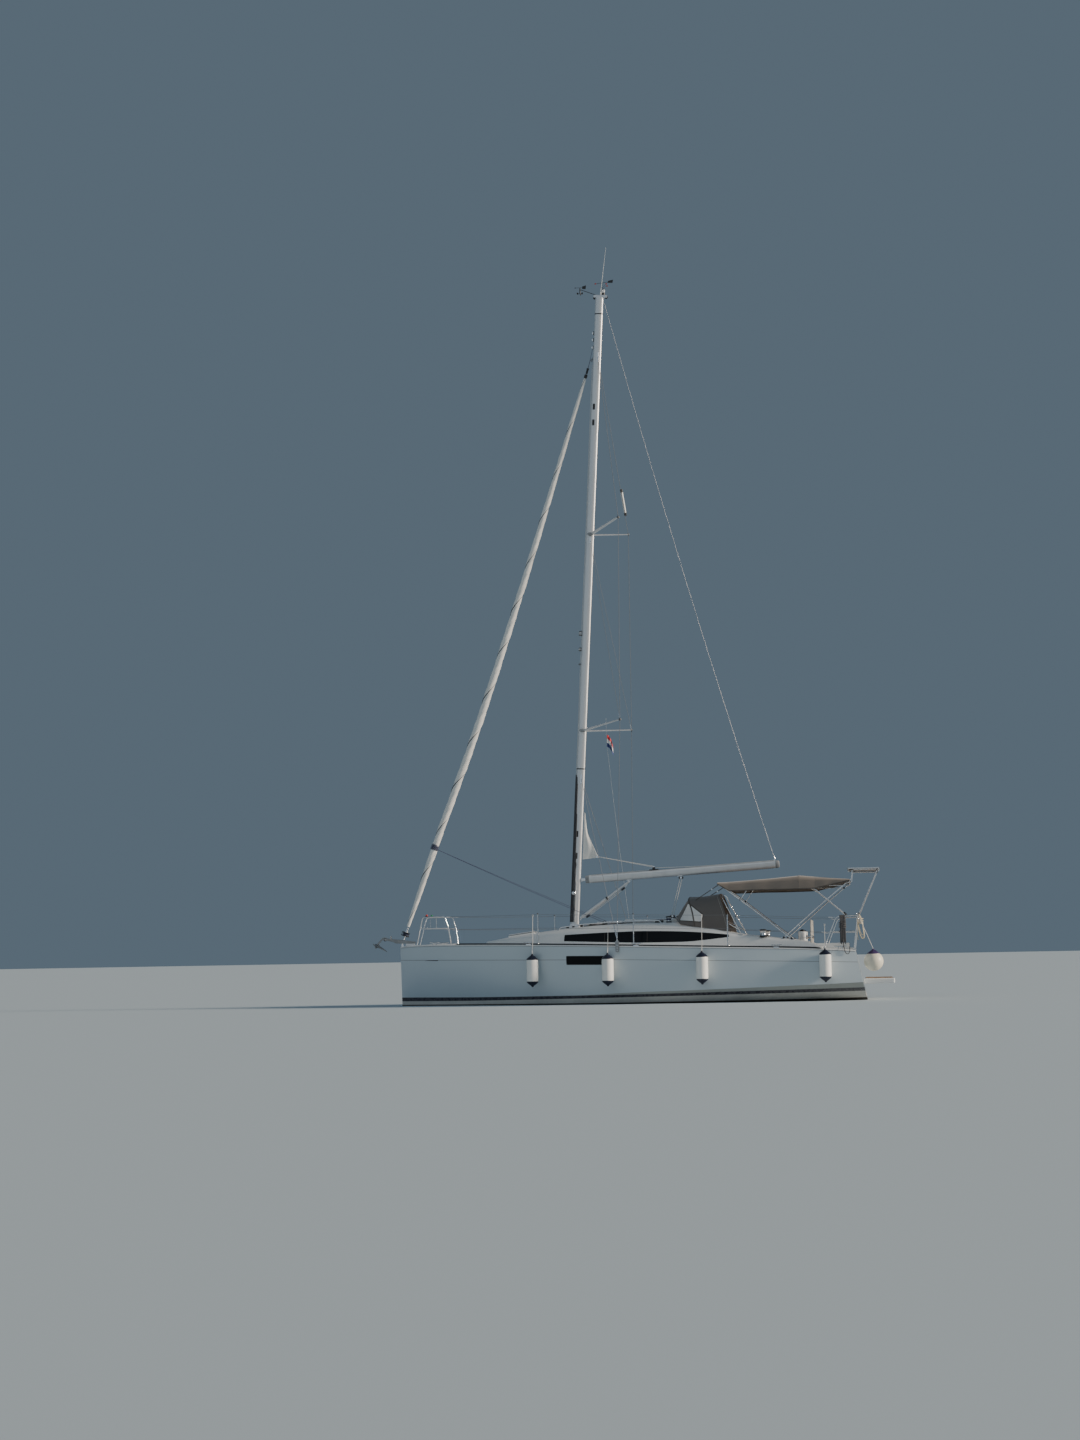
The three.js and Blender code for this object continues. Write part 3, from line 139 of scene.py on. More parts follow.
# ------------------------------------------------------------------ mesh building
class Build:
    """Gathers vertices and faces of one piece, each face with a material slot."""

    def __init__(self):
        self.v, self.f, self.m, self.s, self.uv = [], [], [], [], []

    def add(self, verts, faces, mat=0, smooth=True, uv=None):
        o = len(self.v)
        self.v += [tuple(q) for q in verts]
        self.f += [[i + o for i in q] for q in faces]
        mats = mat if hasattr(mat, "__len__") else [mat] * len(faces)
        self.m += list(mats)
        self.s += [smooth] * len(faces)
        self.uv += uv if uv is not None else [None] * len(faces)
        return self

    def tube(self, points, r, sides=10, mat=0, closed=False, cap=True, scale=None, flat=1.0):
        v, f, uv = tube(points, r, sides, closed, cap, scale, flat)
        return self.add(v, f, mat, True, uv)

    def rod(self, a, b, r, sides=12, mat=0, r2=None):
        v, f, uv = tube([a, b], r, sides, scale=None if r2 is None else [1, r2 / r])
        return self.add(v, f, mat, True, uv)

    def lathe(self, profile, centre=(0, 0, 0), axis=(0, 0, 1), sides=24, mat=0):
        """profile is (radius, height) from one end of the axis to the other."""
        q = Vector((0, 0, 1)).rotation_difference(Vector(axis).normalized())
        c = Vector(centre)
        v, f = [], []
        n = len(profile)
        for r, h in profile:
            for k in range(sides):
                a = 2 * math.pi * k / sides
                v.append(c + q @ Vector((r * math.cos(a), r * math.sin(a), h)))
        for i in range(n - 1):
            for k in range(sides):
                a, b = i * sides + k, i * sides + (k + 1) % sides
                f.append([a, b, b + sides, a + sides])
        f.append([k for k in range(sides)][::-1])
        f.append([(n - 1) * sides + k for k in range(sides)])
        return self.add(v, f, mat)

    def box(self, lo, hi, bevel=0.0, mat=0, turn=None, centre=None, segs=2):
        """A box with rounded edges; turn is a quaternion about its centre."""
        lo, hi = Vector(lo), Vector(hi)
        c, h = (lo + hi) / 2, (hi - lo) / 2
        bm = bmesh.new()
        bmesh.ops.create_cube(bm, size=2.0)
        for q in bm.verts:
            q.co = Vector((q.co.x * abs(h.x), q.co.y * abs(h.y), q.co.z * abs(h.z)))
        if bevel > 0:
            bmesh.ops.bevel(bm, geom=list(bm.edges), offset=min(bevel, 0.95 * min(abs(h.x), abs(h.y), abs(h.z))), segments=segs, profile=0.5, affect="EDGES", clamp_overlap=True)
        bm.normal_update()
        if turn is not None:
            for q in bm.verts:
                q.co = turn @ q.co
        where = Vector(centre) if centre is not None else c
        bm.verts.index_update()
        v = [q.co + where for q in bm.verts]
        f = [[w.index for w in q.verts] for q in bm.faces]
        bm.free()
        return self.add(v, f, mat)

    def plate(self, outline, lo, hi, axis="z", mat=0, bevel=0.0, segs=2):
        """A flat plate: a 2-D outline carried from lo to hi along an axis."""
        bm = bmesh.new()
        put = {"z": lambda a, b, c: (a, b, c), "y": lambda a, b, c: (a, c, b), "x": lambda a, b, c: (c, a, b)}[axis]
        low = [bm.verts.new(put(a, b, lo)) for a, b in outline]
        top = [bm.verts.new(put(a, b, hi)) for a, b in outline]
        n = len(outline)
        bm.faces.new(low[::-1])
        bm.faces.new(top)
        for i in range(n):
            bm.faces.new([low[i], low[(i + 1) % n], top[(i + 1) % n], top[i]])
        bmesh.ops.recalc_face_normals(bm, faces=list(bm.faces))
        if bevel > 0:
            rim = [e for e in bm.edges if len(e.link_faces) == 2 and (len(e.link_faces[0].verts) > 4 or len(e.link_faces[1].verts) > 4 or n == 4)]
            bmesh.ops.bevel(bm, geom=rim, offset=bevel, segments=segs, profile=0.5, affect="EDGES", clamp_overlap=True)
        bm.verts.index_update()
        v = [q.co.copy() for q in bm.verts]
        f = [[w.index for w in q.verts] for q in bm.faces]
        bm.free()
        return self.add(v, f, mat)

    def move(self, start, matrix):
        for i in range(start, len(self.v)):
            self.v[i] = tuple(matrix @ Vector(self.v[i]))
        return self

    def obj(self, name, mats, body=ROOT, replaces=(), slot=None, angle=38, weighted=True, fix=True, stay=False):
        me = bpy.data.meshes.new(name)
        me.from_pydata(self.v, [], self.f)
        me.update()
        for m in mats if hasattr(mats, "__len__") else [mats]:
            me.materials.append(m)
        me.polygons.foreach_set("material_index", self.m)
        me.polygons.foreach_set("use_smooth", self.s)
        if any(u is not None for u in self.uv):
            layer = me.uv_layers.new(name="along")
            for p, u in zip(me.polygons, self.uv):
                if u is not None:
                    for k, li in enumerate(p.loop_indices):
                        layer.data[li].uv = u[k]
        if fix:
            bm = bmesh.new()
            bm.from_mesh(me)
            bmesh.ops.recalc_face_normals(bm, faces=list(bm.faces))
            bm.to_mesh(me)
            bm.free()
        me.set_sharp_from_angle(angle=math.radians(angle))
        ob = bpy.data.objects.new(name, me)
        bpy.context.scene.collection.objects.link(ob)
        if weighted:
            w = ob.modifiers.new("normals", "WEIGHTED_NORMAL")
            w.keep_sharp = True
        if not stay:
            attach(ob, body)
        if replaces:
            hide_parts(*([replaces] if isinstance(replaces, str) else replaces))
        return ob


def tube(points, r, sides=10, closed=False, cap=True, scale=None, flat=1.0):
    """A tube along points. scale widens it point by point. Returns vertices, faces and the uv of each face."""
    p = [Vector(q) for q in points]
    n = len(p)
    if n < 2:
        raise ValueError("a tube needs two points")
    tan = []
    for i in range(n):
        a = p[(i - 1) % n] if closed or i > 0 else p[i]
        b = p[(i + 1) % n] if closed or i < n - 1 else p[i]
        tan.append((b - a).normalized() if (b - a).length > 1e-12 else Vector((0, 0, 1)))
    ref = Vector((0, 0, 1)) if abs(tan[0].z) < 0.9 else Vector((1, 0, 0))
    u = tan[0].cross(ref).normalized()
    v, dist, d = [], [], 0.0
    for i in range(n):
        if i:
            u = tan[i - 1].rotation_difference(tan[i]) @ u
            d += (p[i] - p[i - 1]).length
        dist.append(d)
        u = (u - tan[i] * u.dot(tan[i])).normalized()
        w = tan[i].cross(u)
        s = 1 if scale is None else scale[i]
        for k in range(sides):
            a = 2 * math.pi * k / sides
            v.append(p[i] + u * (r * s * math.cos(a)) + w * (r * s * flat * math.sin(a)))
    f, uv = [], []
    for i in range(n if closed else n - 1):
        j = (i + 1) % n
        for k in range(sides):
            k2 = (k + 1) % sides
            f.append([i * sides + k, i * sides + k2, j * sides + k2, j * sides + k])
            d1 = dist[i]
            d2 = dist[j] if j else d + (p[0] - p[-1]).length
            uv.append([(d1, k / sides), (d1, (k + 1) / sides), (d2, (k + 1) / sides), (d2, k / sides)])
    if not closed and cap:
        f.append([k for k in range(sides)][::-1])
        f.append([(n - 1) * sides + k for k in range(sides)])
        uv += [[(0, k / sides) for k in range(sides)], [(d, k / sides) for k in range(sides)]]
    return v, f, uv


def loft(rings, closed=True, caps=True):
    n = len(rings[0])
    v = [q for r in rings for q in r]
    f = []
    for i in range(len(rings) - 1):
        for j in range(n if closed else n - 1):
            a, b = i * n + j, i * n + (j + 1) % n
            f.append([a, b, b + n, a + n])
    if caps and closed:
        f.append(list(range(n))[::-1])
        f.append([(len(rings) - 1) * n + j for j in range(n)])
    return v, f


def shell(grid, thickness):
    """A sheet with two sides and closed edges through a grid of points [row][column]."""
    R, C = len(grid), len(grid[0])
    g = [[Vector(q) for q in row] for row in grid]
    top, low = [], []
    for i in range(R):
        for j in range(C):
            a = g[min(i + 1, R - 1)][j] - g[max(i - 1, 0)][j]
            b = g[i][min(j + 1, C - 1)] - g[i][max(j - 1, 0)]
            nrm = a.cross(b).normalized()
            top.append(g[i][j] + nrm * thickness / 2)
            low.append(g[i][j] - nrm * thickness / 2)
    N = R * C
    f, uv = [], []
    for i in range(R - 1):
        for j in range(C - 1):
            a, b, c, d = i * C + j, i * C + j + 1, (i + 1) * C + j + 1, (i + 1) * C + j
            q = [(i / (R - 1), j / (C - 1)), (i / (R - 1), (j + 1) / (C - 1)), ((i + 1) / (R - 1), (j + 1) / (C - 1)), ((i + 1) / (R - 1), j / (C - 1))]
            f.append([a, d, c, b])
            uv.append([q[0], q[3], q[2], q[1]])
            f.append([a + N, b + N, c + N, d + N])
            uv.append(q)
    edge = [(j, j + 1) for j in range(C - 1)] + [(i * C + C - 1, (i + 1) * C + C - 1) for i in range(R - 1)]
    edge += [((R - 1) * C + j, (R - 1) * C + j - 1) for j in range(C - 1, 0, -1)] + [(i * C, (i - 1) * C) for i in range(R - 1, 0, -1)]
    for a, b in edge:
        f.append([a, b, b + N, a + N])
        uv.append([(0, 0)] * 4)
    return top + low, f, uv


def cut(ob, tool, op="DIFFERENCE"):
    """Joins or cuts ob by tool, and removes tool."""
    bpy.context.view_layer.update()
    mod = ob.modifiers.new("cut", "BOOLEAN")
    mod.object, mod.operation, mod.solver = tool, op, "EXACT"
    dg = bpy.context.evaluated_depsgraph_get()
    me = bpy.data.meshes.new_from_object(ob.evaluated_get(dg))
    ob.modifiers.remove(mod)
    old = ob.data
    ob.data = me
    bpy.data.meshes.remove(old)
    bpy.data.objects.remove(tool, do_unlink=True)
    return ob


# ------------------------------------------------------------------ materials
def _tree(name):
    m = bpy.data.materials.new(name)
    m.use_nodes = True
    nt = m.node_tree
    b = nt.nodes["Principled BSDF"]
    return m, nt, b


def _coords(nt, scale=(1, 1, 1), space="Object"):
    tc = nt.nodes.new("ShaderNodeTexCoord")
    mp = nt.nodes.new("ShaderNodeMapping")
    mp.inputs["Scale"].default_value = scale
    nt.links.new(tc.outputs[space], mp.inputs["Vector"])
    return mp.outputs["Vector"]


def _noise(nt, vec, scale, detail=4, rough=0.55, distort=0.0):
    n = nt.nodes.new("ShaderNodeTexNoise")
    n.inputs["Scale"].default_value = scale
    n.inputs["Detail"].default_value = detail
    n.inputs["Roughness"].default_value = rough
    n.inputs["Distortion"].default_value = distort
    nt.links.new(vec, n.inputs["Vector"])
    return n.outputs["Fac"]


def _ramp(nt, fac, stops):
    r = nt.nodes.new("ShaderNodeValToRGB")
    e = r.color_ramp.elements
    while len(e) < len(stops):
        e.new(0.5)
    for k, (pos, col) in enumerate(stops):
        e[k].position = pos
        e[k].color = (*col, 1) if len(col) == 3 else col
    nt.links.new(fac, r.inputs["Fac"])
    return r.outputs["Color"]


def _range(nt, fac, lo, hi, a=0.0, b=1.0):
    r = nt.nodes.new("ShaderNodeMapRange")
    r.inputs["From Min"].default_value, r.inputs["From Max"].default_value = a, b
    r.inputs["To Min"].default_value, r.inputs["To Max"].default_value = lo, hi
    nt.links.new(fac, r.inputs["Value"])
    return r.outputs["Result"]


def _math(nt, op, a, b=None):
    n = nt.nodes.new("ShaderNodeMath")
    n.operation = op
    for k, q in enumerate((a, b)):
        if q is None:
            continue
        if isinstance(q, (int, float)):
            n.inputs[k].default_value = q
        else:
            nt.links.new(q, n.inputs[k])
    return n.outputs[0]


def _mix(nt, fac, a, b, mode="MIX"):
    n = nt.nodes.new("ShaderNodeMix")
    n.data_type = "RGBA"
    n.blend_type = mode
    if isinstance(fac, (int, float)):
        n.inputs[0].default_value = fac
    else:
        nt.links.new(fac, n.inputs[0])
    for k, q in ((6, a), (7, b)):
        if isinstance(q, tuple):
            n.inputs[k].default_value = (*q, 1)
        else:
            nt.links.new(q, n.inputs[k])
    return n.outputs[2]


def _bump(nt, b, height, strength=0.3, distance=0.001):
    n = nt.nodes.new("ShaderNodeBump")
    n.inputs["Strength"].default_value = strength
    n.inputs["Distance"].default_value = distance
    nt.links.new(height, n.inputs["Height"])
    nt.links.new(n.outputs["Normal"], b.inputs["Normal"])
    return n


def finish_of(name, color, rough=0.4, metal=0.0, vary=0.06, scale=6.0, rvary=0.08, bump=0.12, bscale=60.0, bdist=0.0006,
              coat=0.0, sheen=0.0, stretch=(1, 1, 1), spec=None, dirt=0.0):
    """A painted, moulded or metal finish: slow colour drift, uneven gloss, fine surface grain."""
    m, nt, b = _tree(name)
    b.inputs["Metallic"].default_value = metal
    if coat:
        b.inputs["Coat Weight"].default_value = coat
        b.inputs["Coat Roughness"].default_value = 0.08
    if sheen:
        b.inputs["Sheen Weight"].default_value = sheen
    if spec is not None:
        b.inputs["Specular IOR Level"].default_value = spec
    vec = _coords(nt, stretch)
    big = _noise(nt, vec, scale, 5)
    lo = tuple(max(0, c * (1 - vary)) for c in color)
    hi = tuple(min(1, c * (1 + vary)) for c in color)
    col = _ramp(nt, big, [(0.3, lo), (0.7, hi)])
    if dirt:
        fine = _noise(nt, vec, scale * 7, 6, 0.7)
        col = _mix(nt, _range(nt, fine, 0, dirt, 0.52, 0.8), col, tuple(c * 0.45 for c in color))
    nt.links.new(col, b.inputs["Base Color"])
    mid = _noise(nt, vec, scale * 4, 4)
    nt.links.new(_range(nt, mid, max(0.02, rough - rvary), min(1, rough + rvary), 0.3, 0.7), b.inputs["Roughness"])
    if bump:
        _bump(nt, b, _noise(nt, vec, bscale, 3), bump, bdist)
    return m


def cloth_of(name, color, weave=900.0, vary=0.08, rough=0.85, sheen=0.25, fade=0.10, bump=0.25, crease=0.35):
    """Woven cloth: two crossing bands of yarn, faded patches and soft creases."""
    m, nt, b = _tree(name)
    b.inputs["Sheen Weight"].default_value = sheen
    b.inputs["Specular IOR Level"].default_value = 0.25
    vec = _coords(nt)
    waves = []
    for axis in ("X", "Y", "Z"):
        w = nt.nodes.new("ShaderNodeTexWave")
        w.bands_direction = axis
        w.inputs["Scale"].default_value = weave / 20
        w.inputs["Distortion"].default_value = 0.6
        w.inputs["Detail"].default_value = 1.0
        nt.links.new(vec, w.inputs["Vector"])
        waves.append(w.outputs["Fac"])
    yarn = _math(nt, "ADD", _math(nt, "MULTIPLY", waves[0], 0.34), _math(nt, "ADD", _math(nt, "MULTIPLY", waves[1], 0.33), _math(nt, "MULTIPLY", waves[2], 0.33)))
    slow = _noise(nt, vec, 1.7, 5, 0.6)
    lo = tuple(c * (1 - vary) for c in color)
    hi = tuple(min(1, c * (1 + vary)) for c in color)
    col = _ramp(nt, slow, [(0.28, lo), (0.72, hi)])
    col = _mix(nt, _range(nt, yarn, 0, fade, 0.25, 0.75), col, tuple(min(1, c * 1.35 + 0.02) for c in color))
    nt.links.new(col, b.inputs["Base Color"])
    nt.links.new(_range(nt, slow, rough - 0.06, min(1, rough + 0.08), 0.3, 0.7), b.inputs["Roughness"])
    creases = _noise(nt, vec, 5.0, 5, 0.6, 0.6)
    h = _math(nt, "ADD", _math(nt, "MULTIPLY", yarn, 0.03), _math(nt, "MULTIPLY", creases, crease))
    _bump(nt, b, h, bump, 0.02)
    return m


def rope_of(name, color, fleck=None, pitch=60.0, rough=0.75):
    """Braided rope: crossing strands wound round it, with a fleck of the second colour."""
    m, nt, b = _tree(name)
    tc = nt.nodes.new("ShaderNodeTexCoord")
    sep = nt.nodes.new("ShaderNodeSeparateXYZ")
    nt.links.new(tc.outputs["UV"], sep.inputs[0])
    along = _math(nt, "MULTIPLY", sep.outputs[0], pitch)
    a = _math(nt, "SINE", _math(nt, "MULTIPLY", _math(nt, "ADD", along, _math(nt, "MULTIPLY", sep.outputs[1], 3.0)), 6.28318))
    c = _math(nt, "SINE", _math(nt, "MULTIPLY", _math(nt, "SUBTRACT", along, _math(nt, "MULTIPLY", sep.outputs[1], 3.0)), 6.28318))
    k = _math(nt, "MULTIPLY", a, c)
    second = fleck or tuple(x * 0.62 for x in color)
    col = _mix(nt, _range(nt, k, 0, 1, 0.15, 0.55), color, second)
    nt.links.new(col, b.inputs["Base Color"])
    b.inputs["Roughness"].default_value = rough
    b.inputs["Sheen Weight"].default_value = 0.2
    _bump(nt, b, k, 0.4, 0.001)
    return m


def teak_of(name, plank=0.045, along="X", color=(0.36, 0.22, 0.12)):
    """Teak strips with dark caulked seams and long grain."""
    m, nt, b = _tree(name)
    vec = _coords(nt)
    sep = nt.nodes.new("ShaderNodeSeparateXYZ")
    nt.links.new(vec, sep.inputs[0])
    side = sep.outputs[1 if along == "X" else 0]
    pos = _math(nt, "DIVIDE", side, plank)
    frac = _math(nt, "FRACT", _math(nt, "ADD", pos, 100.0))
    seam = _math(nt, "LESS_THAN", _math(nt, "ABSOLUTE", _math(nt, "SUBTRACT", frac, 0.5)), 0.055)
    cell = _math(nt, "FLOOR", _math(nt, "ADD", pos, 99.5))
    wn = nt.nodes.new("ShaderNodeTexWhiteNoise")
    wn.noise_dimensions = "1D"
    nt.links.new(cell, wn.inputs["W"])
    stretch = _coords(nt, (1.5, 26, 26) if along == "X" else (26, 1.5, 26))
    grain = _noise(nt, stretch, 5.0, 6, 0.65, 0.5)
    base = _ramp(nt, grain, [(0.25, tuple(c * 0.7 for c in color)), (0.75, tuple(min(1, c * 1.3) for c in color))])
    base = _mix(nt, _math(nt, "MULTIPLY", wn.outputs["Value"], 0.35), base, tuple(c * 0.6 for c in color))
    col = _mix(nt, seam, base, (0.012, 0.011, 0.010))
    nt.links.new(col, b.inputs["Base Color"])
    nt.links.new(_range(nt, grain, 0.55, 0.75, 0.3, 0.7), b.inputs["Roughness"])
    h = _math(nt, "SUBTRACT", _math(nt, "MULTIPLY", grain, 0.3), seam)
    _bump(nt, b, h, 0.4, 0.001)
    return m


def nonslip_of(name, color):
    """Moulded non-slip deck: small raised diamonds with painted shade in the grooves between them, duller than the
    gelcoat round it.
    """
    m, nt, b = _tree(name)
    vec = _coords(nt)
    v = nt.nodes.new("ShaderNodeTexVoronoi")
    v.feature = "F1"
    v.inputs["Scale"].default_value = 160
    v.inputs["Randomness"].default_value = 0.25
    nt.links.new(vec, v.inputs["Vector"])
    slow = _noise(nt, vec, 3.0, 5, 0.65)
    col = _ramp(nt, slow, [(0.3, tuple(c * 0.93 for c in color)), (0.7, color)])
    # the low ground between the diamonds is painted darker: painted shade in the grooves
    col = _mix(nt, _range(nt, v.outputs["Distance"], 0, 0.16, 0.3, 0.7), col, tuple(c * 0.6 for c in color))
    nt.links.new(col, b.inputs["Base Color"])
    b.inputs["Roughness"].default_value = 0.72
    _bump(nt, b, _math(nt, "SUBTRACT", 1.0, v.outputs["Distance"]), 0.5, 0.001)
    return m


M = {
    # the white topsides get a darker blue-grey than the deck gelcoat: painted shade of the hull side turned away from
    # the sun
    "hullgel_painted_shade": finish_of("topside_gelcoat_painted_shade", (0.545, 0.620, 0.665), 0.22, coat=0.4, vary=0.012, scale=0.7, rvary=0.03, bump=0.03, bscale=3.0, bdist=0.003),
    "gel": finish_of("gelcoat_white", (0.80, 0.81, 0.81), 0.20, coat=0.5, vary=0.025, scale=1.3, bump=0.05, bscale=3.0, bdist=0.004, dirt=0.05),
    "deck": finish_of("deck_gelcoat", (0.79, 0.80, 0.79), 0.34, coat=0.2, vary=0.03, scale=2.2, bump=0.05, bscale=12.0, bdist=0.002, dirt=0.08),
    "nonslip": nonslip_of("deck_nonslip", (0.66, 0.66, 0.64)),
    "stripe": finish_of("boot_stripe", (0.045, 0.042, 0.055), 0.28, coat=0.4, vary=0.15, scale=4.0, bump=0.04),
    "stripe2": finish_of("boot_band", (0.56, 0.54, 0.50), 0.35, coat=0.2, vary=0.10, scale=3.0, bump=0.04, dirt=0.25),
    "pin": finish_of("pinstripe", (0.24, 0.25, 0.27), 0.35, vary=0.05),
    # the same white gelcoat under the chine, made dark grey: painted shade of the down-facing strip above the boot
    # stripe
    "chine": finish_of("chine_painted_shade", (0.37, 0.385, 0.365), 0.30, coat=0.3, vary=0.03, scale=1.5, rvary=0.03, bump=0.03, bscale=3.0, bdist=0.003),
    "bottom": finish_of("antifouling", (0.030, 0.032, 0.036), 0.82, vary=0.20, scale=5.0, bump=0.5, bscale=50.0, bdist=0.0015, dirt=0.15),
    "weed": finish_of("waterline_growth", (0.050, 0.041, 0.033), 0.9, vary=0.30, scale=9.0, bump=0.6, bscale=70.0, bdist=0.002, dirt=0.2),
    "iron": finish_of("keel_paint", (0.035, 0.040, 0.050), 0.85, vary=0.25, scale=5.0, bump=0.5, bscale=45.0, bdist=0.002, dirt=0.3),
    "alloy": finish_of("anodised_alloy", (0.66, 0.67, 0.69), 0.36, metal=0.85, vary=0.04, scale=2.0, bump=0.05, bscale=90.0, stretch=(6, 6, 0.4)),
    "mast": finish_of("mast_extrusion", (0.70, 0.71, 0.72), 0.38, metal=0.55, vary=0.05, scale=1.6, bump=0.04, bscale=60.0, stretch=(5, 5, 0.25)),
    "steel": finish_of("polished_steel", (0.76, 0.77, 0.79), 0.13, metal=1.0, vary=0.03, scale=9.0, rvary=0.05, bump=0.03, bscale=140.0),
    "wire": finish_of("stay_wire", (0.26, 0.265, 0.28), 0.45, metal=1.0, vary=0.10, scale=30.0, bump=0.3, bscale=420.0),
    "black": finish_of("black_moulding", (0.020, 0.020, 0.022), 0.42, vary=0.2, scale=8.0, bump=0.08, bscale=120.0),
    "grey": finish_of("grey_moulding", (0.28, 0.29, 0.30), 0.45, vary=0.1, scale=8.0, bump=0.08, bscale=120.0),
    "rubber": finish_of("rubber_seal", (0.025, 0.025, 0.027), 0.7, vary=0.15, scale=8.0, bump=0.2, bscale=150.0),
    "acrylic": finish_of("tinted_acrylic", (0.004, 0.005, 0.007), 0.10, spec=0.16, vary=0.2, scale=1.5, rvary=0.03, bump=0.015, bscale=2.0, bdist=0.003),
    "teak_x": teak_of("teak_fore_and_aft", along="X"),
    "teak_y": teak_of("teak_athwart", along="Y"),
    "varnish": finish_of("varnished_wood", (0.30, 0.14, 0.055), 0.18, coat=0.6, vary=0.30, scale=3.0, bump=0.04, stretch=(0.6, 9, 9)),
    "sail": cloth_of("sailcloth", (0.80, 0.79, 0.75), weave=1400, rough=0.62, sheen=0.1, crease=0.5, bump=0.18),
    "uv": cloth_of("sail_cover_strip", (0.70, 0.70, 0.68), weave=1000, crease=0.5, bump=0.2),
    "roll_lip_shade": finish_of("roll_lip_painted_shade", (0.045, 0.050, 0.065), 0.8, vary=0.2, scale=12.0, bump=0.2, bscale=160.0),
    "canvas": cloth_of("taupe_canvas", (0.215, 0.185, 0.160), weave=900, crease=0.35, bump=0.22),
    "hood": cloth_of("hood_canvas", (0.165, 0.148, 0.136), weave=900, crease=0.4, bump=0.22),
    "binding": finish_of("cloth_binding", (0.105, 0.092, 0.082), 0.85, vary=0.15, scale=20.0, bump=0.3, bscale=500.0),
    "thread": finish_of("stitching", (0.55, 0.52, 0.47), 0.8, vary=0.1, scale=30.0, bump=0.2, bscale=600.0),
    "fender": finish_of("fender_vinyl", (0.88, 0.88, 0.84), 0.42, vary=0.05, scale=5.0, bump=0.08, bscale=20.0, bdist=0.002, dirt=0.18),
    "navy": finish_of("fender_end", (0.008, 0.011, 0.030), 0.42, vary=0.15, scale=6.0, bump=0.08, bscale=30.0),
    "cream": finish_of("ball_vinyl", (0.82, 0.76, 0.62), 0.42, vary=0.06, scale=5.0, bump=0.08, bscale=20.0, bdist=0.002, dirt=0.15),
    "purple": finish_of("ball_top", (0.060, 0.035, 0.12), 0.4, vary=0.15, scale=6.0, bump=0.08, bscale=30.0),
    "rope_white": rope_of("rope_white", (0.74, 0.73, 0.69), (0.50, 0.50, 0.50)),
    "rope_blue": rope_of("rope_blue_fleck", (0.70, 0.70, 0.68), (0.06, 0.11, 0.30)),
    "rope_red": rope_of("rope_red_fleck", (0.70, 0.69, 0.66), (0.42, 0.05, 0.05)),
    "rope_black": rope_of("rope_black", (0.045, 0.045, 0.050), (0.12, 0.12, 0.13)),
    "rope_cream": rope_of("rope_cream", (0.72, 0.64, 0.47), (0.60, 0.52, 0.38)),
    "rope_navy": rope_of("rope_navy", (0.035, 0.045, 0.11), (0.10, 0.11, 0.17)),
    "leather": finish_of("wheel_leather", (0.50, 0.48, 0.44), 0.6, vary=0.2, scale=20.0, bump=0.4, bscale=260.0, bdist=0.001),
    "galv": finish_of("galvanised_steel", (0.30, 0.31, 0.32), 0.48, metal=0.9, vary=0.14, scale=14.0, bump=0.25, bscale=60.0, bdist=0.001, dirt=0.25),
    "bronze": finish_of("cast_bronze", (0.50, 0.36, 0.18), 0.35, metal=1.0, vary=0.12, scale=12.0, bump=0.15, bscale=70.0),
    "cell": finish_of("solar_cells", (0.018, 0.024, 0.050), 0.12, coat=0.8, vary=0.3, scale=12.0, bump=0.02),
    "backsheet": finish_of("panel_back", (0.30, 0.22, 0.16), 0.55, vary=0.15, scale=5.0, bump=0.05),
    "cabin": finish_of("cabin_lining", (0.62, 0.60, 0.56), 0.6, vary=0.05, scale=4.0, bump=0.1),
    "sole": teak_of("cabin_sole", plank=0.09, along="X", color=(0.34, 0.20, 0.10)),
    "enginep": finish_of("engine_enamel", (0.24, 0.27, 0.29), 0.4, vary=0.1, scale=6.0),
    "red": finish_of("red_plastic", (0.50, 0.03, 0.02), 0.35, vary=0.1),
    "green": finish_of("green_plastic", (0.02, 0.30, 0.10), 0.35, vary=0.1),
    "flag_red": cloth_of("flag_red", (0.60, 0.05, 0.06), weave=1200, crease=0.3),
    "flag_white": cloth_of("flag_white", (0.74, 0.74, 0.74), weave=1200, crease=0.3),
    "flag_blue": cloth_of("flag_dark", (0.04, 0.06, 0.20), weave=1200, crease=0.3),
}


def clear_of(name, color=(0.9, 0.92, 0.95), rough=0.08, alpha=0.25):
    m, nt, b = _tree(name)
    b.inputs["Base Color"].default_value = (*color, 1)
    b.inputs["Alpha"].default_value = alpha
    b.inputs["IOR"].default_value = 1.45
    b.inputs["Coat Weight"].default_value = 0.5
    vec = _coords(nt)
    n = _noise(nt, vec, 4.0, 4, 0.6, 0.3)
    nt.links.new(_range(nt, n, rough, rough + 0.12, 0.3, 0.7), b.inputs["Roughness"])
    _bump(nt, b, n, 0.3, 0.004)
    return m


M["vinyl"] = clear_of("clear_window_vinyl", (0.90, 0.89, 0.86), 0.22, 0.84)
M["lens"] = clear_of("lamp_lens", (0.9, 0.92, 0.94), 0.05, 0.5)


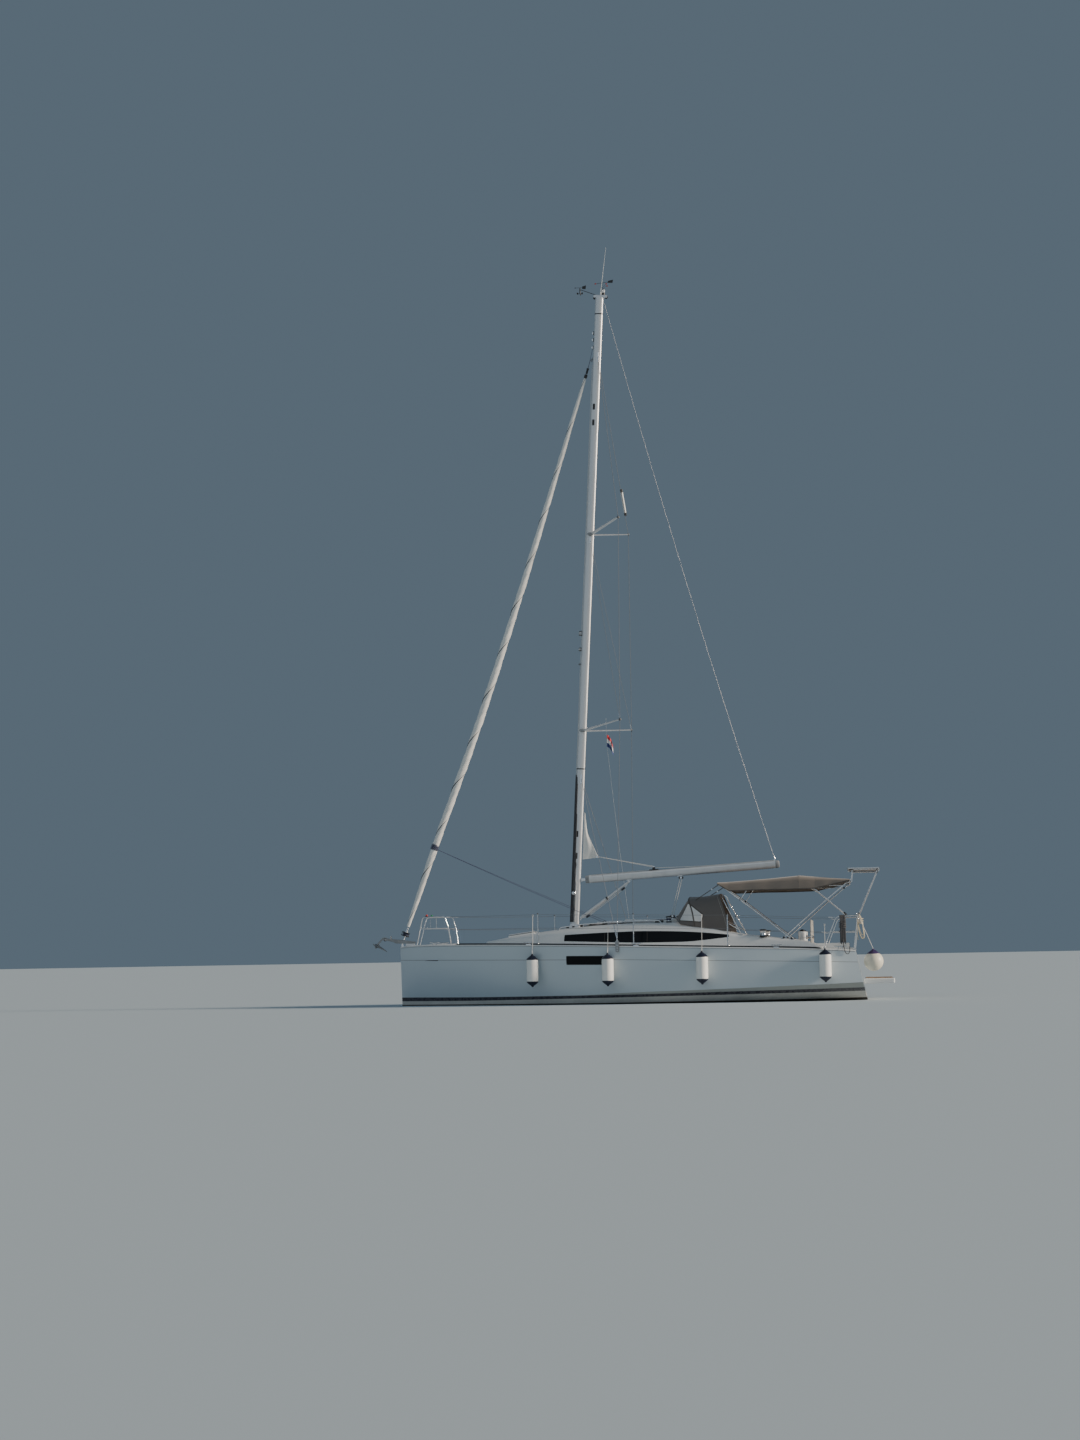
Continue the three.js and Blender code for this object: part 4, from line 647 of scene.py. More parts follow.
# ------------------------------------------------------------------ hull lines
SKIN, DECK_T, RAIL_H = 0.028, 0.026, 0.024
STATIONS = [  # x, lean, deck half width, sheer, chine half width, chine height, keel line, fullness, chine angle
    (4.942, 0.024, 0.016, 1.290, 0.009, 0.160, -0.025, 1.00, 0), (4.830, 0.020, 0.150, 1.302, 0.055, 0.130, -0.190, 1.30, 0),
    (4.520, 0.010, 0.395, 1.314, 0.175, 0.115, -0.285, 1.45, 0), (4.050, 0.0, 0.680, 1.316, 0.385, 0.110, -0.335, 1.45, 0),
    (3.400, 0.0, 0.975, 1.309, 0.650, 0.120, -0.378, 1.35, 0), (2.600, 0.0, 1.255, 1.296, 0.970, 0.140, -0.410, 1.25, 0),
    (1.700, 0.0, 1.475, 1.276, 1.250, 0.165, -0.430, 1.15, 2), (0.700, 0.0, 1.635, 1.249, 1.470, 0.200, -0.435, 1.05, 5),
    (-0.350, 0.0, 1.705, 1.217, 1.600, 0.244, -0.420, 1.0, 12), (-1.400, 0.0, 1.720, 1.185, 1.655, 0.268, -0.385, 1.0, 18),
    (-2.400, 0.0, 1.700, 1.156, 1.658, 0.294, -0.325, 1.0, 22), (-3.400, 0.03, 1.650, 1.128, 1.620, 0.326, -0.240, 1.0, 25),
    (-4.300, 0.12, 1.578, 1.093, 1.556, 0.352, -0.140, 1.0, 27), (-5.007, 0.2175, 1.500, 1.055, 1.482, 0.378, -0.045, 1.0, 28),
]
_lines = [pchip([r[0] for r in STATIONS], [r[k] for r in STATIONS]) for k in range(1, 9)]


class Section:
    def __init__(self, x0):
        self.x0 = x0
        self.lean, self.ys, self.zs, self.yc, self.zc, self.zk, self.p, t0 = [f(x0) for f in _lines]
        self.t0 = math.radians(t0)
        self.top = self.zs - RAIL_H - DECK_T

    def side(self, z, off=0.0):
        """Half width of the outside at height z."""
        ys, yc, zk = max(self.ys - off, 0.004), max(self.yc - off, 0.003), self.zk + off
        if z >= self.zc:
            u = (self.top - z) / (self.top - self.zc)
            return lerp(ys, yc, u) + 4 * u * (1 - u) * 0.012 * min(1, self.ys / 0.35) if 0 <= u <= 1 else lerp(ys, yc, u)
        s = math.sin(self.t0) + (1 - math.sin(self.t0)) * min((self.zc - z) / (self.zc - zk), 1)
        t = math.asin(min(s, 1))
        return yc * max(math.cos(t), 0) ** self.p / math.cos(self.t0) ** self.p

    def below(self, t, off=0.0):
        zk, yc = self.zk + off, max(self.yc - off, 0.003)
        return (yc * max(math.cos(t), 0) ** self.p / math.cos(self.t0) ** self.p,
                lerp(self.zc, zk, (math.sin(t) - math.sin(self.t0)) / (1 - math.sin(self.t0))))

    def turn(self, z, off=0.0):
        zk = self.zk + off
        s = math.sin(self.t0) + (1 - math.sin(self.t0)) * min(max((self.zc - z) / (self.zc - zk), 0), 1)
        return max(math.asin(min(s, 1)), self.t0)

    def X(self, z):
        return self.x0 + self.lean * z


def line_at(table):
    xs, zs = [t[0] for t in table], [t[1] for t in table]
    return lambda x: float(np.interp(x, xs[::-1], zs[::-1]))


PIN_TOP = line_at([(4.95, 0.986), (4.44, 0.978), (0.0, 0.922), (-4.62, 0.804), (-5.1, 0.79)])
BOOT_TOP = line_at([(4.95, 0.178), (3.3, 0.172), (0.0, 0.194), (-4.86, 0.267), (-5.1, 0.272)])
BOOT_LOW = line_at([(4.95, 0.098), (3.3, 0.100), (0.0, 0.140), (-4.86, 0.196), (-5.1, 0.200)])
BAND_LOW = line_at([(4.95, 0.022), (0.0, 0.030), (-4.0, 0.050), (-5.1, 0.060)])


def hull_rows(s, off=0.0, fine=True):
    """Half section (y, z, material of the face below it) from the deck edge to the keel line."""
    x = s.x0
    pin, boot, low, band = PIN_TOP(x), BOOT_TOP(x), BOOT_LOW(x), BAND_LOW(x)
    chine = max(s.zc, boot + 0.004)
    zs = [(s.top, 0), (lerp(s.top, pin, 0.06), 0), (lerp(s.top, pin, 0.5), 0), (pin, 3), (pin - 0.011, 0)]
    for k in range(1, 8):
        zs.append((lerp(pin - 0.011, chine + 0.008, k / 8), 0))
    # material 7 between the chine and the boot stripe is the painted shade of that down-facing strip
    zs += [(chine + 0.008, 0), (chine, 7), (boot, 1), (low, 2), (lerp(low, band, 0.5), 2), (band, 5), (band - 0.035, 4)]
    rows = [(s.side(z, off), z, m) for z, m in zs]
    t1 = s.turn(band - 0.035, off)
    for k in range(1, 13):
        y, z = s.below(lerp(t1, math.pi / 2, k / 12), off)
        rows.append((0.0 if k == 12 else max(y, 0.0015), z, 4))
    return rows


def hull_body(off=0.0, top=None):
    xs = [4.942, 4.92, 4.89, 4.86] + [float(v) for v in np.linspace(4.82, -5.007, 96)]
    if off > 0:
        xs = [v for v in xs if v < 4.942 - off * 2.2 and v > -5.007 + off * 1.5]
        xs = [4.942 - off * 2.2] + xs + [-5.007 + off * 1.03]
    rings, mats = [], []
    for x in xs:
        s = Section(x)
        rows = hull_rows(s, off)
        if top is not None:
            rows[0] = (rows[0][0], top, 0)
        half = [Vector((s.X(z), y, z)) for y, z, m in rows]
        rings.append(half + [Vector((q.x, -q.y, q.z)) for q in half[-2::-1]])
        mats.append([m for y, z, m in rows])
    if off == 0:
        first = rings[0]
        for dx, w in ((0.005, 0.86), (0.009, 0.55), (0.0105, 0.12)):
            rings.insert(0, [Vector((q.x + dx, q.y * w, q.z)) for q in first])
            mats.insert(0, mats[0])
    v, f = loft(rings)
    n, half_n = len(rings[0]), (len(rings[0]) + 1) // 2
    fm = []
    for i in range(len(rings) - 1):
        for j in range(n):
            if j < half_n - 1:
                fm.append(mats[i][j])
            elif j < n - 1:
                fm.append(mats[i][n - 2 - j])
            else:
                fm.append(0)
    fm += [0, 0]
    if off > 0:
        fm = [6] * len(f)
    return v, f, fm


# slots 0 (topsides) and 7 (under the chine) carry painted shade in their colours
HULL_MATS = [M["hullgel_painted_shade"], M["stripe"], M["stripe2"], M["pin"], M["bottom"], M["weed"], M["cabin"], M["chine"]]


def paint_transom(ob):
    """The stern cap takes the same bands as the sides."""
    me = ob.data
    bm = bmesh.new()
    bm.from_mesh(me)
    stern = lambda q: abs(q.co.x - (-5.007 + 0.2175 * q.co.z)) < 0.003
    x = -5.0
    for z in (BOOT_TOP(x), BOOT_LOW(x), BAND_LOW(x), BAND_LOW(x) - 0.035):
        faces = [q for q in bm.faces if all(stern(w) for w in q.verts)]
        geom = set(faces)
        for q in faces:
            geom.update(q.edges)
            geom.update(q.verts)
        bmesh.ops.bisect_plane(bm, geom=list(geom), dist=1e-5, plane_co=(0, 0, z), plane_no=(0, 0, 1))
    for q in bm.faces:
        if all(stern(w) for w in q.verts):
            z = q.calc_center_median().z
            q.material_index = 0 if z > BOOT_TOP(x) else 1 if z > BOOT_LOW(x) else 2 if z > BAND_LOW(x) else 5 if z > BAND_LOW(x) - 0.035 else 4
    bm.to_mesh(me)
    bm.free()


def raw(build, mats, name="tool"):
    """A plain object that isn't part of the yacht yet, for joining and cutting."""
    return build.obj(name, mats, weighted=False, stay=True, angle=180)


def finish_ob(ob, name, body=ROOT, replaces=(), angle=35, weighted=True):
    ob.name = name
    ob.data.name = name
    ob.data.set_sharp_from_angle(angle=math.radians(angle))
    if weighted:
        w = ob.modifiers.new("normals", "WEIGHTED_NORMAL")
        w.keep_sharp = True
    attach(ob, body)
    if replaces:
        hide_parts(*([replaces] if isinstance(replaces, str) else replaces))
    return ob


WELL, SEAT_Z, SOLE_Z, FOOTWELL, FOOTWELL_AFT, HELM_SEAT_X, STERN_X, RECESS_Z = 1.010, 1.000, 0.600, 0.400, -3.350, -4.300, -4.680, 0.300

v, f, fm = hull_body()
hull = raw(Build().add(v, f, fm), HULL_MATS, "hull_work")
v, f, fm = hull_body(SKIN, 1.6)
inner = raw(Build().add(v, f, fm), HULL_MATS, "inner")
cut(hull, inner)
cut(hull, raw(Build().box((-5.3, -WELL, RECESS_Z - 0.001), (STERN_X, WELL, 2.5)), HULL_MATS))
paint_transom(hull)
finish_ob(hull, "hull_shell", ROOT, "hull", angle=24)


def hull_y(x, z):
    s = Section(x)
    return s.side(z)


# ------------------------------------------------------------------ deck and coachroof lines
def deck_z(s):
    return s.zs - RAIL_H


def deck_top(x, y):
    s = Section(x)
    u = abs(y) / max(s.ys, 0.02)
    return deck_z(s) + 0.028 * s.ys * (1 - math.sqrt(u * u + 0.006) + 0.003)


HOUSE = [  # x, base half width, half width and height at the top of the side, shoulder half width, crown
    (3.060, 0.170, 0.150, 1.326, 0.110, 1.350), (2.930, 0.300, 0.262, 1.338, 0.200, 1.372), (2.600, 0.500, 0.455, 1.372, 0.345, 1.430),
    (2.000, 0.745, 0.680, 1.432, 0.530, 1.512), (1.370, 0.935, 0.850, 1.488, 0.660, 1.592), (0.700, 1.060, 0.952, 1.540, 0.745, 1.668),
    (-0.300, 1.150, 1.030, 1.572, 0.820, 1.704), (-1.350, 1.205, 1.095, 1.545, 0.870, 1.690), (-1.700, 1.225, 1.118, 1.520, 0.900, 1.640),
    (-2.390, 1.262, 1.165, 1.408, 1.110, 1.424), (-3.100, 1.300, 1.215, 1.322, 1.160, 1.334), (-3.760, 1.325, 1.250, 1.236, 1.200, 1.250),
    (-4.100, 1.335, 1.270, 1.118, 1.230, 1.128),
]
_house = [pchip([r[0] for r in HOUSE], [r[k] for r in HOUSE]) for k in range(1, 6)]


def house_at(x):
    return dict(zip(("yb", "ys", "zs", "yh", "zt"), [f(x) for f in _house]))


def house_half(x, off=0.0, base=None):
    """Half section of the coachroof and coaming from its foot to the crown."""
    h = house_at(x)
    w = lambda y: max(y - off, 0.012)
    zb = min(deck_top(x, h["yb"]), h["zs"] - 0.030)
    A = (w(h["ys"]), h["zs"] - off * 0.5)
    B = (w(h["yh"]), lerp(h["zs"], h["zt"], 0.72) - off)
    C = (0.0, h["zt"] - off)
    roof = pchip([-B[0], 0, B[0], A[0]], [B[1], C[1] + 1e-5, B[1], A[1]])
    r = min(0.075, 0.35 * (A[1] - zb), 0.35 * A[0])
    top = [(lerp(A[0] - r * 0.9, 0, k / 9), 0) for k in range(10)]
    top = [(y, roof(y)) for y, _ in top]
    foot = (w(h["yb"]), zb)
    d = Vector((foot[0] - A[0], foot[1] - A[1])).normalized()
    side_end = (A[0] + d.x * r, A[1] + d.y * r)
    arc = []
    for k in range(0, 6):
        t = k / 6
        arc.append((side_end[0] * (1 - t) ** 2 + A[0] * 2 * t * (1 - t) + top[0][0] * t * t, side_end[1] * (1 - t) ** 2 + A[1] * 2 * t * (1 - t) + top[0][1] * t * t))
    pts = [(foot[0], base if base is not None else zb - 0.020), foot] + arc + top
    pts[-1] = (0.0, pts[-1][1])
    return pts


def house_ring(x, off=0.0, base=None):
    half = house_half(x, off, base)
    return [Vector((x, y, z)) for y, z in half] + [Vector((x, -y, z)) for y, z in half[-2::-1]]


def house_side(x, z):
    """Half width of the coachroof side at height z."""
    h = house_at(x)
    zb = min(deck_top(x, h["yb"]), h["zs"] - 0.030)
    return lerp(h["yb"], h["ys"], (z - zb) / (h["zs"] - zb))


def roof_z(x, y):
    half = [q for q in house_half(x)[2:]]
    ys, zs = [q[0] for q in half][::-1], [q[1] for q in half][::-1]
    return float(np.interp(abs(y), ys, zs))


def roof_tilt(x):
    return math.atan((house_at(x + 0.2)["zt"] - house_at(x - 0.2)["zt"]) / 0.4)


DECK_MATS = [M["deck"], M["nonslip"], M["cabin"], M["gel"], M["teak_x"]]


def tilted(build, size, centre, pitch, bevel=0.0, mat=0):
    q = Quaternion((0, 1, 0), -pitch)
    h = Vector(size) / 2
    return build.box(-h, h, bevel, mat, q, centre)


def deck_plate():
    rings = []
    for x0 in [4.951, 4.942, 4.92, 4.89] + [float(v) for v in np.linspace(4.85, -5.007, 84)]:
        s = Section(min(x0, 4.942))
        w = 0.45 if x0 > 4.945 else 1.0
        t = deck_z(s)
        b = t - DECK_T
        ys = s.ys * w
        top = [(ys, b), (ys, t - 0.005), (ys - min(0.004, ys * 0.3), t)]
        for k in range(1, 9):
            y = ys * (1 - k / 8) * 0.985
            top.append((y, t + 0.028 * s.ys * (1 - math.sqrt((y / s.ys) ** 2 + 0.006) + 0.003)))
        dx = x0 - s.x0
        half = [Vector((s.X(z) + dx, y, z)) for y, z in top]
        low = [Vector((s.X(b) + dx, 0, b + 0.020 * s.ys))]
        rings.append(half + [Vector((q.x, -q.y, q.z)) for q in half[-2::-1]] + low)
    return loft(rings)


HATCHES = {"fore": (2.290, 0.250, 0.250), "saloon": (0.410, 0.230, 0.230)}

v, f = deck_plate()
deck = raw(Build().add(v, f), DECK_MATS, "deck_work")
xs = [3.085, 3.06, 3.02] + [float(q) for q in np.linspace(2.97, -4.1, 74)]
rings = []
for x in xs:
    if x > 3.061:
        ring = house_ring(3.06)
        c = Vector((3.06, 0, 1.30))
        rings.append([Vector((x, q.y * 0.72, c.z + (q.z - c.z) * 0.55)) for q in ring])
    else:
        rings.append(house_ring(x))
cut(deck, raw(Build().add(*loft(rings)), DECK_MATS), "UNION")
for name, (hx, hl, hw) in HATCHES.items():
    t, z = roof_tilt(hx), house_at(hx)["zt"]
    cut(deck, raw(tilted(Build(), (2 * hl + 0.06, 2 * hw + 0.06, 0.13), (hx, 0, z - 0.047), t, 0.010), DECK_MATS), "UNION")
# garage over the sliding hatch, with a crowned top, and its runners
g = Build()
garage = []
for x, dz in ((0.060, -0.045), (0.052, -0.012), (0.030, 0.0), (-0.985, 0.0), (-1.0, -0.004)):
    half = [(0.420, 1.60), (0.420, 1.740 + dz * 0.6), (0.412, 1.752 + dz), (0.395, 1.758 + dz), (0.20, 1.7645 + dz), (0.0, 1.766 + dz)]
    garage.append([Vector((x, y, zz)) for y, zz in half] + [Vector((x, -y, zz)) for y, zz in half[-2::-1]])
cut(deck, raw(g.add(*loft(garage)), DECK_MATS), "UNION")
cut(deck, raw(Build().box((-1.05, -0.382, 1.45), (0.040, 0.382, 1.752), 0.012), DECK_MATS))
for s in (1, -1):
    cut(deck, raw(Build().box((-1.478, s * 0.382, 1.60), (-0.995, s * 0.400, 1.742), 0.003), DECK_MATS), "UNION")
# the tub under the cockpit, inside the hull shell
tub = raw(Build().box((-1.480, -1.040, 0.570), (-4.650, 1.040, 1.185)), DECK_MATS)
cut(tub, raw(Build().box((-1.448, -1.036, 0.572), (-1.620, 1.036, 1.240)), DECK_MATS), "UNION")
cut(tub, raw(Build().box((-4.650, -1.040, 0.270), (-4.965, 1.040, 1.082)), DECK_MATS), "UNION")
cut(tub, raw(Build().box((-4.680, -1.040, 0.270), (-4.645, 1.040, 0.605)), DECK_MATS), "UNION")
v, f, fm = hull_body(SKIN + 0.0004, 1.6)
inside = raw(Build().add(v, f, [0] * len(f)), DECK_MATS, "inside")
cut(tub, inside, "INTERSECT")
void = [house_ring(x, 0.035, 1.0) for x in [2.86, 2.6, 2.3, 2.0, 1.7, 1.37, 1.0, 0.7, 0.2, -0.3, -0.8, -1.35, -1.45]]
v2, f2 = loft(void)
cabin_void = raw(Build().add(v2, f2, 2), DECK_MATS, "void")
cut(deck, cabin_void)
cut(deck, tub, "UNION")
wells = [
    ((-1.480, -WELL, SEAT_Z), (-5.35, WELL, 2.5), 0.030), ((-1.480, -FOOTWELL, SOLE_Z), (-3.40, FOOTWELL, 2.5), 0.030),
    ((FOOTWELL_AFT, -WELL, SOLE_Z), (HELM_SEAT_X, WELL, 2.5), 0.030), ((-4.28, -0.380, SOLE_Z), (-5.35, 0.380, 2.5), 0.020),
    ((STERN_X, -WELL, RECESS_Z), (-5.35, WELL, 2.5), 0.0),
]
for lo, hi, bev in wells:
    cut(deck, raw(Build().box(lo, hi, bev, segs=3), DECK_MATS))
for s in (1, -1):
    cut(deck, raw(Build().box((-1.51, s * 0.430, 0.40), (-3.320, s * WELL, 0.970)), DECK_MATS))
    cut(deck, raw(Build().box((-4.330, s * 0.410, 0.40), (-4.650, s * WELL, 0.970)), DECK_MATS))
    cut(deck, raw(Build().box((-1.750, s * 0.560, 0.90), (-3.050, s * 0.950, 1.10)), DECK_MATS))
cut(deck, raw(Build().box((-1.60, -0.330, 1.50), (-0.720, 0.330, 1.745), 0.003), DECK_MATS))
cut(deck, raw(Build().box((-1.60, -0.330, 1.040), (-1.40, 0.330, 1.80), 0.02), DECK_MATS))
for name, (hx, hl, hw) in HATCHES.items():
    t, z = roof_tilt(hx), house_at(hx)["zt"]
    cut(deck, raw(tilted(Build(), (2 * hl, 2 * hw, 0.42), (hx, 0, z - 0.047), t, 0.012), DECK_MATS))
WINDOW = [(1.275, 1.332), (1.262, 1.432), (0.500, 1.478), (-0.305, 1.502), (-1.250, 1.462), (-1.300, 1.440), (-1.300, 1.276), (-0.305, 1.266)]
for s in (1, -1):
    inset = [(x + (-0.015 if x > 0 else 0.015), z + (-0.012 if z > 1.4 else 0.012)) for x, z in WINDOW]
    cut(deck, raw(Build().plate(inset, s * 0.80, s * 1.40, "y"), DECK_MATS))
cut(deck, raw(Build().box((3.720, -0.250, 1.00), (4.380, 0.250, 1.60), 0.01), DECK_MATS))
tray = raw(Build().box((3.695, -0.275, 0.900), (4.405, 0.275, 1.290)), DECK_MATS)
cut(tray, raw(Build().box((3.720, -0.250, 0.925), (4.380, 0.250, 1.60), 0.02), DECK_MATS))
v, f, fm = hull_body(SKIN + 0.0004, 1.6)
cut(tray, raw(Build().add(v, f, [0] * len(f)), DECK_MATS), "INTERSECT")
cut(deck, tray, "UNION")
finish_ob(deck, "deck_mould", ROOT, ("foredeck", "coachroof_port", "coachroof_starboard", "cockpit_port", "cockpit_starboard"), angle=28)


# ------------------------------------------------------------------ draped patches
def drape(outline, lay, step=0.12, plane="xy"):
    """A polygon cut into a fine grid, each point laid on a surface by lay(a, b). Returns vertices and faces."""
    bm = bmesh.new()
    vs = [bm.verts.new((a, b, 0)) for a, b in outline]
    bm.faces.new(vs)
    lo = [min(q[k] for q in outline) for k in (0, 1)]
    hi = [max(q[k] for q in outline) for k in (0, 1)]
    for k in (0, 1):
        n = max(1, int(math.ceil((hi[k] - lo[k]) / step)))
        for i in range(1, n):
            c = lerp(lo[k], hi[k], i / n)
            co = (c, 0, 0) if k == 0 else (0, c, 0)
            no = (1, 0, 0) if k == 0 else (0, 1, 0)
            bmesh.ops.bisect_plane(bm, geom=list(bm.faces) + list(bm.edges) + list(bm.verts), dist=1e-6, plane_co=co, plane_no=no)
    bm.verts.index_update()
    v = [Vector(lay(q.co.x, q.co.y)) for q in bm.verts]
    f = [[w.index for w in q.verts] for q in bm.faces]
    bm.free()
    return v, f


def skin(build, outline, lay, thick, step=0.12, mat=0, normal=None):
    """A thin closed pad on a surface: its top stands thick above it and its rim goes down to it."""
    v, f = drape(outline, lay, step)
    n = Vector(normal) if normal is not None else Vector((0, 0, 1))
    top = [q + n * thick for q in v]
    low = [q - n * 0.004 for q in v]
    edges = {}
    for q in f:
        for a, b in zip(q, q[1:] + q[:1]):
            edges[(a, b)] = edges.get((a, b), 0) + 1
    N = len(v)
    faces = list(f)
    for (a, b) in edges:
        if (b, a) not in edges:
            faces.append([b, a, a + N, b + N])
    return build.add(top + low, faces + [[i + N for i in q[::-1]] for q in f], mat)


def rounded_poly(outline, r, n=5):
    p = [Vector((a, b, 0)) for a, b in outline]
    m = len(p)
    out = []
    for i in range(m):
        a, b, c = p[(i - 1) % m] - p[i], p[i], p[(i + 1) % m] - p[i]
        rr = r[i] if hasattr(r, "__len__") else r
        k = min(rr, a.length * 0.48, c.length * 0.48)
        if k < 1e-5:
            out.append((b.x, b.y))
            continue
        A, C = b + a.normalized() * k, b + c.normalized() * k
        for j in range(n + 1):
            t = j / n
            q = A * (1 - t) ** 2 + b * (2 * t * (1 - t)) + C * t * t
            out.append((q.x, q.y))
    return out


def along_x(x0, x1, n):
    return [lerp(x0, x1, i / (n - 1)) for i in range(n)]


# ------------------------------------------------------------------ keel, rudders, drive
def foil_ring(chord, thick, x, z, y=0.0, n=14, cant=0.0):
    pts = []
    shape = lambda c: 5 * 0.2 * (0.2969 * math.sqrt(c) - 0.126 * c - 0.3516 * c * c + 0.2843 * c**3 - 0.1036 * c**4) / 0.1 / 1.0
    half = [(1 - math.cos(math.pi * k / n)) / 2 for k in range(n + 1)]
    for c in half:
        pts.append((x - c * chord, y + shape(c) * thick / 2 * 1.0, z))
    for c in half[-2:0:-1]:
        pts.append((x - c * chord, y - shape(c) * thick / 2 * 1.0, z))
    return [Vector(q) for q in pts]


def tip_rings(chord, thick, x, z, y, dz, n=3):
    out = []
    for k in range(1, n + 1):
        a = k / n * math.pi / 2
        s = math.cos(a) * 0.92 + 0.08 if k < n else 0.30
        out.append(foil_ring(chord * (0.9 + 0.1 * s), thick * s, x - chord * 0.05 * (1 - s), z - dz * math.sin(a), y))
    return out


b = Build()
rings = []
for k in range(13):
    t = k / 12
    z = lerp(-0.360, -1.800, t)
    s = 1 - (1 - min(1, t * 4)) ** 2 * 0.0
    ch = lerp(1.180, 0.760, t) + 0.10 * max(0, 1 - t * 9) ** 2
    rings.append(foil_ring(ch, lerp(0.150, 0.110, t), lerp(0.650, 0.430, t) + 0.05 * max(0, 1 - t * 9) ** 2, z))
b.add(*loft(rings))
prof = [(0.004, -1.0), (0.030, -0.975), (0.062, -0.93), (0.100, -0.80), (0.132, -0.65), (0.152, -0.45), (0.165, -0.20), (0.166, 0.0), (0.160, 0.20), (0.140, 0.36), (0.110, 0.52), (0.076, 0.63), (0.040, 0.70), (0.004, 0.73)]
n0 = len(b.v)
b.lathe([(r, h) for r, h in prof], (0, 0, 0), (-1, 0, 0), 28)
for i in range(n0, len(b.v)):
    x, y, z = b.v[i]
    b.v[i] = (x + 0.060, y * 1.0, z * (0.94 if z < 0 else 0.90) - 1.815)
b.obj("keel_and_bulb", M["iron"], ROOT, "keel", "painted_iron", angle=30)

for name, side in (("rudder_port", 1), ("rudder_starboard", -1)):
    b = Build()
    y_at = lambda z: side * lerp(1.110, 0.830, (z + 1.290) / 1.620)
    rings = []
    spec = pchip([-1.28, -0.76, -0.08], [0.300, 0.420, 0.470])
    thk = pchip([-1.28, -0.76, -0.08], [0.040, 0.062, 0.074])
    lead = pchip([-1.28, -0.76, -0.08], [0.090, 0.120, 0.130])
    zs = along_x(-0.08, -1.255, 12)
    rings.append(foil_ring(spec(-0.08) * 0.985, thk(-0.08) * 0.6, -4.330 + lead(-0.08) - 0.004, -0.074, y_at(-0.074)))
    for z in zs:
        rings.append(foil_ring(spec(z), thk(z), -4.330 + lead(z), z, y_at(z)))
    rings += [foil_ring(spec(-1.28) * 0.97, thk(-1.28) * 0.75, -4.330 + lead(-1.28) - 0.004, -1.272, y_at(-1.272)), foil_ring(spec(-1.28) * 0.90, thk(-1.28) * 0.3, -4.330 + lead(-1.28) - 0.012, -1.2815, y_at(-1.2815))]
    b.add(*loft(rings))
    b.rod((-4.330, y_at(-0.70), -0.70), (-4.330, side * 0.830, 0.330), 0.032, 20, 1)
    b.obj(name + "_blade", [M["iron"], M["steel"]], name, name, "rudder_paint", angle=30)

b = Build()
rings = [foil_ring(lerp(0.330, 0.250, t), lerp(0.110, 0.080, t), lerp(-0.940, -0.980, t), lerp(-0.345, -0.785, t)) for t in along_x(0, 1, 8)]
b.add(*loft(rings))
b.lathe([(0.006, -0.190), (0.022, -0.178), (0.036, -0.150), (0.050, -0.07), (0.053, 0.02), (0.052, 0.10), (0.046, 0.17), (0.044, 0.190)], (-1.100, 0, -0.800), (-1, 0, 0), 24)
b.plate([(-1.00, -0.845), (-1.16, -0.845), (-1.19, -0.91), (-1.08, -0.905)], -0.012, 0.012, "y", 0, 0.006)
b.lathe([(0.050, 0), (0.052, 0.004), (0.052, 0.016), (0.048, 0.020)], (-1.256, 0, -0.80), (-1, 0, 0), 24, 1)
b.obj("drive_leg", [M["alloy"], M["galv"]], ROOT, "saildrive_leg", "anodised_alloy", angle=32)

b = Build()
b.lathe([(0.006, -0.115), (0.020, -0.108), (0.030, -0.085), (0.040, -0.04), (0.042, 0.0), (0.041, 0.004)], (-1.303, 0, -0.800), (1, 0, 0), 24)
for k in range(3):
    rings = []
    for i in range(9):
        t = i / 8
        r = lerp(0.030, 0.190, t)
        w = 0.085 + 0.075 * math.sin(math.pi * min(1, t * 0.95 + 0.12)) if t < 1 else 0.05
        w *= 1 if t < 0.8 else math.sqrt(max(0.05, 1 - ((t - 0.8) / 0.2) ** 2))
        twist = lerp(0.95, 0.42, t)
        ring = []
        for j in range(14):
            a = 2 * math.pi * j / 14
            c, th = math.cos(a) * w / 2, math.sin(a) * lerp(0.012, 0.004, t)
            ring.append(Vector((c * math.sin(twist) + th * math.cos(twist), c * math.cos(twist) - th * math.sin(twist), r)))
        rings.append(ring)
    start = len(b.v)
    b.add(*loft(rings))
    b.move(start, Matrix.Translation((-1.355, 0, -0.800)) @ Matrix.Rotation(2 * math.pi * k / 3, 4, "X"))
b.obj("propeller_blades", M["bronze"], "propeller", "propeller", "bronze", angle=40)

# engine block under the steps, and the cabin floor
b = Build()
b.box((-1.78, -0.20, -0.20), (-1.07, 0.20, 0.12), 0.03)
b.box((-1.72, -0.15, 0.10), (-1.16, 0.15, 0.34), 0.035)
b.box((-1.66, -0.11, 0.33), (-1.22, 0.07, 0.378), 0.012, 1)
b.lathe([(0.05, 0), (0.115, 0.0), (0.118, 0.02), (0.118, 0.05), (0.10, 0.055), (0.05, 0.055)], (-1.075, 0.0, 0.02), (1, 0, 0), 28, 1)
for k in range(3):
    b.lathe([(0.020, 0), (0.034, 0.002), (0.034, 0.05), (0.022, 0.058)], (-1.60 + 0.15 * k, 0.155, 0.22), (0, 1, 0), 16, 1)
for x in (-1.70, -1.16):
    for s in (1, -1):
        b.box((x - 0.04, s * 0.20 - 0.03, -0.20), (x + 0.04, s * 0.20 + 0.03, -0.12), 0.006, 1)
b.obj("engine_block", [M["enginep"], M["black"]], ROOT, "engine", "engine_paint", angle=35)
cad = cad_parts["cabin_sole"]
cad.data.materials.clear()
cad.data.materials.append(M["sole"])

# ------------------------------------------------------------------ deck details
P_ = Build()
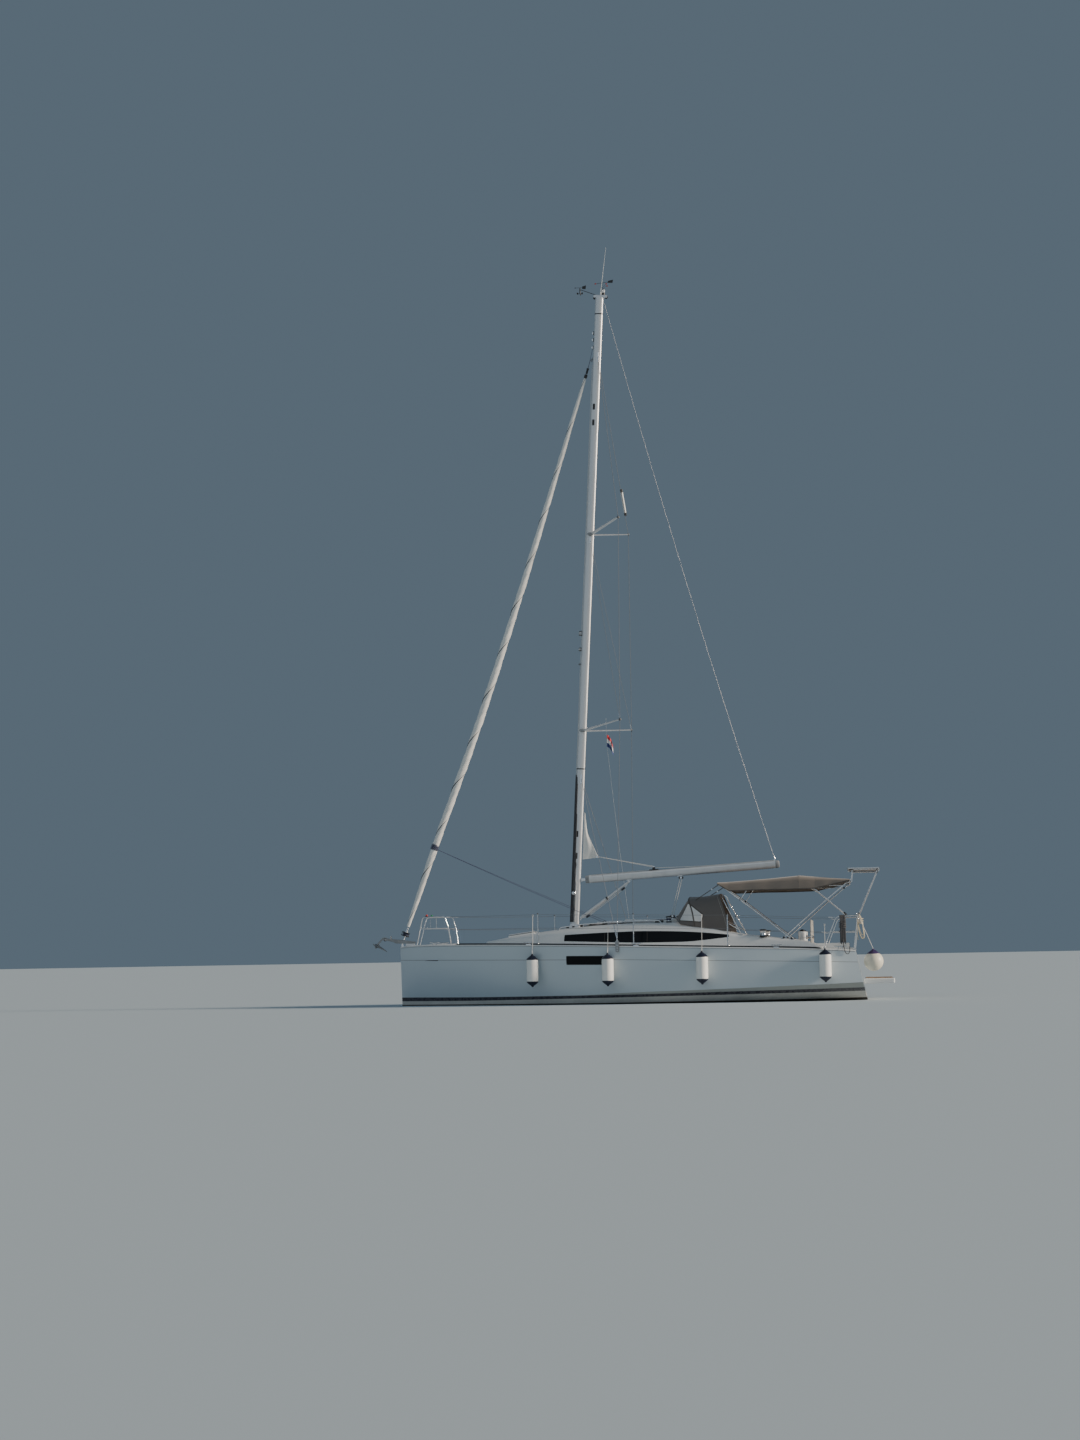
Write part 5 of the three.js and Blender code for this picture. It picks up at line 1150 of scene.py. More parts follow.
# non-slip panels on the side decks, foredeck and coachroof
for s in (1, -1):
    for x0, x1 in ((3.55, 2.55), (2.48, 1.25), (1.18, -0.25), (-0.32, -1.90), (-1.97, -3.35), (-3.42, -4.15)):
        pts = [(x, s * (Section(x).ys - 0.055)) for x in along_x(x0, x1, 7)]
        pts += [(x, s * (max(house_at(min(x, 3.06))["yb"], 0.10) + 0.055) if x > -4.1 else s * 1.34) for x in along_x(x1, x0, 7)]
        if s < 0:
            pts = pts[::-1]
        skin(P_, rounded_poly(pts, 0.03, 3), lambda a, c: (a, c, deck_top(a, c)), 0.0012, 0.22)
    fore = [(3.60, s * 0.06), (4.46, s * 0.06), (4.46, s * 0.10), (4.40, s * 0.28), (3.60, s * (Section(3.60).ys - 0.06))] if False else None
# foredeck, split by the anchor locker
for s in (1, -1):
    pts = [(3.18, s * 0.05), (3.66, s * 0.05), (3.66, s * 0.30), (4.42, s * 0.30), (4.20, s * (Section(4.20).ys - 0.08)), (3.90, s * (Section(3.90).ys - 0.07)), (3.62, s * (Section(3.62).ys - 0.06))]
    pts += [(3.58, s * 0.30), (3.18, s * 0.28)]
    if s < 0:
        pts = pts[::-1]
    skin(P_, rounded_poly(pts, 0.025, 3), lambda a, c: (a, c, deck_top(a, c)), 0.0012, 0.22)
# coachroof panels
for s in (1, -1):
    for x0, x1, y0, y1 in ((2.62, 2.62, 0, 0), (1.95, 1.32, 0.06, 0.50), (1.02, 0.72, 0.18, 0.62), (0.05, -0.62, 0.46, 0.76)):
        if x0 == x1:
            continue
        pts = [(x0, s * y0), (x0, s * y1), (x1, s * y1), (x1, s * y0)]
        if s > 0:
            pts = pts[::-1]
        skin(P_, rounded_poly(pts, 0.03, 3), lambda a, c: (a, c, roof_z(a, c)), 0.0012, 0.15)
P_.obj("nonslip_panels", [M["nonslip"]], ROOT, (), "deck_gelcoat", angle=50)

# teak slats on the benches, helm seats, cockpit floor and swim platform
T = Build()


def slats(build, x0, x1, y0, y1, z, width=0.045, gap=0.005, thick=0.008, along="x", mat=0):
    lo, hi = (min(y0, y1), max(y0, y1)) if along == "x" else (min(x0, x1), max(x0, x1))
    n = max(1, int((hi - lo + gap) / (width + gap)))
    w = (hi - lo + gap) / n - gap
    for i in range(n):
        a = lo + i * (w + gap)
        if along == "x":
            build.box((x0, a, z), (x1, a + w, z + thick), 0.0015, mat, segs=1)
        else:
            build.box((a, y0, z), (a + w, y1, z + thick), 0.0015, mat, segs=1)


for s in (1, -1):
    slats(T, -3.335, -3.065, s * 0.415, s * 0.985, SEAT_Z, along="x")
    slats(T, -1.735, -1.500, s * 0.415, s * 0.985, SEAT_Z, along="x")
    slats(T, -3.060, -1.740, s * 0.415, s * 0.548, SEAT_Z, along="x")
    slats(T, -4.655, -4.320, s * 0.395, s * 0.995, SEAT_Z, along="y")
slats(T, -4.270, -3.390, -0.985, 0.985, SOLE_Z, along="x")
slats(T, -3.370, -1.520, -0.385, 0.385, SOLE_Z, along="x")
T.obj("teak_slats", M["teak_x"], ROOT, (), "wood_floor", angle=40)

for name, s in (("locker_lid_port", 1), ("locker_lid_starboard", -1)):
    b = Build()
    b.box((-1.756, s * 0.566, 0.980), (-3.044, s * 0.944, 1.000), 0.004, 1)
    slats(b, -3.040, -1.760, s * 0.570, s * 0.940, 0.9995, thick=0.0085)
    b.box((-2.43, s * 0.585, 1.0075), (-2.37, s * 0.605, 1.0135), 0.003, 2)
    b.obj(name + "_slats", [M["teak_x"], M["gel"], M["steel"]], name, name, "wood_floor", angle=40)

# toe rails: black sections with a small round top
for name, s in (("toe_rail_port", 1), ("toe_rail_starboard", -1)):
    b = Build()
    rings = []
    for x in along_x(3.62, -4.10, 70):
        sec = Section(x)
        y, z = s * (sec.ys - 0.016), deck_top(x, sec.ys - 0.016) - 0.002
        w = 0.25 if x > 3.615 or x < -4.095 else 1
        prof = [(0.013, -0.002), (0.0125, 0.016), (0.0095, 0.027), (0.004, 0.0310), (-0.004, 0.0310), (-0.0095, 0.027), (-0.0125, 0.016), (-0.013, -0.002)]
        rings.append([Vector((x, y + a, z + c * (1 if w == 1 else 0.35))) for a, c in prof])
    b.add(*loft(rings))
    # rubbing joint between hull and deck
    rings = []
    for x in [4.935, 4.90] + along_x(4.85, -5.0, 80):
        sec = Section(x)
        z = sec.top
        y = s * (sec.ys + 0.002)
        rings.append([Vector((sec.X(z), y + s * a, z + c)) for a, c in [(-0.010, 0.004), (0.002, 0.004), (0.0035, 0.0015), (0.0035, -0.004), (0.002, -0.0065), (-0.010, -0.0065)]])
    b.add(*loft(rings), mat=1)
    b.obj(name + "_rail", [M["black"], M["grey"]], ROOT, name, "black_plastic", angle=35)

# hull windows, flush dark panes with a fine seal
b = Build()
for s in (1, -1):
    for grow, lift, mat in ((0.008, 0.0012, 1), (0.0, 0.0028, 0)):
        out = rounded_poly([(1.170 + grow, 0.835 - grow), (1.170 + grow, 1.004 + grow), (0.330 - grow, 0.992 + grow), (0.330 - grow, 0.823 - grow)], 0.022, 4)
        if s > 0:
            out = out[::-1]
        skin(b, out, lambda a, c: (a, s * hull_y(a, c), c), lift, 0.14, mat, (0, s, 0))
b.obj("hull_windows", [M["acrylic"], M["rubber"]], ROOT, (), "dark_acrylic", angle=40)

# dark side windows: one long pane that narrows to a point along the coaming
BAND = [(1.296, 1.322), (1.282, 1.452), (0.500, 1.484), (-0.305, 1.504), (-0.95, 1.490), (-1.345, 1.472), (-1.70, 1.446), (-2.190, 1.396), (-2.192, 1.346), (-1.62, 1.288), (-1.345, 1.266), (-0.95, 1.262), (-0.305, 1.262), (0.50, 1.290)]
for name, s in (("cabin_window_port", 1), ("cabin_window_starboard", -1)):
    b = Build()
    out = rounded_poly(BAND, [0.015, 0.015, 0.2, 0.2, 0.2, 0.2, 0.2, 0.008, 0.012, 0.2, 0.2, 0.2, 0.2, 0.2], 5)
    if s > 0:
        out = out[::-1]
    skin(b, out, lambda a, c: (a, s * house_side(a, c), c), 0.003, 0.16, 0, (0, s * 0.93, 0.36))
    # seams between the panes
    for x in (0.42, -0.48):
        lo = np.interp(x, [-0.305, 0.5, 1.29], [1.262, 1.290, 1.324]) if x > -0.305 else 1.262
        hi = np.interp(x, [-0.305, 0.5, 1.268], [1.504, 1.484, 1.452]) if x > -0.305 else 1.500
        pts = [Vector((x, s * (house_side(x, z) + 0.0030), z + 0.001)) for z in along_x(float(lo) + 0.004, float(hi) - 0.004, 6)]
        b.tube(pts, 0.0035, 6, 1)
    b.obj(name + "_pane", [M["acrylic"], M["rubber"]], ROOT, name, "dark_acrylic", angle=40)

# roof hatches: alloy frames with tinted lids, handles and hinges
for name, key, fwd in (("fore_hatch", "fore", True), ("saloon_hatch", "saloon", False)):
    hx, hl, hw = HATCHES[key]
    t, z = roof_tilt(hx), house_at(hx)["zt"]
    c = Vector((hx - math.sin(t) * 0.036, 0, z + 0.036))
    q = Quaternion((0, 1, 0), -t)
    b = Build()
    n = Vector((0, 0, 1))
    n.rotate(q)
    fx = Vector((1, 0, 0))
    fx.rotate(q)
    L, W = hl + 0.025, hw + 0.025

    def local(px, py, pz):
        return c + fx * px + Vector((0, py, 0)) + n * pz

    b.box((-L, -W, -0.012), (L, W, 0.004), 0.004, 1, q, c + n * 0.0)
    start = len(b.v)
    b.box((-L + 0.03, -W + 0.03, 0), (L - 0.03, W - 0.03, 0.010), 0.0035, 0, q, c + n * 0.008)
    # raised frame round the pane
    for px0, px1, py0, py1 in ((-L, L, -W, -W + 0.028), (-L, L, W - 0.028, W), (-L, -L + 0.028, -W + 0.028, W - 0.028), (L - 0.028, L, -W + 0.028, W - 0.028)):
        b.box((px0, py0, 0), (px1, py1, 0.013), 0.004, 1, q, local((px0 + px1) / 2, (py0 + py1) / 2, 0.0055))
    sgn = -1 if fwd else 1
    for py in (-0.12, 0.12):
        b.box((-0.022, -0.014, -0.006), (0.022, 0.014, 0.006), 0.004, 2, q, local(sgn * (L - 0.060), py, 0.013))
        b.rod(local(-sgn * (L - 0.004), py - 0.03, 0.004), local(-sgn * (L - 0.004), py + 0.03, 0.004), 0.007, 12, 1)
    b.obj(name + "_lid", [M["acrylic"], M["alloy"], M["black"]], name, name, "dark_acrylic", angle=40)

# sliding companionway hatch with its grab bar
b = Build()
b.box((-1.490, -0.368, 1.716), (-0.702, 0.368, 1.738), 0.006, 0, segs=3)
b.box((-1.492, -0.370, 1.7145), (-1.462, 0.370, 1.7395), 0.004, 1)
for s in (1, -1):
    b.box((-1.480, s * 0.352, 1.7142), (-0.705, s * 0.3695, 1.7395), 0.004, 1)
b.obj("companionway_slide", [M["acrylic"], M["alloy"]], "companionway_hatch", "companionway_hatch", "dark_acrylic", angle=40)

# anchor locker lid with a finger latch and hinges
b = Build()
out = rounded_poly([(3.728, -0.242), (4.372, -0.242), (4.372, 0.242), (3.728, 0.242)], 0.03, 4)
v, f = drape(out, lambda a, c: (a, c, deck_top(a, c)), 0.11)
top = [q + Vector((0, 0, 0.002)) for q in v]
low = [q - Vector((0, 0, 0.020)) for q in v]
edges = {}
for q in f:
    for a1, b1 in zip(q, q[1:] + q[:1]):
        edges[(a1, b1)] = 1
N = len(v)
faces = f + [[i + N for i in q[::-1]] for q in f] + [[b1, a1, a1 + N, b1 + N] for (a1, b1) in edges if (b1, a1) not in edges]
b.add(top + low, faces)
skin(b, rounded_poly([(3.765, -0.205), (4.335, -0.205), (4.335, 0.205), (3.765, 0.205)], 0.03, 4), lambda a, c: (a, c, deck_top(a, c) + 0.002), 0.0012, 0.11, 1)
b.lathe([(0.004, 0), (0.026, 0.0), (0.028, 0.003), (0.020, 0.005), (0.004, 0.005)], (4.310, 0, deck_top(4.31, 0) + 0.0025), (0, 0, 1), 20, 2)
for s in (1, -1):
    b.rod((3.735, s * 0.15 - 0.03, deck_top(3.735, 0.15) + 0.004), (3.735, s * 0.15 + 0.03, deck_top(3.735, 0.15) + 0.004), 0.006, 10, 2)
b.obj("anchor_lid", [M["deck"], M["nonslip"], M["steel"]], "anchor_locker_lid", "anchor_locker_lid", "deck_gelcoat", angle=35)

# swim platform: moulded board with teak slats, hinges
b = Build()
b.box((-5.576, -1.0, 0.335), (-4.946, 1.0, 0.448), 0.030, 0, segs=4)
slats(b, -5.535, -4.985, 0.30, 0.955, 0.4470, along="y", mat=1)
slats(b, -5.535, -4.985, -0.955, -0.30, 0.4470, along="y", mat=1)
slats(b, -5.535, -4.985, -0.28, 0.28, 0.4470, along="y", mat=1)
for s in (1, -1):
    b.lathe([(0.010, 0), (0.016, 0.0), (0.016, 0.10), (0.010, 0.10)], (-4.952, s * 0.80 - 0.05, 0.356), (0, 1, 0), 16, 2)
b.obj("platform_board", [M["gel"], M["teak_y"], M["steel"]], "swim_platform", "swim_platform", "white_gelcoat", angle=35)


# ------------------------------------------------------------------ mast
RAKE = math.atan(0.0586)
MAST_FOOT, MAST_TOP, FA, MW = Vector((1.171, 0, 1.652)), 15.440, 0.178, 0.108
MD, MF = Vector((-math.sin(RAKE), 0, math.cos(RAKE))), Vector((math.cos(RAKE), 0, math.sin(RAKE)))


def on_mast(z, f=0.0, y=0.0):
    h = (z - 1.652 - f * math.sin(RAKE)) / math.cos(RAKE)
    return MAST_FOOT + MD * h + MF * f + Vector((0, y, 0))


def mast_x(z):
    return 1.171 - (z - 1.652) * 0.0586


def mast_ring(z, k=1.0, n=32):
    out = []
    for i in range(n):
        a = 2 * math.pi * i / n
        c, s = math.cos(a), math.sin(a)
        out.append(on_mast(1.652, 0, 0) + MD * ((z - 1.652) / math.cos(RAKE)) + MF * (k * FA / 2 * math.copysign(abs(c) ** 0.8, c)) + Vector((0, k * MW / 2 * math.copysign(abs(s) ** 0.8, s), 0)))
    return out


QM = Quaternion((0, 1, 0), -RAKE)


def mast_box(build, z, f, y, size, bevel, mat):
    h = Vector(size) / 2
    build.box(-h, h, bevel, mat, QM, on_mast(z, f, y))


b = Build()
b.add(*loft([mast_ring(z) for z in [1.682] + along_x(1.75, 15.37, 34) + [15.395]]))
# sail slot along the aft face and the luff groove beside it
for z0, z1 in ((2.95, 15.00),):
    pts = [on_mast(z, -FA / 2 + 0.0015, 0) for z in along_x(z0, z1, 18)]
    b.tube(pts, 0.0085, 8, 1, flat=0.35)
for s in (1, -1):
    pts = [on_mast(z, -FA / 2 + 0.006, s * 0.026) for z in along_x(2.2, 15.30, 18)]
    b.tube(pts, 0.003, 6, 0)
# dark bands
for z in (15.02, 5.02):
    b.add(*loft([mast_ring(z - 0.012, 1.012), mast_ring(z + 0.012, 1.012)]), mat=1)
# foot casting, bolted down
v0 = len(b.v)
base = [Vector((MAST_FOOT.x + a, c, 0)) for a, c in rounded_poly([(-0.122, -0.076), (0.122, -0.076), (0.122, 0.076), (-0.122, 0.076)], 0.03, 4)]
b.add(*loft([[Vector((q.x, q.y, roof_z(q.x, q.y) + 0.001)) for q in base], [Vector((q.x, q.y, roof_z(q.x, q.y) + 0.022)) for q in base], [Vector((lerp(MAST_FOOT.x, q.x, 0.84), q.y * 0.86, 1.662 + (q.x - MAST_FOOT.x) * 0.06)) for q in base], [Vector((lerp(MAST_FOOT.x, q.x, 0.82), q.y * 0.84, 1.690 + (q.x - MAST_FOOT.x) * 0.06)) for q in base]]), mat=2)
for sx in (1, -1):
    for sy in (1, -1):
        x, y = MAST_FOOT.x + sx * 0.104, sy * 0.058
        b.lathe([(0.004, 0), (0.009, 0), (0.009, 0.006), (0.004, 0.008)], (x, y, roof_z(x, y) + 0.020), (0, 0, 1), 12, 3)
# collar of turning blocks at the foot
for k, (dx, dy) in enumerate(((0.16, 0.045), (0.16, -0.045), (-0.15, 0.050), (-0.15, -0.050), (0.02, 0.115), (0.02, -0.115))):
    x, y = MAST_FOOT.x + dx, dy
    z = roof_z(x, y)
    b.box((x - 0.026, y - 0.012, z + 0.001), (x + 0.026, y + 0.012, z + 0.052), 0.010, 1)
    b.lathe([(0.006, -0.008), (0.019, -0.008), (0.015, 0), (0.019, 0.008), (0.006, 0.008)], (x, y, z + 0.035), (0, 1, 0), 16, 3)
# masthead crane with sheaves
mast_box(b, 15.411, -0.020, 0, (0.300, 0.076, 0.056), 0.010, 2)
for f in (-0.148, 0.105):
    b.lathe([(0.010, -0.016), (0.036, -0.016), (0.028, 0), (0.036, 0.016), (0.010, 0.016)], on_mast(15.395, f), (0, 1, 0), 20, 1)
mast_box(b, 15.442, -0.02, 0, (0.26, 0.064, 0.010), 0.004, 2)
# forestay and shroud tangs, exit slots, halyard sheaves near the top
for z, f in ((14.60, 0.092), (14.45, 0.092), (14.28, 0.092)):
    mast_box(b, z, f, 0, (0.026, 0.034, 0.085), 0.006, 1)
    b.lathe([(0.004, -0.010), (0.026, -0.010), (0.026, 0.010), (0.004, 0.010)], on_mast(z, f + 0.014), (0, 1, 0), 14, 3)
for s in (1, -1):
    mast_box(b, 14.050, -0.020, s * 0.054, (0.046, 0.010, 0.22), 0.004, 3)
    mast_box(b, 4.800, -0.020, s * 0.054, (0.046, 0.010, 0.20), 0.004, 3)
    mast_box(b, 10.00, -0.015, s * 0.054, (0.040, 0.010, 0.14), 0.004, 3)
for z, s in ((3.62, 1), (3.15, 1), (3.35, -1), (2.90, -1), (12.95, 1), (12.60, 1)):
    mast_box(b, z, 0.020, s * 0.0535, (0.050, 0.008, 0.130), 0.0035, 1)
# port side: cleats and a small winch for halyards
for z, s in ((2.35, 1), (2.62, -1)):
    c = on_mast(z, 0.045, s * 0.060)
    b.lathe([(0.006, 0), (0.036, 0.0), (0.036, 0.012), (0.026, 0.022), (0.024, 0.055), (0.032, 0.066), (0.032, 0.082), (0.012, 0.090)], c - Vector((0, s * 0.008, 0)), (0, s, 0), 24, 3)
for z, s in ((2.02, 1), (2.02, -1), (2.95, 1)):
    c = on_mast(z, 0.02, s * 0.066)
    b.box((-0.011, -0.007, -0.020), (0.011, 0.007, 0.020), 0.004, 1, QM, c)
    b.rod(c + MD * -0.060 + Vector((0, s * 0.014, 0)), c + MD * 0.060 + Vector((0, s * 0.014, 0)), 0.0075, 10, 1)
# steaming light, deck light and a small bracket on the front
for z, r, L in ((7.97, 0.042, 0.105), (7.62, 0.032, 0.078), (7.30, 0.018, 0.034)):
    c = on_mast(z, FA / 2 + 0.030)
    mast_box(b, z - L * 0.4, FA / 2 + 0.022, 0, (0.060, 0.052, 0.014), 0.005, 1)
    b.lathe([(0.004, -L / 2), (r, -L / 2 + 0.004), (r, L / 2 - 0.018), (r * 0.8, L / 2 - 0.006), (0.004, L / 2)], c, MD, 18, 1)
    b.lathe([(r + 0.001, -L / 2 + 0.018), (r + 0.0022, -L / 2 + 0.022), (r + 0.0022, L / 2 - 0.026), (r + 0.001, L / 2 - 0.022)], c, MD, 18, 4)
# aerial, masthead light, wind sensor and vane
top = on_mast(15.446, -0.085)
b.lathe([(0.006, 0), (0.034, 0.0), (0.034, 0.045), (0.020, 0.052), (0.006, 0.052)], top, MD, 18, 1)
b.lathe([(0.006, 0.050), (0.030, 0.052), (0.032, 0.060), (0.032, 0.112), (0.022, 0.122), (0.006, 0.124)], top, MD, 18, 4)
b.lathe([(0.006, 0.122), (0.026, 0.124), (0.020, 0.140), (0.006, 0.144)], top, MD, 18, 1)
foot = on_mast(15.446, -0.030, 0.020)
b.lathe([(0.005, 0), (0.016, 0.0), (0.016, 0.05), (0.009, 0.07), (0.006, 0.12)], foot, MD, 14, 5)
b.rod(foot + MD * 0.10, Vector((0.201, 0.020, 16.505)), 0.0045, 8, 5, 0.0016)
arm0, arm1 = on_mast(15.452, 0.060, -0.020), on_mast(15.602, 0.440, -0.020)
b.rod(on_mast(15.440, 0.02, -0.020), arm0, 0.011, 10, 1)
b.rod(arm0, arm1, 0.0065, 10, 1)
b.rod(arm1 - Vector((0, 0, 0.105)), arm1 + Vector((0, 0, 0.030)), 0.012, 12, 1)
for k in range(3):
    a = 2 * math.pi * k / 3 + 0.5
    c = arm1 + Vector((0.058 * math.cos(a), 0.058 * math.sin(a), -0.095))
    b.rod(arm1 + Vector((0, 0, -0.095)), c, 0.0025, 6, 1)
    b.lathe([(0.002, -0.020), (0.016, -0.012), (0.023, 0.0), (0.021, 0.003), (0.012, -0.006), (0.002, -0.012)], c, (-math.sin(a), math.cos(a), 0), 14, 1)
b.rod(arm1 + Vector((0.085, 0, 0.042)), arm1 + Vector((-0.060, 0, 0.042)), 0.0035, 8, 1)
b.plate([(arm1.x - 0.050, arm1.z + 0.012), (arm1.x - 0.125, arm1.z + 0.004), (arm1.x - 0.135, arm1.z + 0.090), (arm1.x - 0.050, arm1.z + 0.068)], arm1.y - 0.0025, arm1.y + 0.0025, "y", 1)
b.lathe([(0.002, 0.0), (0.009, 0.012), (0.010, 0.03), (0.002, 0.034)], arm1 + Vector((0.085, 0, 0.042)), (1, 0, 0), 12, 1)
vane = Vector((mast_x(15.72) - 0.045, 0.0, 15.720))
b.rod(on_mast(15.445, -0.045, -0.024), vane + Vector((0, -0.0, 0)), 0.003, 8, 1)
b.rod(vane + Vector((-0.205, 0, 0.020)), vane + Vector((0.140, 0, -0.012)), 0.004, 8, 1)
b.plate([(vane.x - 0.120, vane.z - 0.002), (vane.x - 0.230, vane.z - 0.012), (vane.x - 0.245, vane.z + 0.060), (vane.x - 0.140, vane.z + 0.040)], vane.y - 0.002, vane.y + 0.002, "y", 1)
b.lathe([(0.001, 0.045), (0.018, 0.0), (0.001, -0.004)], vane + Vector((0.135, 0, -0.012)), (1, 0, -0.09), 10, 6)
for s in (1, -1):
    e = vane + Vector((-0.10, s * 0.085, -0.050))
    b.rod(on_mast(15.60, -0.045, 0), e, 0.002, 6, 1)
    b.box(e - Vector((0.016, 0.002, 0.012)), e + Vector((0.016, 0.002, 0.012)), 0, 6)
b.obj("mast_tube", [M["mast"], M["black"], M["alloy"], M["steel"], M["lens"], M["fender"], M["red"]], ROOT, "mast", "anodised_alloy", angle=35)

SPREADERS = [("lower", 5.845, -0.020, 1.262, 5.950, 0.130), ("upper", 10.127, -0.055, 1.102, 10.290, 0.115)]


def lens_ring(c, chord, thick, n=16):
    out = []
    for i in range(n):
        a = 2 * math.pi * i / n
        out.append(Vector((c.x + chord / 2 * math.cos(a) * (1 if math.cos(a) > 0 else 1.0), c.y, c.z + thick / 2 * math.sin(a) * (1 + 0.12 * math.cos(a)))))
    return out


for level, zr, tx, ty, tz, chord in SPREADERS:
    b = Build()
    for s in (1, -1):
        rings = []
        for t in along_x(0, 1, 12):
            c = Vector((lerp(mast_x(zr) - 0.015, tx + 0.006, t), s * lerp(MW / 2 - 0.016, ty - 0.030, t), lerp(zr, tz, t)))
            rings.append(lens_ring(c, lerp(chord, 0.066, t), lerp(0.044, 0.026, t)))
        b.add(*loft(rings))
        # root bracket and tip end
        c = Vector((mast_x(zr) - 0.018, s * (MW / 2 + 0.010), zr + 0.001))
        rings = [lens_ring(c + Vector((0, s * d, d * 0.08)), chord + g, 0.044 + g) for d, g in ((-0.014, 0.022), (0.0, 0.024), (0.060, 0.014), (0.066, 0.004))]
        b.add(*loft(rings), mat=1)
        c = Vector((tx + 0.006, s * (ty - 0.018), tz))
        rings = [lens_ring(c + Vector((0, s * d, 0)), 0.066 + g, 0.026 + g) for d, g in ((-0.045, 0.006), (-0.038, 0.010), (0.0, 0.010), (0.010, 0.002), (0.0135, -0.012))]
        b.add(*loft(rings), mat=1)
    b.obj("spreaders_" + level + "_pair", [M["alloy"], M["grey"]], ROOT, "spreaders_" + level, "anodised_alloy", angle=40)

# ------------------------------------------------------------------ standing rigging
WIRE = 0.0045


def swage(build, at, to, length=0.10, r=0.0085, mat=0):
    d = (to - at).normalized()
    build.lathe([(0.004, 0), (r, 0.002), (r, length * 0.8), (r * 0.62, length)], at, d, 12, mat)


def screw(build, at, to, length=0.30, mat=0):
    """A rigging screw from its toggle at the chainplate up to the wire."""
    d = (to - at).normalized()
    build.rod(at - d * 0.02, at + d * 0.045, 0.010, 12, mat)
    build.box((-0.010, -0.016, -0.016), (0.010, 0.016, 0.016), 0.005, mat, Vector((0, 0, 1)).rotation_difference(d), at + d * 0.012)
    build.rod(at + d * 0.03, at + d * (length + 0.03), 0.0065, 10, mat)
    build.lathe([(0.006, 0), (0.0125, 0.004), (0.0125, 0.030), (0.0105, 0.036), (0.0105, length * 0.52), (0.0125, length * 0.55), (0.0125, length * 0.68), (0.006, length * 0.70)], at + d * 0.065, d, 14, mat)
    swage(build, at + d * (length + 0.01), to, 0.11, 0.0085, mat)
    return at + d * (length + 0.08)


for tag, s in (("port", 1), ("starboard", -1)):
    b = Build()
    # chainplate: a flat strap bolted to the topside, in the dark galvanised finish as painted shade on its stainless
    out = rounded_poly([(0.058, 1.072), (0.122, 1.072), (0.132, 1.296), (0.104, 1.312), (0.060, 1.312), (0.048, 1.296)], 0.010, 3)
    b.plate(out, min(s * 1.7125, s * 1.7215), max(s * 1.7125, s * 1.7215), "y", 4, 0.002)
    for z in (1.105, 1.160, 1.215):
        b.lathe([(0.003, 0), (0.012, 0), (0.012, 0.004), (0.006, 0.007), (0.003, 0.007)], (0.090, s * 1.7212, z), (0, s, 0), 12, 1)
    pts = [Vector((0.090, s * 1.717, 1.300))]
    for level, zr, tx, ty, tz, chord in SPREADERS:
        pts.append(Vector((tx, s * (ty - 0.005), tz)))
    pts.append(Vector((mast_x(14.05) - 0.020, s * (MW / 2 + 0.008), 14.050)))
    start = screw(b, pts[0], pts[1], 0.30, 1)
    b.tube([start] + pts[1:], WIRE, 8, 0)
    for q in pts[1:3]:
        b.lathe([(0.004, -0.035), (0.0095, -0.030), (0.0125, 0), (0.0095, 0.030), (0.004, 0.035)], q, (pts[2] - pts[1]), 12, 2)
    swage(b, pts[3], pts[2], 0.10, 0.0085, 1)
    # inner diagonal from the lower spreader tip to the mast under the upper spreaders
    a, c = Vector((-0.020 + 0.004, s * 1.240, 5.965)), Vector((mast_x(10.00) - 0.015, s * 0.062, 9.98))
    b.rod(a, c, 0.0035, 8, 0)
    swage(b, a, c, 0.12, 0.008, 1)
    swage(b, c, a, 0.09, 0.008, 1)
    if s < 0:
        # tubular radar reflector clipped to the wire above the upper spreader
        u0, u1 = pts[2].lerp(pts[3], 0.109), pts[2].lerp(pts[3], 0.262)
        d = (u1 - u0).normalized()
        L = (u1 - u0).length
        off = Vector((-0.010, -0.036, 0))
        b.lathe([(0.006, 0), (0.022, 0.004), (0.029, 0.014), (0.029, 0.070), (0.027, 0.073)], u0 + off, d, 20, 2)
        b.lathe([(0.010, 0.069), (0.0260, 0.071), (0.0260, L - 0.071), (0.010, L - 0.069)], u0 + off, d, 20, 3)
        b.lathe([(0.027, L - 0.073), (0.029, L - 0.070), (0.029, L - 0.014), (0.022, L - 0.004), (0.006, L)], u0 + off, d, 20, 2)
        b.rod(u0 + off + Vector((0.004, 0.0255, 0)), u1 + off + Vector((0.004, 0.0255, 0)), 0.0065, 8, 2)
        for t in (0.04, 0.96):
            q = u0.lerp(u1, t)
            b.box((-0.012, -0.042, -0.010), (0.012, 0.010, 0.010), 0.004, 2, None, q + off * 0.5)
    b.obj("cap_shroud_" + tag + "_wire", [M["wire"], M["steel"], M["black"], M["fender"], M["galv"]], ROOT, "cap_shroud_" + tag, "stainless", angle=40)
    b = Build()
    a, c = Vector((0.086, s * 1.706, 1.310)), Vector((mast_x(4.80) - 0.020, s * (MW / 2 + 0.006), 4.800))
    start = screw(b, a, c, 0.26, 1)
    b.rod(start, c, WIRE, 8, 0)
    swage(b, c, a, 0.10, 0.0085, 1)
    b.obj("lower_shroud_" + tag + "_wire", [M["wire"], M["steel"]], ROOT, "lower_shroud_" + tag, "stainless", angle=40)

# ------------------------------------------------------------------ furled genoa
STAY = [(4.846, 1.587, 0.030), (4.796, 1.731, 0.034), (4.60, 2.27, 0.052), (4.204, 3.382, 0.072), (3.279, 5.827, 0.078), (2.145, 9.150, 0.068), (1.150, 12.250, 0.048), (0.742, 13.520, 0.032), (0.700, 13.650, 0.014), (0.590, 14.020, 0.009)]
sx = pchip([q[1] for q in STAY], [-q[0] for q in STAY])
sr = pchip([q[1] for q in STAY], [q[2] for q in STAY])


def stay_at(z):
    return Vector((-sx(z), 0, z))


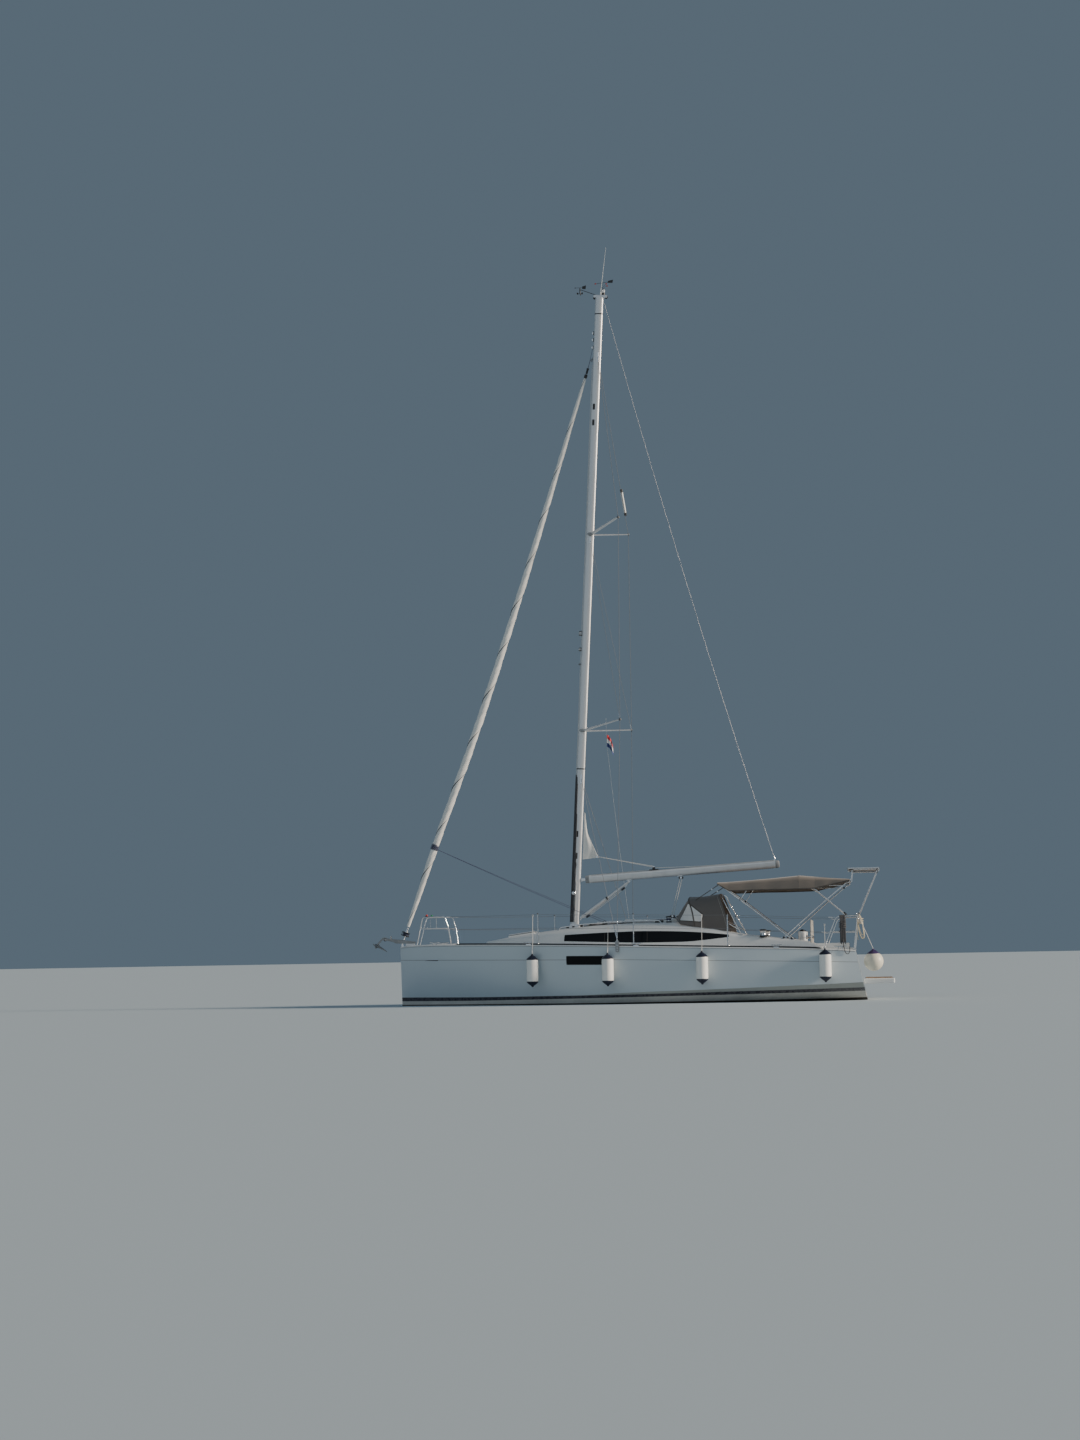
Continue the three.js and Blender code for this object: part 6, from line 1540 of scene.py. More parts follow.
b = Build()
zs = along_x(1.700, 13.600, 330)
NS = 26
rings, cols = [], []
dist, last = 0.0, stay_at(zs[0])
rnd = [random.uniform(-1, 1) for _ in range(64)]


def wob(t, k):
    i = int(math.floor(t)) % 64
    f = t - math.floor(t)
    f = f * f * (3 - 2 * f)
    return lerp(rnd[(i + 7 * k) % 64], rnd[(i + 1 + 7 * k) % 64], f)


for z in zs:
    c = stay_at(z)
    dist += (c - last).length
    last = c
    tdir = (stay_at(min(z + 0.05, 14.0)) - stay_at(max(z - 0.05, 1.6))).normalized()
    nx = Vector((tdir.z, 0, -tdir.x))
    r = sr(z)
    phi = 2 * math.pi * dist / 1.02
    ring = []
    tight = 1 - 0.10 * math.exp(-((z - 3.40) / 0.05) ** 2)      # pulled in where the sheets are tied
    for k in range(NS):
        a = 2 * math.pi * k / NS
        u = k / NS                                               # 0 is the open edge of the roll
        step = 0.13 * (u - 0.5)                                  # spiral wind: one layer's rise, dropping at the edge
        fold = 0.035 * math.sin(3 * a + 2.2 * dist) + 0.022 * math.sin(5 * a - 3.1 * dist) + 0.02 * wob(dist * 2.3 + u * 3, 1)
        rr = r * tight * (1 + step * min(1, (z - 1.6) / 1.2) + fold)
        q = a + phi
        ring.append(c + nx * (rr * math.cos(q)) + Vector((0, 1, 0)) * (rr * math.sin(q)))
    rings.append(ring)
v, f = loft(rings)
# the step face where each wrap overlaps the next gets the dark material: painted shade under the lip of the roll
mats = []
for i in range(len(rings) - 1):
    for k in range(NS):
        mats.append(1 if k in (NS - 1,) else 0)
mats += [0, 0]
b.add(v, f, mats)
# tack webbing, head swivel, halyard
b.lathe([(0.006, -0.02), (0.030, -0.016), (0.034, 0.0), (0.034, 0.055), (0.026, 0.065), (0.006, 0.067)], stay_at(13.62), (stay_at(13.8) - stay_at(13.6)), 18, 2)
b.lathe([(0.006, 0.0), (0.022, 0.0), (0.022, 0.09), (0.028, 0.095), (0.028, 0.125), (0.006, 0.130)], stay_at(13.70), (stay_at(13.8) - stay_at(13.6)), 18, 2)
b.tube([stay_at(z) for z in (13.60, 13.80, 13.98)] + [on_mast(14.07, FA / 2 - 0.012)], 0.0065, 8, 3)
b.lathe([(0.004, 0), (0.011, 0.002), (0.011, 0.10), (0.006, 0.12)], on_mast(14.07, FA / 2 - 0.006), (stay_at(13.6) - on_mast(14.07, FA / 2)), 12, 3)
b.tube([stay_at(13.83) + Vector((-0.01, 0.02, 0)), on_mast(14.24, FA / 2 + 0.02, 0.0)], 0.004, 6, 4)
# sheets wrapped round the roll at the clew
c0 = stay_at(3.40)
td = (stay_at(3.5) - stay_at(3.3)).normalized()
nx = Vector((td.z, 0, -td.x))
wrap = []
for i in range(90):
    a = i / 14 * 2 * math.pi
    wrap.append(c0 + td * (-0.05 + 0.017 * i / 14) + nx * (0.083 * math.cos(a)) + Vector((0, 0.083 * math.sin(a), 0)))
b.tube(wrap, 0.0065, 6, 4)
b.obj("genoa_roll", [M["sail"], M["roll_lip_shade"], M["black"], M["wire"], M["rope_navy"]], ROOT, "furled_genoa", "sailcloth", angle=55)

# drum with its line guard, toggle and tack
DR = Vector((-0.328, 0, 0.945)).normalized()
d0 = Vector((4.846, 0, 1.587))
b = Build()
b.lathe([(0.010, -0.096), (0.088, -0.096), (0.092, -0.091), (0.092, -0.084), (0.088, -0.080), (0.030, -0.080)], d0, DR, 32)
b.lathe([(0.030, -0.082), (0.056, -0.082), (0.056, -0.020), (0.030, -0.020)], d0, DR, 28, 1)
b.lathe([(0.030, -0.022), (0.088, -0.022), (0.092, -0.018), (0.092, -0.012), (0.086, -0.008), (0.020, -0.008)], d0, DR, 32)
b.lathe([(0.010, -0.010), (0.034, -0.010), (0.034, 0.01), (0.024, 0.05), (0.018, 0.10), (0.010, 0.10)], d0, DR, 20, 2)
b.lathe([(0.006, -0.300), (0.013, -0.298), (0.013, -0.190), (0.019, -0.185), (0.019, -0.130), (0.013, -0.125), (0.013, -0.090), (0.006, -0.090)], d0, DR, 16, 2)
for k in range(5):
    a = 2 * math.pi * k / 5 + 0.3
    u = Vector((DR.z, 0, -DR.x)) * math.cos(a) + Vector((0, 1, 0)) * math.sin(a)
    b.rod(d0 + DR * -0.09 + u * 0.082, d0 + DR * -0.014 + u * 0.082, 0.004, 8)
for i in range(4):
    b.tube([d0 + DR * (-0.070 + 0.013 * i) + (Vector((DR.z, 0, -DR.x)) * math.cos(t) + Vector((0, 1, 0)) * math.sin(t)) * 0.060 for t in [2 * math.pi * j / 20 for j in range(20)]], 0.0055, 6, 3, closed=True)
b.plate(rounded_poly([(4.905, 1.275), (4.962, 1.265), (4.958, 1.338), (4.916, 1.340)], 0.010, 3), -0.005, 0.005, "y", 2, 0.0015)
b.obj("furler_drum_unit", [M["black"], M["grey"], M["steel"], M["rope_navy"]], ROOT, "furler_drum", "black_plastic", angle=38)


# ------------------------------------------------------------------ boom, vang, clew, topping lift, mainsheet
GZ, GX = 2.633, 1.171 - (2.633 - 1.652) * 0.0586 - 0.089 - 0.028


def hinge_x(z):
    return GX - (z - GZ) * 0.0586


BEND = Vector((-3.235, 0, 2.880))
G0 = Vector((GX, 0, GZ))
BT = (BEND - G0).normalized()
BN = Vector((-BT.z, 0, BT.x)) * (-1 if BT.x < 0 else 1)
BL = (BEND - G0).length


def on_boom(d, up=0.0, y=0.0):
    return G0 + BT * d + BN * up + Vector((0, y, 0))


QB = Matrix((BT * 1.0, Vector((0, 1, 0)), BN)).transposed().to_3x3()
if QB.determinant() < 0:
    QB = Matrix((BT * -1.0, Vector((0, 1, 0)), BN)).transposed().to_3x3()
QB = QB.to_quaternion()


def boom_ring(d, h=0.160, w=0.100, n=28):
    out = []
    for i in range(n):
        a = 2 * math.pi * i / n
        c, s = math.cos(a), math.sin(a)
        up = h / 2 * math.copysign(abs(s) ** 0.75, s)
        side = w / 2 * math.copysign(abs(c) ** 0.75, c) * (1.0 if s > -0.2 else 0.92)
        out.append(on_boom(d, up, side))
    return out


b = Build()
b.add(*loft([boom_ring(d) for d in along_x(0.15, BL - 0.075, 12)]))
# gooseneck casting and end cap
b.add(*loft([boom_ring(0.075, 0.130, 0.080), boom_ring(0.085, 0.156, 0.096), boom_ring(0.152, 0.164, 0.104), boom_ring(0.160, 0.158, 0.098)]), mat=1)
b.add(*loft([boom_ring(BL - 0.085, 0.158, 0.098), boom_ring(BL - 0.078, 0.165, 0.105), boom_ring(BL - 0.020, 0.156, 0.098), boom_ring(BL - 0.002, 0.120, 0.074)]), mat=1)
b.box((-0.055, -0.013, -0.028), (0.055, 0.013, 0.028), 0.006, 2, QB, on_boom(0.035, 0.0))
b.rod((hinge_x(GZ - 0.042), 0, GZ - 0.042), (hinge_x(GZ + 0.042), 0, GZ + 0.042), 0.0125, 14, 2)
# sheet and vang slides under the boom, slot along its top
for d in (1.010, 2.108):
    b.box((-0.055, -0.016, -0.008), (0.055, 0.016, 0.008), 0.004, 2, QB, on_boom(d, -0.083))
b.tube([on_boom(d, -0.0800) for d in along_x(0.20, BL - 0.12, 8)], 0.007, 8, 3, flat=0.5)
b.tube([on_boom(d, 0.0800) for d in along_x(0.20, BL - 0.12, 8)], 0.007, 8, 3, flat=0.5)
for s in (1, -1):
    b.tube([on_boom(d, 0.030, s * 0.0500) for d in along_x(0.17, BL - 0.09, 8)], 0.0022, 6, 0)
    b.tube([on_boom(d, -0.035, s * 0.0492) for d in along_x(0.17, BL - 0.09, 8)], 0.0022, 6, 0)
    for d in (0.11, BL - 0.05):
        for up in (-0.045, 0.045):
            b.lathe([(0.002, 0), (0.006, 0.0), (0.005, 0.003), (0.002, 0.003)], on_boom(d, up, s * 0.0515), (0, s, 0), 10, 2)
# outhaul car and block on top of the boom, line back to the mast end
b.box((-0.10, -0.022, -0.010), (0.10, 0.022, 0.010), 0.006, 3, QB, on_boom(1.56, 0.092))
b.box((-0.030, -0.014, -0.026), (0.030, 0.014, 0.026), 0.010, 3, QB, on_boom(1.56, 0.124))
b.lathe([(0.004, -0.010), (0.026, -0.010), (0.022, 0), (0.026, 0.010), (0.004, 0.010)], on_boom(1.56, 0.146), (0, 1, 0), 18, 2)
CLEW = Vector((0.628, 0, 3.112))
for k, s in ((0, 1), (1, -1)):
    b.tube([CLEW + Vector((-0.012, s * 0.010, 0.004)), on_boom(1.545, 0.148 + 0.022 * k, s * 0.012)], 0.0045, 8, 4)
b.tube([on_boom(1.60, 0.128, 0.008), on_boom(2.6, 0.0865, 0.012), on_boom(BL - 0.10, 0.0855, 0.012)], 0.0045, 6, 4)
b.tube([on_boom(1.50, 0.098, -0.012), on_boom(0.9, 0.0865, -0.014), on_boom(0.17, 0.0865, -0.014)], 0.0045, 6, 4)
# reefing eyes at the end, topping lift strop
b.box((-0.022, -0.010, -0.020), (0.022, 0.010, 0.020), 0.006, 2, QB, on_boom(BL - 0.090, 0.092))
b.lathe([(0.004, -0.006), (0.020, -0.006), (0.020, 0.006), (0.004, 0.006)], on_boom(BL - 0.012, 0.0, 0), (0, 1, 0), 16, 2)
b.obj("boom_tube", [M["mast"], M["grey"], M["steel"], M["black"], M["rope_white"]], "boom", "boom", "anodised_alloy", angle=38)

b = Build()
vf, vt = Vector((hinge_x(1.810), 0, 1.810)), on_boom(1.010, -0.112)
d = (vt - vf).normalized()
L = (vt - vf).length
b.lathe([(0.006, 0.035), (0.026, 0.038), (0.031, 0.055), (0.031, L * 0.55), (0.027, L * 0.55 + 0.012), (0.0205, L * 0.55 + 0.016), (0.0205, L - 0.05), (0.024, L - 0.046), (0.024, L - 0.012), (0.006, L - 0.010)], vf, d, 24)
b.lathe([(0.010, L * 0.55 - 0.03), (0.0335, L * 0.55 - 0.028), (0.0335, L * 0.55 + 0.010), (0.022, L * 0.55 + 0.014)], vf, d, 24, 1)
b.rod((hinge_x(1.770), 0, 1.770), (hinge_x(1.850), 0, 1.850), 0.021, 18, 2)
b.box((-0.035, -0.012, -0.022), (0.035, 0.012, 0.022), 0.006, 2, Vector((1, 0, 0)).rotation_difference(d), vf + d * 0.030)
b.rod(vt, on_boom(1.010, -0.0815), 0.011, 14, 2)
b.box((-0.028, -0.014, -0.020), (0.028, 0.014, 0.020), 0.006, 2, Vector((1, 0, 0)).rotation_difference(d), vt - d * 0.006)
# purchase under the strut
u = Vector((d.z, 0, -d.x))
pa, pb = vf + u * 0.030 + d * 0.12, vt + u * 0.010 - d * 0.14
if pa.z > vf.z + d.z * 0.12:
    u = -u
    pa, pb = vf + u * 0.030 + d * 0.12, vt + u * 0.010 - d * 0.14
q = Vector((1, 0, 0)).rotation_difference(d)
pa, pb = vf + u * 0.062 + d * 0.16, vt + u * 0.052 - d * 0.20
for c in (pa, pb):
    b.box((-0.050, -0.020, -0.020), (0.050, 0.020, 0.020), 0.012, 1, q, c)
for y, w in ((-0.014, -0.012), (0.0, -0.016), (0.014, -0.012), (0.007, 0.012)):
    b.tube([pa + Vector((0, y, 0)) + u * w, pb + Vector((0, -y, 0)) + u * w], 0.004, 6, 3)
b.tube([pb + d * 0.05, vt - d * 0.03 + u * 0.012], 0.006, 8, 2)
b.tube([pa - d * 0.05, vf + d * 0.02 + u * 0.008], 0.006, 8, 2)
b.obj("boom_vang_strut", [M["mast"], M["black"], M["steel"], M["rope_white"]], "boom", "boom_vang", "anodised_alloy", angle=38)

# clew of the furled mainsail: a cloth corner pulled out of the mast
rows = [((4.080, hinge_x(4.080) + 0.004), (4.062, hinge_x(4.062) - 0.010)), ((3.70, hinge_x(3.70) + 0.004), (3.685, 0.868)), ((3.36, hinge_x(3.36) + 0.004), (3.345, 0.742)), ((3.075, hinge_x(3.075) + 0.004), (3.105, 0.634))]
luff_z = pchip([0, 1, 2, 3], [-r[0][0] for r in rows])
leech_z = pchip([0, 1, 2, 3], [-r[1][0] for r in rows])
leech_x = pchip([0, 1, 2, 3], [-r[1][1] for r in rows])
grid = []
for i in range(30):
    t = 3 * i / 29
    a = Vector((hinge_x(-luff_z(t)) + 0.004, 0, -luff_z(t)))
    c = Vector((-leech_x(t), 0, -leech_z(t)))
    row = []
    for j in range(20):
        w = j / 19
        p = a.lerp(c, w)
        p.y = 0.020 * math.sin(math.pi * w) * math.sin(math.pi * min(1, i / 26)) + 0.006 * math.sin(7 * w + 0.25 * i) * w * (1 - w) * 2
        row.append(p)
    grid.append(row)
b = Build()
v, f, uv = shell(grid, 0.004)
b.add(v, f, 0, True, uv)
clew = b.obj("mainsail_clew_cloth", [M["sail"]], "boom", "mainsail_clew", "sailcloth", angle=60)
for i in range(29):
    for j in range(19):
        p0, p1, p2, p3 = grid[i][j], grid[i][j + 1], grid[i + 1][j + 1], grid[i + 1][j]
b = Build()
# leech tape, corner patch rings and the clew ring
b.tube([grid[i][19] for i in range(30)], 0.006, 6, 0, flat=0.6)
b.tube([grid[29][j] for j in range(20)], 0.006, 6, 0, flat=0.6)
b.lathe([(0.013, -0.006), (0.024, -0.006), (0.024, 0.006), (0.013, 0.006)], grid[29][18] + Vector((0.012, 0, 0.018)), (0, 1, 0), 20, 1)
for k in range(4):
    pts = [grid[29 - int((5 + 2.4 * k) * (1 - t))][19 - int((5 + 2.2 * k) * t)] + Vector((0, 0.0035, 0)) for t in (0, 0.25, 0.5, 0.75, 1)]
    b.tube(spline(pts, 12), 0.0016, 5, 2)
b.obj("clew_fittings", [M["sail"], M["steel"], M["thread"]], "boom", (), "sailcloth", angle=60)

b = Build()
lt, lf = Vector((hinge_x(15.25), 0, 15.25)), on_boom(BL - 0.090, 0.106)
pts = [lt.lerp(lf, t) + Vector((4 * t * (1 - t) * 0.060, 0, -4 * t * (1 - t) * 0.060)) for t in along_x(0, 1, 26)]
b.tube(pts, 0.0035, 7, 0)
swage(b, lf, pts[-2], 0.09, 0.008, 1)
b.box((-0.014, -0.008, -0.018), (0.014, 0.008, 0.018), 0.005, 1, None, lf - Vector((0, 0, 0.008)))
b.obj("topping_lift_wire", [M["wire"], M["steel"]], "boom", "topping_lift", "stainless", angle=50)

# mainsheet: upper block hangs on the boom, lower block on the coachroof
st = on_boom(2.108, -0.086)
low = Vector((-0.932, 0, 1.802))
for mode in (0,):
    b = Build()
    hi = st + Vector((-0.020, 0, -0.036))
    for c, z0 in ((hi, -1), (low + Vector((0, 0, 0.012)), 1)):
        b.box(c - Vector((0.052, 0.020, 0.026)), c + Vector((0.052, 0.020, 0.026)), 0.014, 0)
        for y in (-0.0205, 0.0205):
            b.lathe([(0.004, -0.002), (0.022, -0.002), (0.022, 0.002), (0.004, 0.002)], c + Vector((0, y, 0)), (0, 1, 0), 18, 1)
    b.rod(st + Vector((-0.02, 0, 0.006)), hi + Vector((0, 0, 0.02)), 0.006, 10, 1)
    b.box((low.x - 0.060, -0.018, 1.7665), (low.x + 0.060, 0.018, 1.776), 0.004, 1)
    b.rod(Vector((low.x, 0, 1.772)), low + Vector((0, 0, -0.002)), 0.007, 10, 1)
    for dx, y in ((-0.020, 0.012), (-0.020, -0.012), (0.020, 0.012), (0.020, -0.012)):
        n = 16
        a, c = Vector((hi.x + dx, y, hi.z - 0.02)), Vector((low.x + dx, y, low.z + 0.03))
        b.tube([a.lerp(c, i / n) for i in range(n + 1)], 0.005, 7, 2)
    me = b.obj("mainsheet_tackle", [M["black"], M["steel"], M["rope_white"]], ROOT, "mainsheet", "black_plastic", angle=40, stay=True)
    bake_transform(me)

# ------------------------------------------------------------------ rails
TR = 0.0125
b = Build()


def deck_at(x, y, up=-0.004):
    return deck_top(x, y) + up


def base_plate(build, x, y, mat=0, r=0.030, up=None):
    z = deck_top(x, y) if up is None else up
    build.lathe([(0.004, -0.004), (r, -0.004), (r, 0.003), (r * 0.86, 0.0055), (TR + 0.003, 0.006), (TR + 0.003, 0.022), (0.004, 0.022)], (x, y, z), (0, 0, 1), 22, mat)


for s in (1, -1):
    pts = [(4.585, s * 0.160, deck_at(4.585, 0.160)), (4.470, s * 0.225, 1.780), (4.434, s * 0.250, 1.893), (4.250, s * 0.350, 1.898), (3.910, s * 0.500, 1.897), (3.840, s * 0.480, 1.650), (3.789, s * 0.430, deck_at(3.789, 0.430))]
    b.tube(fillet(pts, [0, 0.02, 0.10, 0.12, 0.055, 0.03, 0], 7), TR, 14)
    b.tube([(4.502, s * 0.207, 1.650), (4.18, s * 0.372, 1.650), (3.838, s * 0.480, 1.650)], 0.010, 12)
    base_plate(b, 4.585, s * 0.160)
    base_plate(b, 3.789, s * 0.430)
    # a small step and the navigation light on its bracket
    b.rod((4.25, s * 0.35, 1.898), (4.25, s * 0.352, 1.655), 0.008, 12)
for s, m in ((1, 1), (-1, 2)):
    c = Vector((4.340, s * 0.302, 1.927))
    b.box((c.x - 0.030, c.y - 0.022, c.z - 0.020), (c.x + 0.030, c.y + 0.022, c.z - 0.012), 0.003, 3)
    b.lathe([(0.004, -0.014), (0.024, -0.013), (0.024, 0.014), (0.014, 0.020), (0.004, 0.021)], c, (0, 0, 1), 16, m)
b.box((4.562, -0.176, deck_top(4.59, 0) - 0.004), (4.620, 0.176, deck_top(4.59, 0) + 0.008), 0.004, 0)
b.obj("pulpit_tubes", [M["steel"], M["red"], M["green"], M["black"]], ROOT, "pulpit", "stainless", angle=40)

ST = [(1.785, Section(1.785).ys - 0.096, 1.900), (-0.245, Section(-0.245).ys - 0.096, 1.855), (-2.190, Section(-2.190).ys - 0.096, 1.810)]
for name, s in (("lifelines_port", 1), ("lifelines_starboard", -1)):
    b = Build()
    ends = [(3.885, 0.495, 1.890, 1.620)] + [(x, y, z - 0.015, z - 0.295) for x, y, z in ST] + [(-4.390, 1.494, 1.708, 1.400)]
    for x, y, z in ST:
        zb = deck_top(x, y)
        b.lathe([(0.004, 0), (0.0135, 0.0), (0.0135, z - zb - 0.006), (0.010, z - zb), (0.004, z - zb + 0.001)], (x, s * y, zb), (0, 0, 1), 14)
        b.lathe([(0.004, -0.006), (0.040, -0.006), (0.040, 0.004), (0.024, 0.008), (0.020, 0.040), (0.0135, 0.044)], (x, s * y, zb), (0, 0, 1), 22)
        b.lathe([(0.004, 0), (0.015, 0.0), (0.015, 0.014), (0.010, 0.022), (0.004, 0.023)], (x, s * y, z - 0.008), (0, 0, 1), 14, 1)
    for k in (2, 3):
        pts = []
        for i in range(len(ends) - 1):
            A, Bv = Vector((ends[i][0], s * ends[i][1], ends[i][k])), Vector((ends[i + 1][0], s * ends[i + 1][1], ends[i + 1][k]))
            d = (Bv - A).normalized()
            if i == 0:
                A = A + d * 0.014
            if i == len(ends) - 2:
                Bv = Bv - d * (0.040 if k == 2 else 0.190)
            n = 7
            for j in range(n + (1 if i == len(ends) - 2 else 0)):
                t = j / n
                q = A.lerp(Bv, t)
                q.z -= 4 * t * (1 - t) * 0.006
                pts.append(q)
        b.tube(pts, 0.0034, 7, 2)
        # pelican hook at the bow end, bottle screw aft
        d = (pts[1] - pts[0]).normalized()
        b.lathe([(0.003, -0.045), (0.006, -0.043), (0.006, 0.0), (0.010, 0.008), (0.010, 0.075), (0.005, 0.085)], pts[0], d, 12, 0)
        d = (pts[-2] - pts[-1]).normalized()
        b.lathe([(0.003, -0.040 if k == 2 else -0.09), (0.0055, -0.038 if k == 2 else -0.085), (0.0055, 0.0), (0.0095, 0.010), (0.0095, 0.080), (0.0045, 0.10)], pts[-1], d, 12, 0)
    b.obj(name + "_wires", [M["steel"], M["black"], M["wire"]], ROOT, name, "stainless", angle=40)

for name, s in (("pushpit_port", 1), ("pushpit_starboard", -1)):
    b = Build()
    pts = [(-4.153, s * 1.500, deck_at(-4.153, 1.5)), (-4.400, s * 1.498, 1.690), (-4.470, s * 1.490, 1.728), (-4.853, s * 1.400, 1.745), (-4.866, s * 1.080, 1.745), (-4.775, s * 1.060, deck_at(-4.690, 1.06))]
    b.tube(fillet(pts, [0, 0.04, 0.04, 0.10, 0.10, 0], 7), TR, 14)
    b.rod((-4.760, s * 1.400, deck_at(-4.690, 1.4)), (-4.845, s * 1.398, 1.742), TR, 14)
    b.tube(fillet([(-4.290, s * 1.498, 1.420), (-4.810, s * 1.399, 1.420), (-4.820, s * 1.070, 1.420)], 0.06, 6), 0.010, 12)
    base_plate(b, -4.153, s * 1.500)
    base_plate(b, -4.757, s * 1.400, up=deck_top(-4.99, 1.4) + 0.001)
    base_plate(b, -4.778, s * 1.060, up=deck_top(-4.99, 1.06) + 0.002)
    if s > 0:
        # stern light on the corner, on a small black base
        c = Vector((-4.868, 1.24, 1.77))
        b.lathe([(0.004, -0.020), (0.024, -0.018), (0.024, 0.018), (0.016, 0.024), (0.004, 0.025)], c, (0, 0, 1), 16, 2)
        b.box((c.x - 0.02, c.y - 0.02, 1.742), (c.x + 0.02, c.y + 0.02, 1.752), 0.003, 1)
    b.obj(name + "_tubes", [M["steel"], M["black"], M["lens"]], ROOT, name, "stainless", angle=40)


# ------------------------------------------------------------------ bimini, its cloth, the stern panel
def ribbon(build, pts, normals, width, thick, mat=0):
    """A flat strip along pts, lying on the side the normals point to."""
    rings = []
    n = len(pts)
    for i, p in enumerate(pts):
        t = (pts[min(i + 1, n - 1)] - pts[max(i - 1, 0)]).normalized()
        nn = Vector(normals[i] if isinstance(normals, list) else normals)
        nn = (nn - t * nn.dot(t)).normalized()
        w = t.cross(nn).normalized() * (width / 2)
        rings.append([p - w, p - w * 0.9 + nn * thick, p + w * 0.9 + nn * thick, p + w, p + w * 0.9 - nn * 0.0004, p - w * 0.9 - nn * 0.0004])
    return build.add(*loft(rings), mat=mat)


def half_area(ob):
    bm = bmesh.new()
    bm.from_mesh(ob.data)
    a = sum(f.calc_area() for f in bm.faces) / 2
    bm.free()
    return a


COLS = [0.0, 0.52, 0.90, 0.965, 1.0]
COLY = pchip(COLS, [0.0, 0.560, 1.010, 1.098, 1.112])
CROWN = [(-1.965, 2.492), (-1.995, 2.4985), (-2.213, 2.510), (-3.000, 2.5665), (-3.560, 2.605), (-3.664, 2.6145), (-3.770, 2.607), (-4.016, 2.583), (-4.600, 2.522), (-4.692, 2.5125), (-4.712, 2.504)]
HEM = [(-1.965, 2.446), (-2.213, 2.300), (-3.000, 2.303), (-3.664, 2.309), (-4.016, 2.318), (-4.712, 2.464)]
SHOULDER = [(-1.965, 2.474), (-1.995, 2.479), (-2.213, 2.486), (-3.000, 2.530), (-3.664, 2.577), (-4.016, 2.548), (-4.692, 2.499), (-4.712, 2.494)]


def table(rows, x):
    if x >= rows[0][0]:
        return rows[0][1]
    for (xa, za), (xb, zb) in zip(rows, rows[1:]):
        if x >= xb:
            return lerp(za, zb, (xa - x) / (xa - xb))
    return rows[-1][1]


def canopy_at(x, t, up=0.0, lift=True):
    a = abs(t)
    cr, he, sh = table(CROWN, x), table(HEM, x), table(SHOULDER, x)
    z = pchip(COLS, [cr, lerp(sh, cr, 0.75), sh, lerp(he, sh, 0.7), he])(a)
    y = math.copysign(COLY(a), t)
    if lift:
        for x0, x1, dip in ((-1.995, -3.664, 0.013), (-3.664, -4.692, 0.008)):
            if x1 < x < x0:
                u = (x0 - x) / (x0 - x1)
                k = math.sin(math.pi * u)
                z -= dip * k * (1 - a * a)
                if a > 0.86:
                    q = (a - 0.86) / 0.14
                    y -= math.copysign(1, t) * (0.010 * k * q + 0.0035 * math.sin(19 * u + 2 * q) * q * k)
                    z -= 0.004 * k * q * math.sin(9 * u)
                z += 0.0016 * math.sin(23 * u + 3.1 * a) * k * math.sin(math.pi * min(1, a * 1.05))
    return Vector((x, y, z + up))


xs = sorted(set([round(v_, 4) for v_ in along_x(-1.965, -4.712, 58)] + [-1.995, -2.213, -3.664, -4.016, -4.692]), reverse=True)
ts = sorted(set([round(v_, 4) for v_ in along_x(-1, 1, 40)] + [-0.965, 0.965, -0.9, 0.9, -0.93, 0.93, -0.985, 0.985]))
grid = [[canopy_at(x, t) for t in ts] for x in xs]
b = Build()
v, f, uv = shell(grid, 0.0026)
b.add(v, f, 0, True, uv)
canopy = b.obj("bimini_cloth", [M["canvas"]], ROOT, "bimini_canopy", "taupe_canvas", angle=60)
wl = max(sum((r[i + 1] - r[i]).length for i in range(len(r) - 1)) for r in grid)
ll = max(sum((grid[i + 1][j] - grid[i][j]).length for i in range(len(grid) - 1)) for j in range(len(ts)))
round(half_area(canopy), 3)
SHEETS = {"bimini cloth": (wl, ll, half_area(canopy))}

# seams, hem binding and the pockets that hold the bows
b = Build()
for t in (-0.52, 0.52):
    pts = [canopy_at(x, t, 0.0013) for x in along_x(-1.98, -4.70, 50)]
    ribbon(b, pts, (0, 0, 1), 0.016, 0.0011, 0)
    for o in (-0.0055, 0.0055):
        b.tube([p + Vector((0, o, 0.0013)) for p in pts], 0.0006, 4, 2)
for s in (1, -1):
    # the ridge seam down to the hem at the middle bow, and the hem binding
    for x in (-2.225, -3.664, -4.016):
        pts = [canopy_at(x, s * t) for t in along_x(0.78 if x != -3.664 else 0.0, 1.0, 16 if x != -3.664 else 34)]
        nn = [Vector((0, s * (0.05 if t < 0.88 else 0.9), 1.0 if t < 0.88 else 0.35)).normalized() for t in along_x(0.78 if x != -3.664 else 0.0, 1.0, 16 if x != -3.664 else 34)]
        pts = [p + n_ * 0.0013 for p, n_ in zip(pts, nn)]
        ribbon(b, pts, nn, 0.018, 0.0010, 0)
    pts = [canopy_at(x, s) for x in xs]
    for side in (1, -1):
        ribbon(b, [p + Vector((0, side * 0.0013, 0.009)) for p in pts], (0, side, 0), 0.020, 0.0012, 1)
    b.tube([p - Vector((0, 0, 0.0010)) for p in pts], 0.0023, 6, 1)
for x, dx in ((-1.995, 0.016), (-4.692, -0.010), (-3.664, 0.0)):
    # pocket under the cloth around each bow
    pts = [canopy_at(x, t) - Vector((0, 0, 0.0150)) for t in along_x(-0.90, 0.90, 48)]
    n0 = len(pts)
    rings = []
    for i, p in enumerate(pts):
        rings.append([p + Vector((0.0165 * math.cos(a), 0, 0.0155 * math.sin(a))) for a in [2 * math.pi * k / 14 for k in range(14)]])
    b.add(*loft(rings, caps=False))
    for o in (-0.020, 0.020):
        ribbon(b, [canopy_at(x, t) + Vector((o * 0.9, 0, 0.0013)) for t in along_x(-0.90, 0.90, 40)], (0, 0, 1), 0.004, 0.0008, 2)
b.obj("bimini_trim", [M["canvas"], M["binding"], M["thread"]], ROOT, (), "taupe_canvas", angle=50)


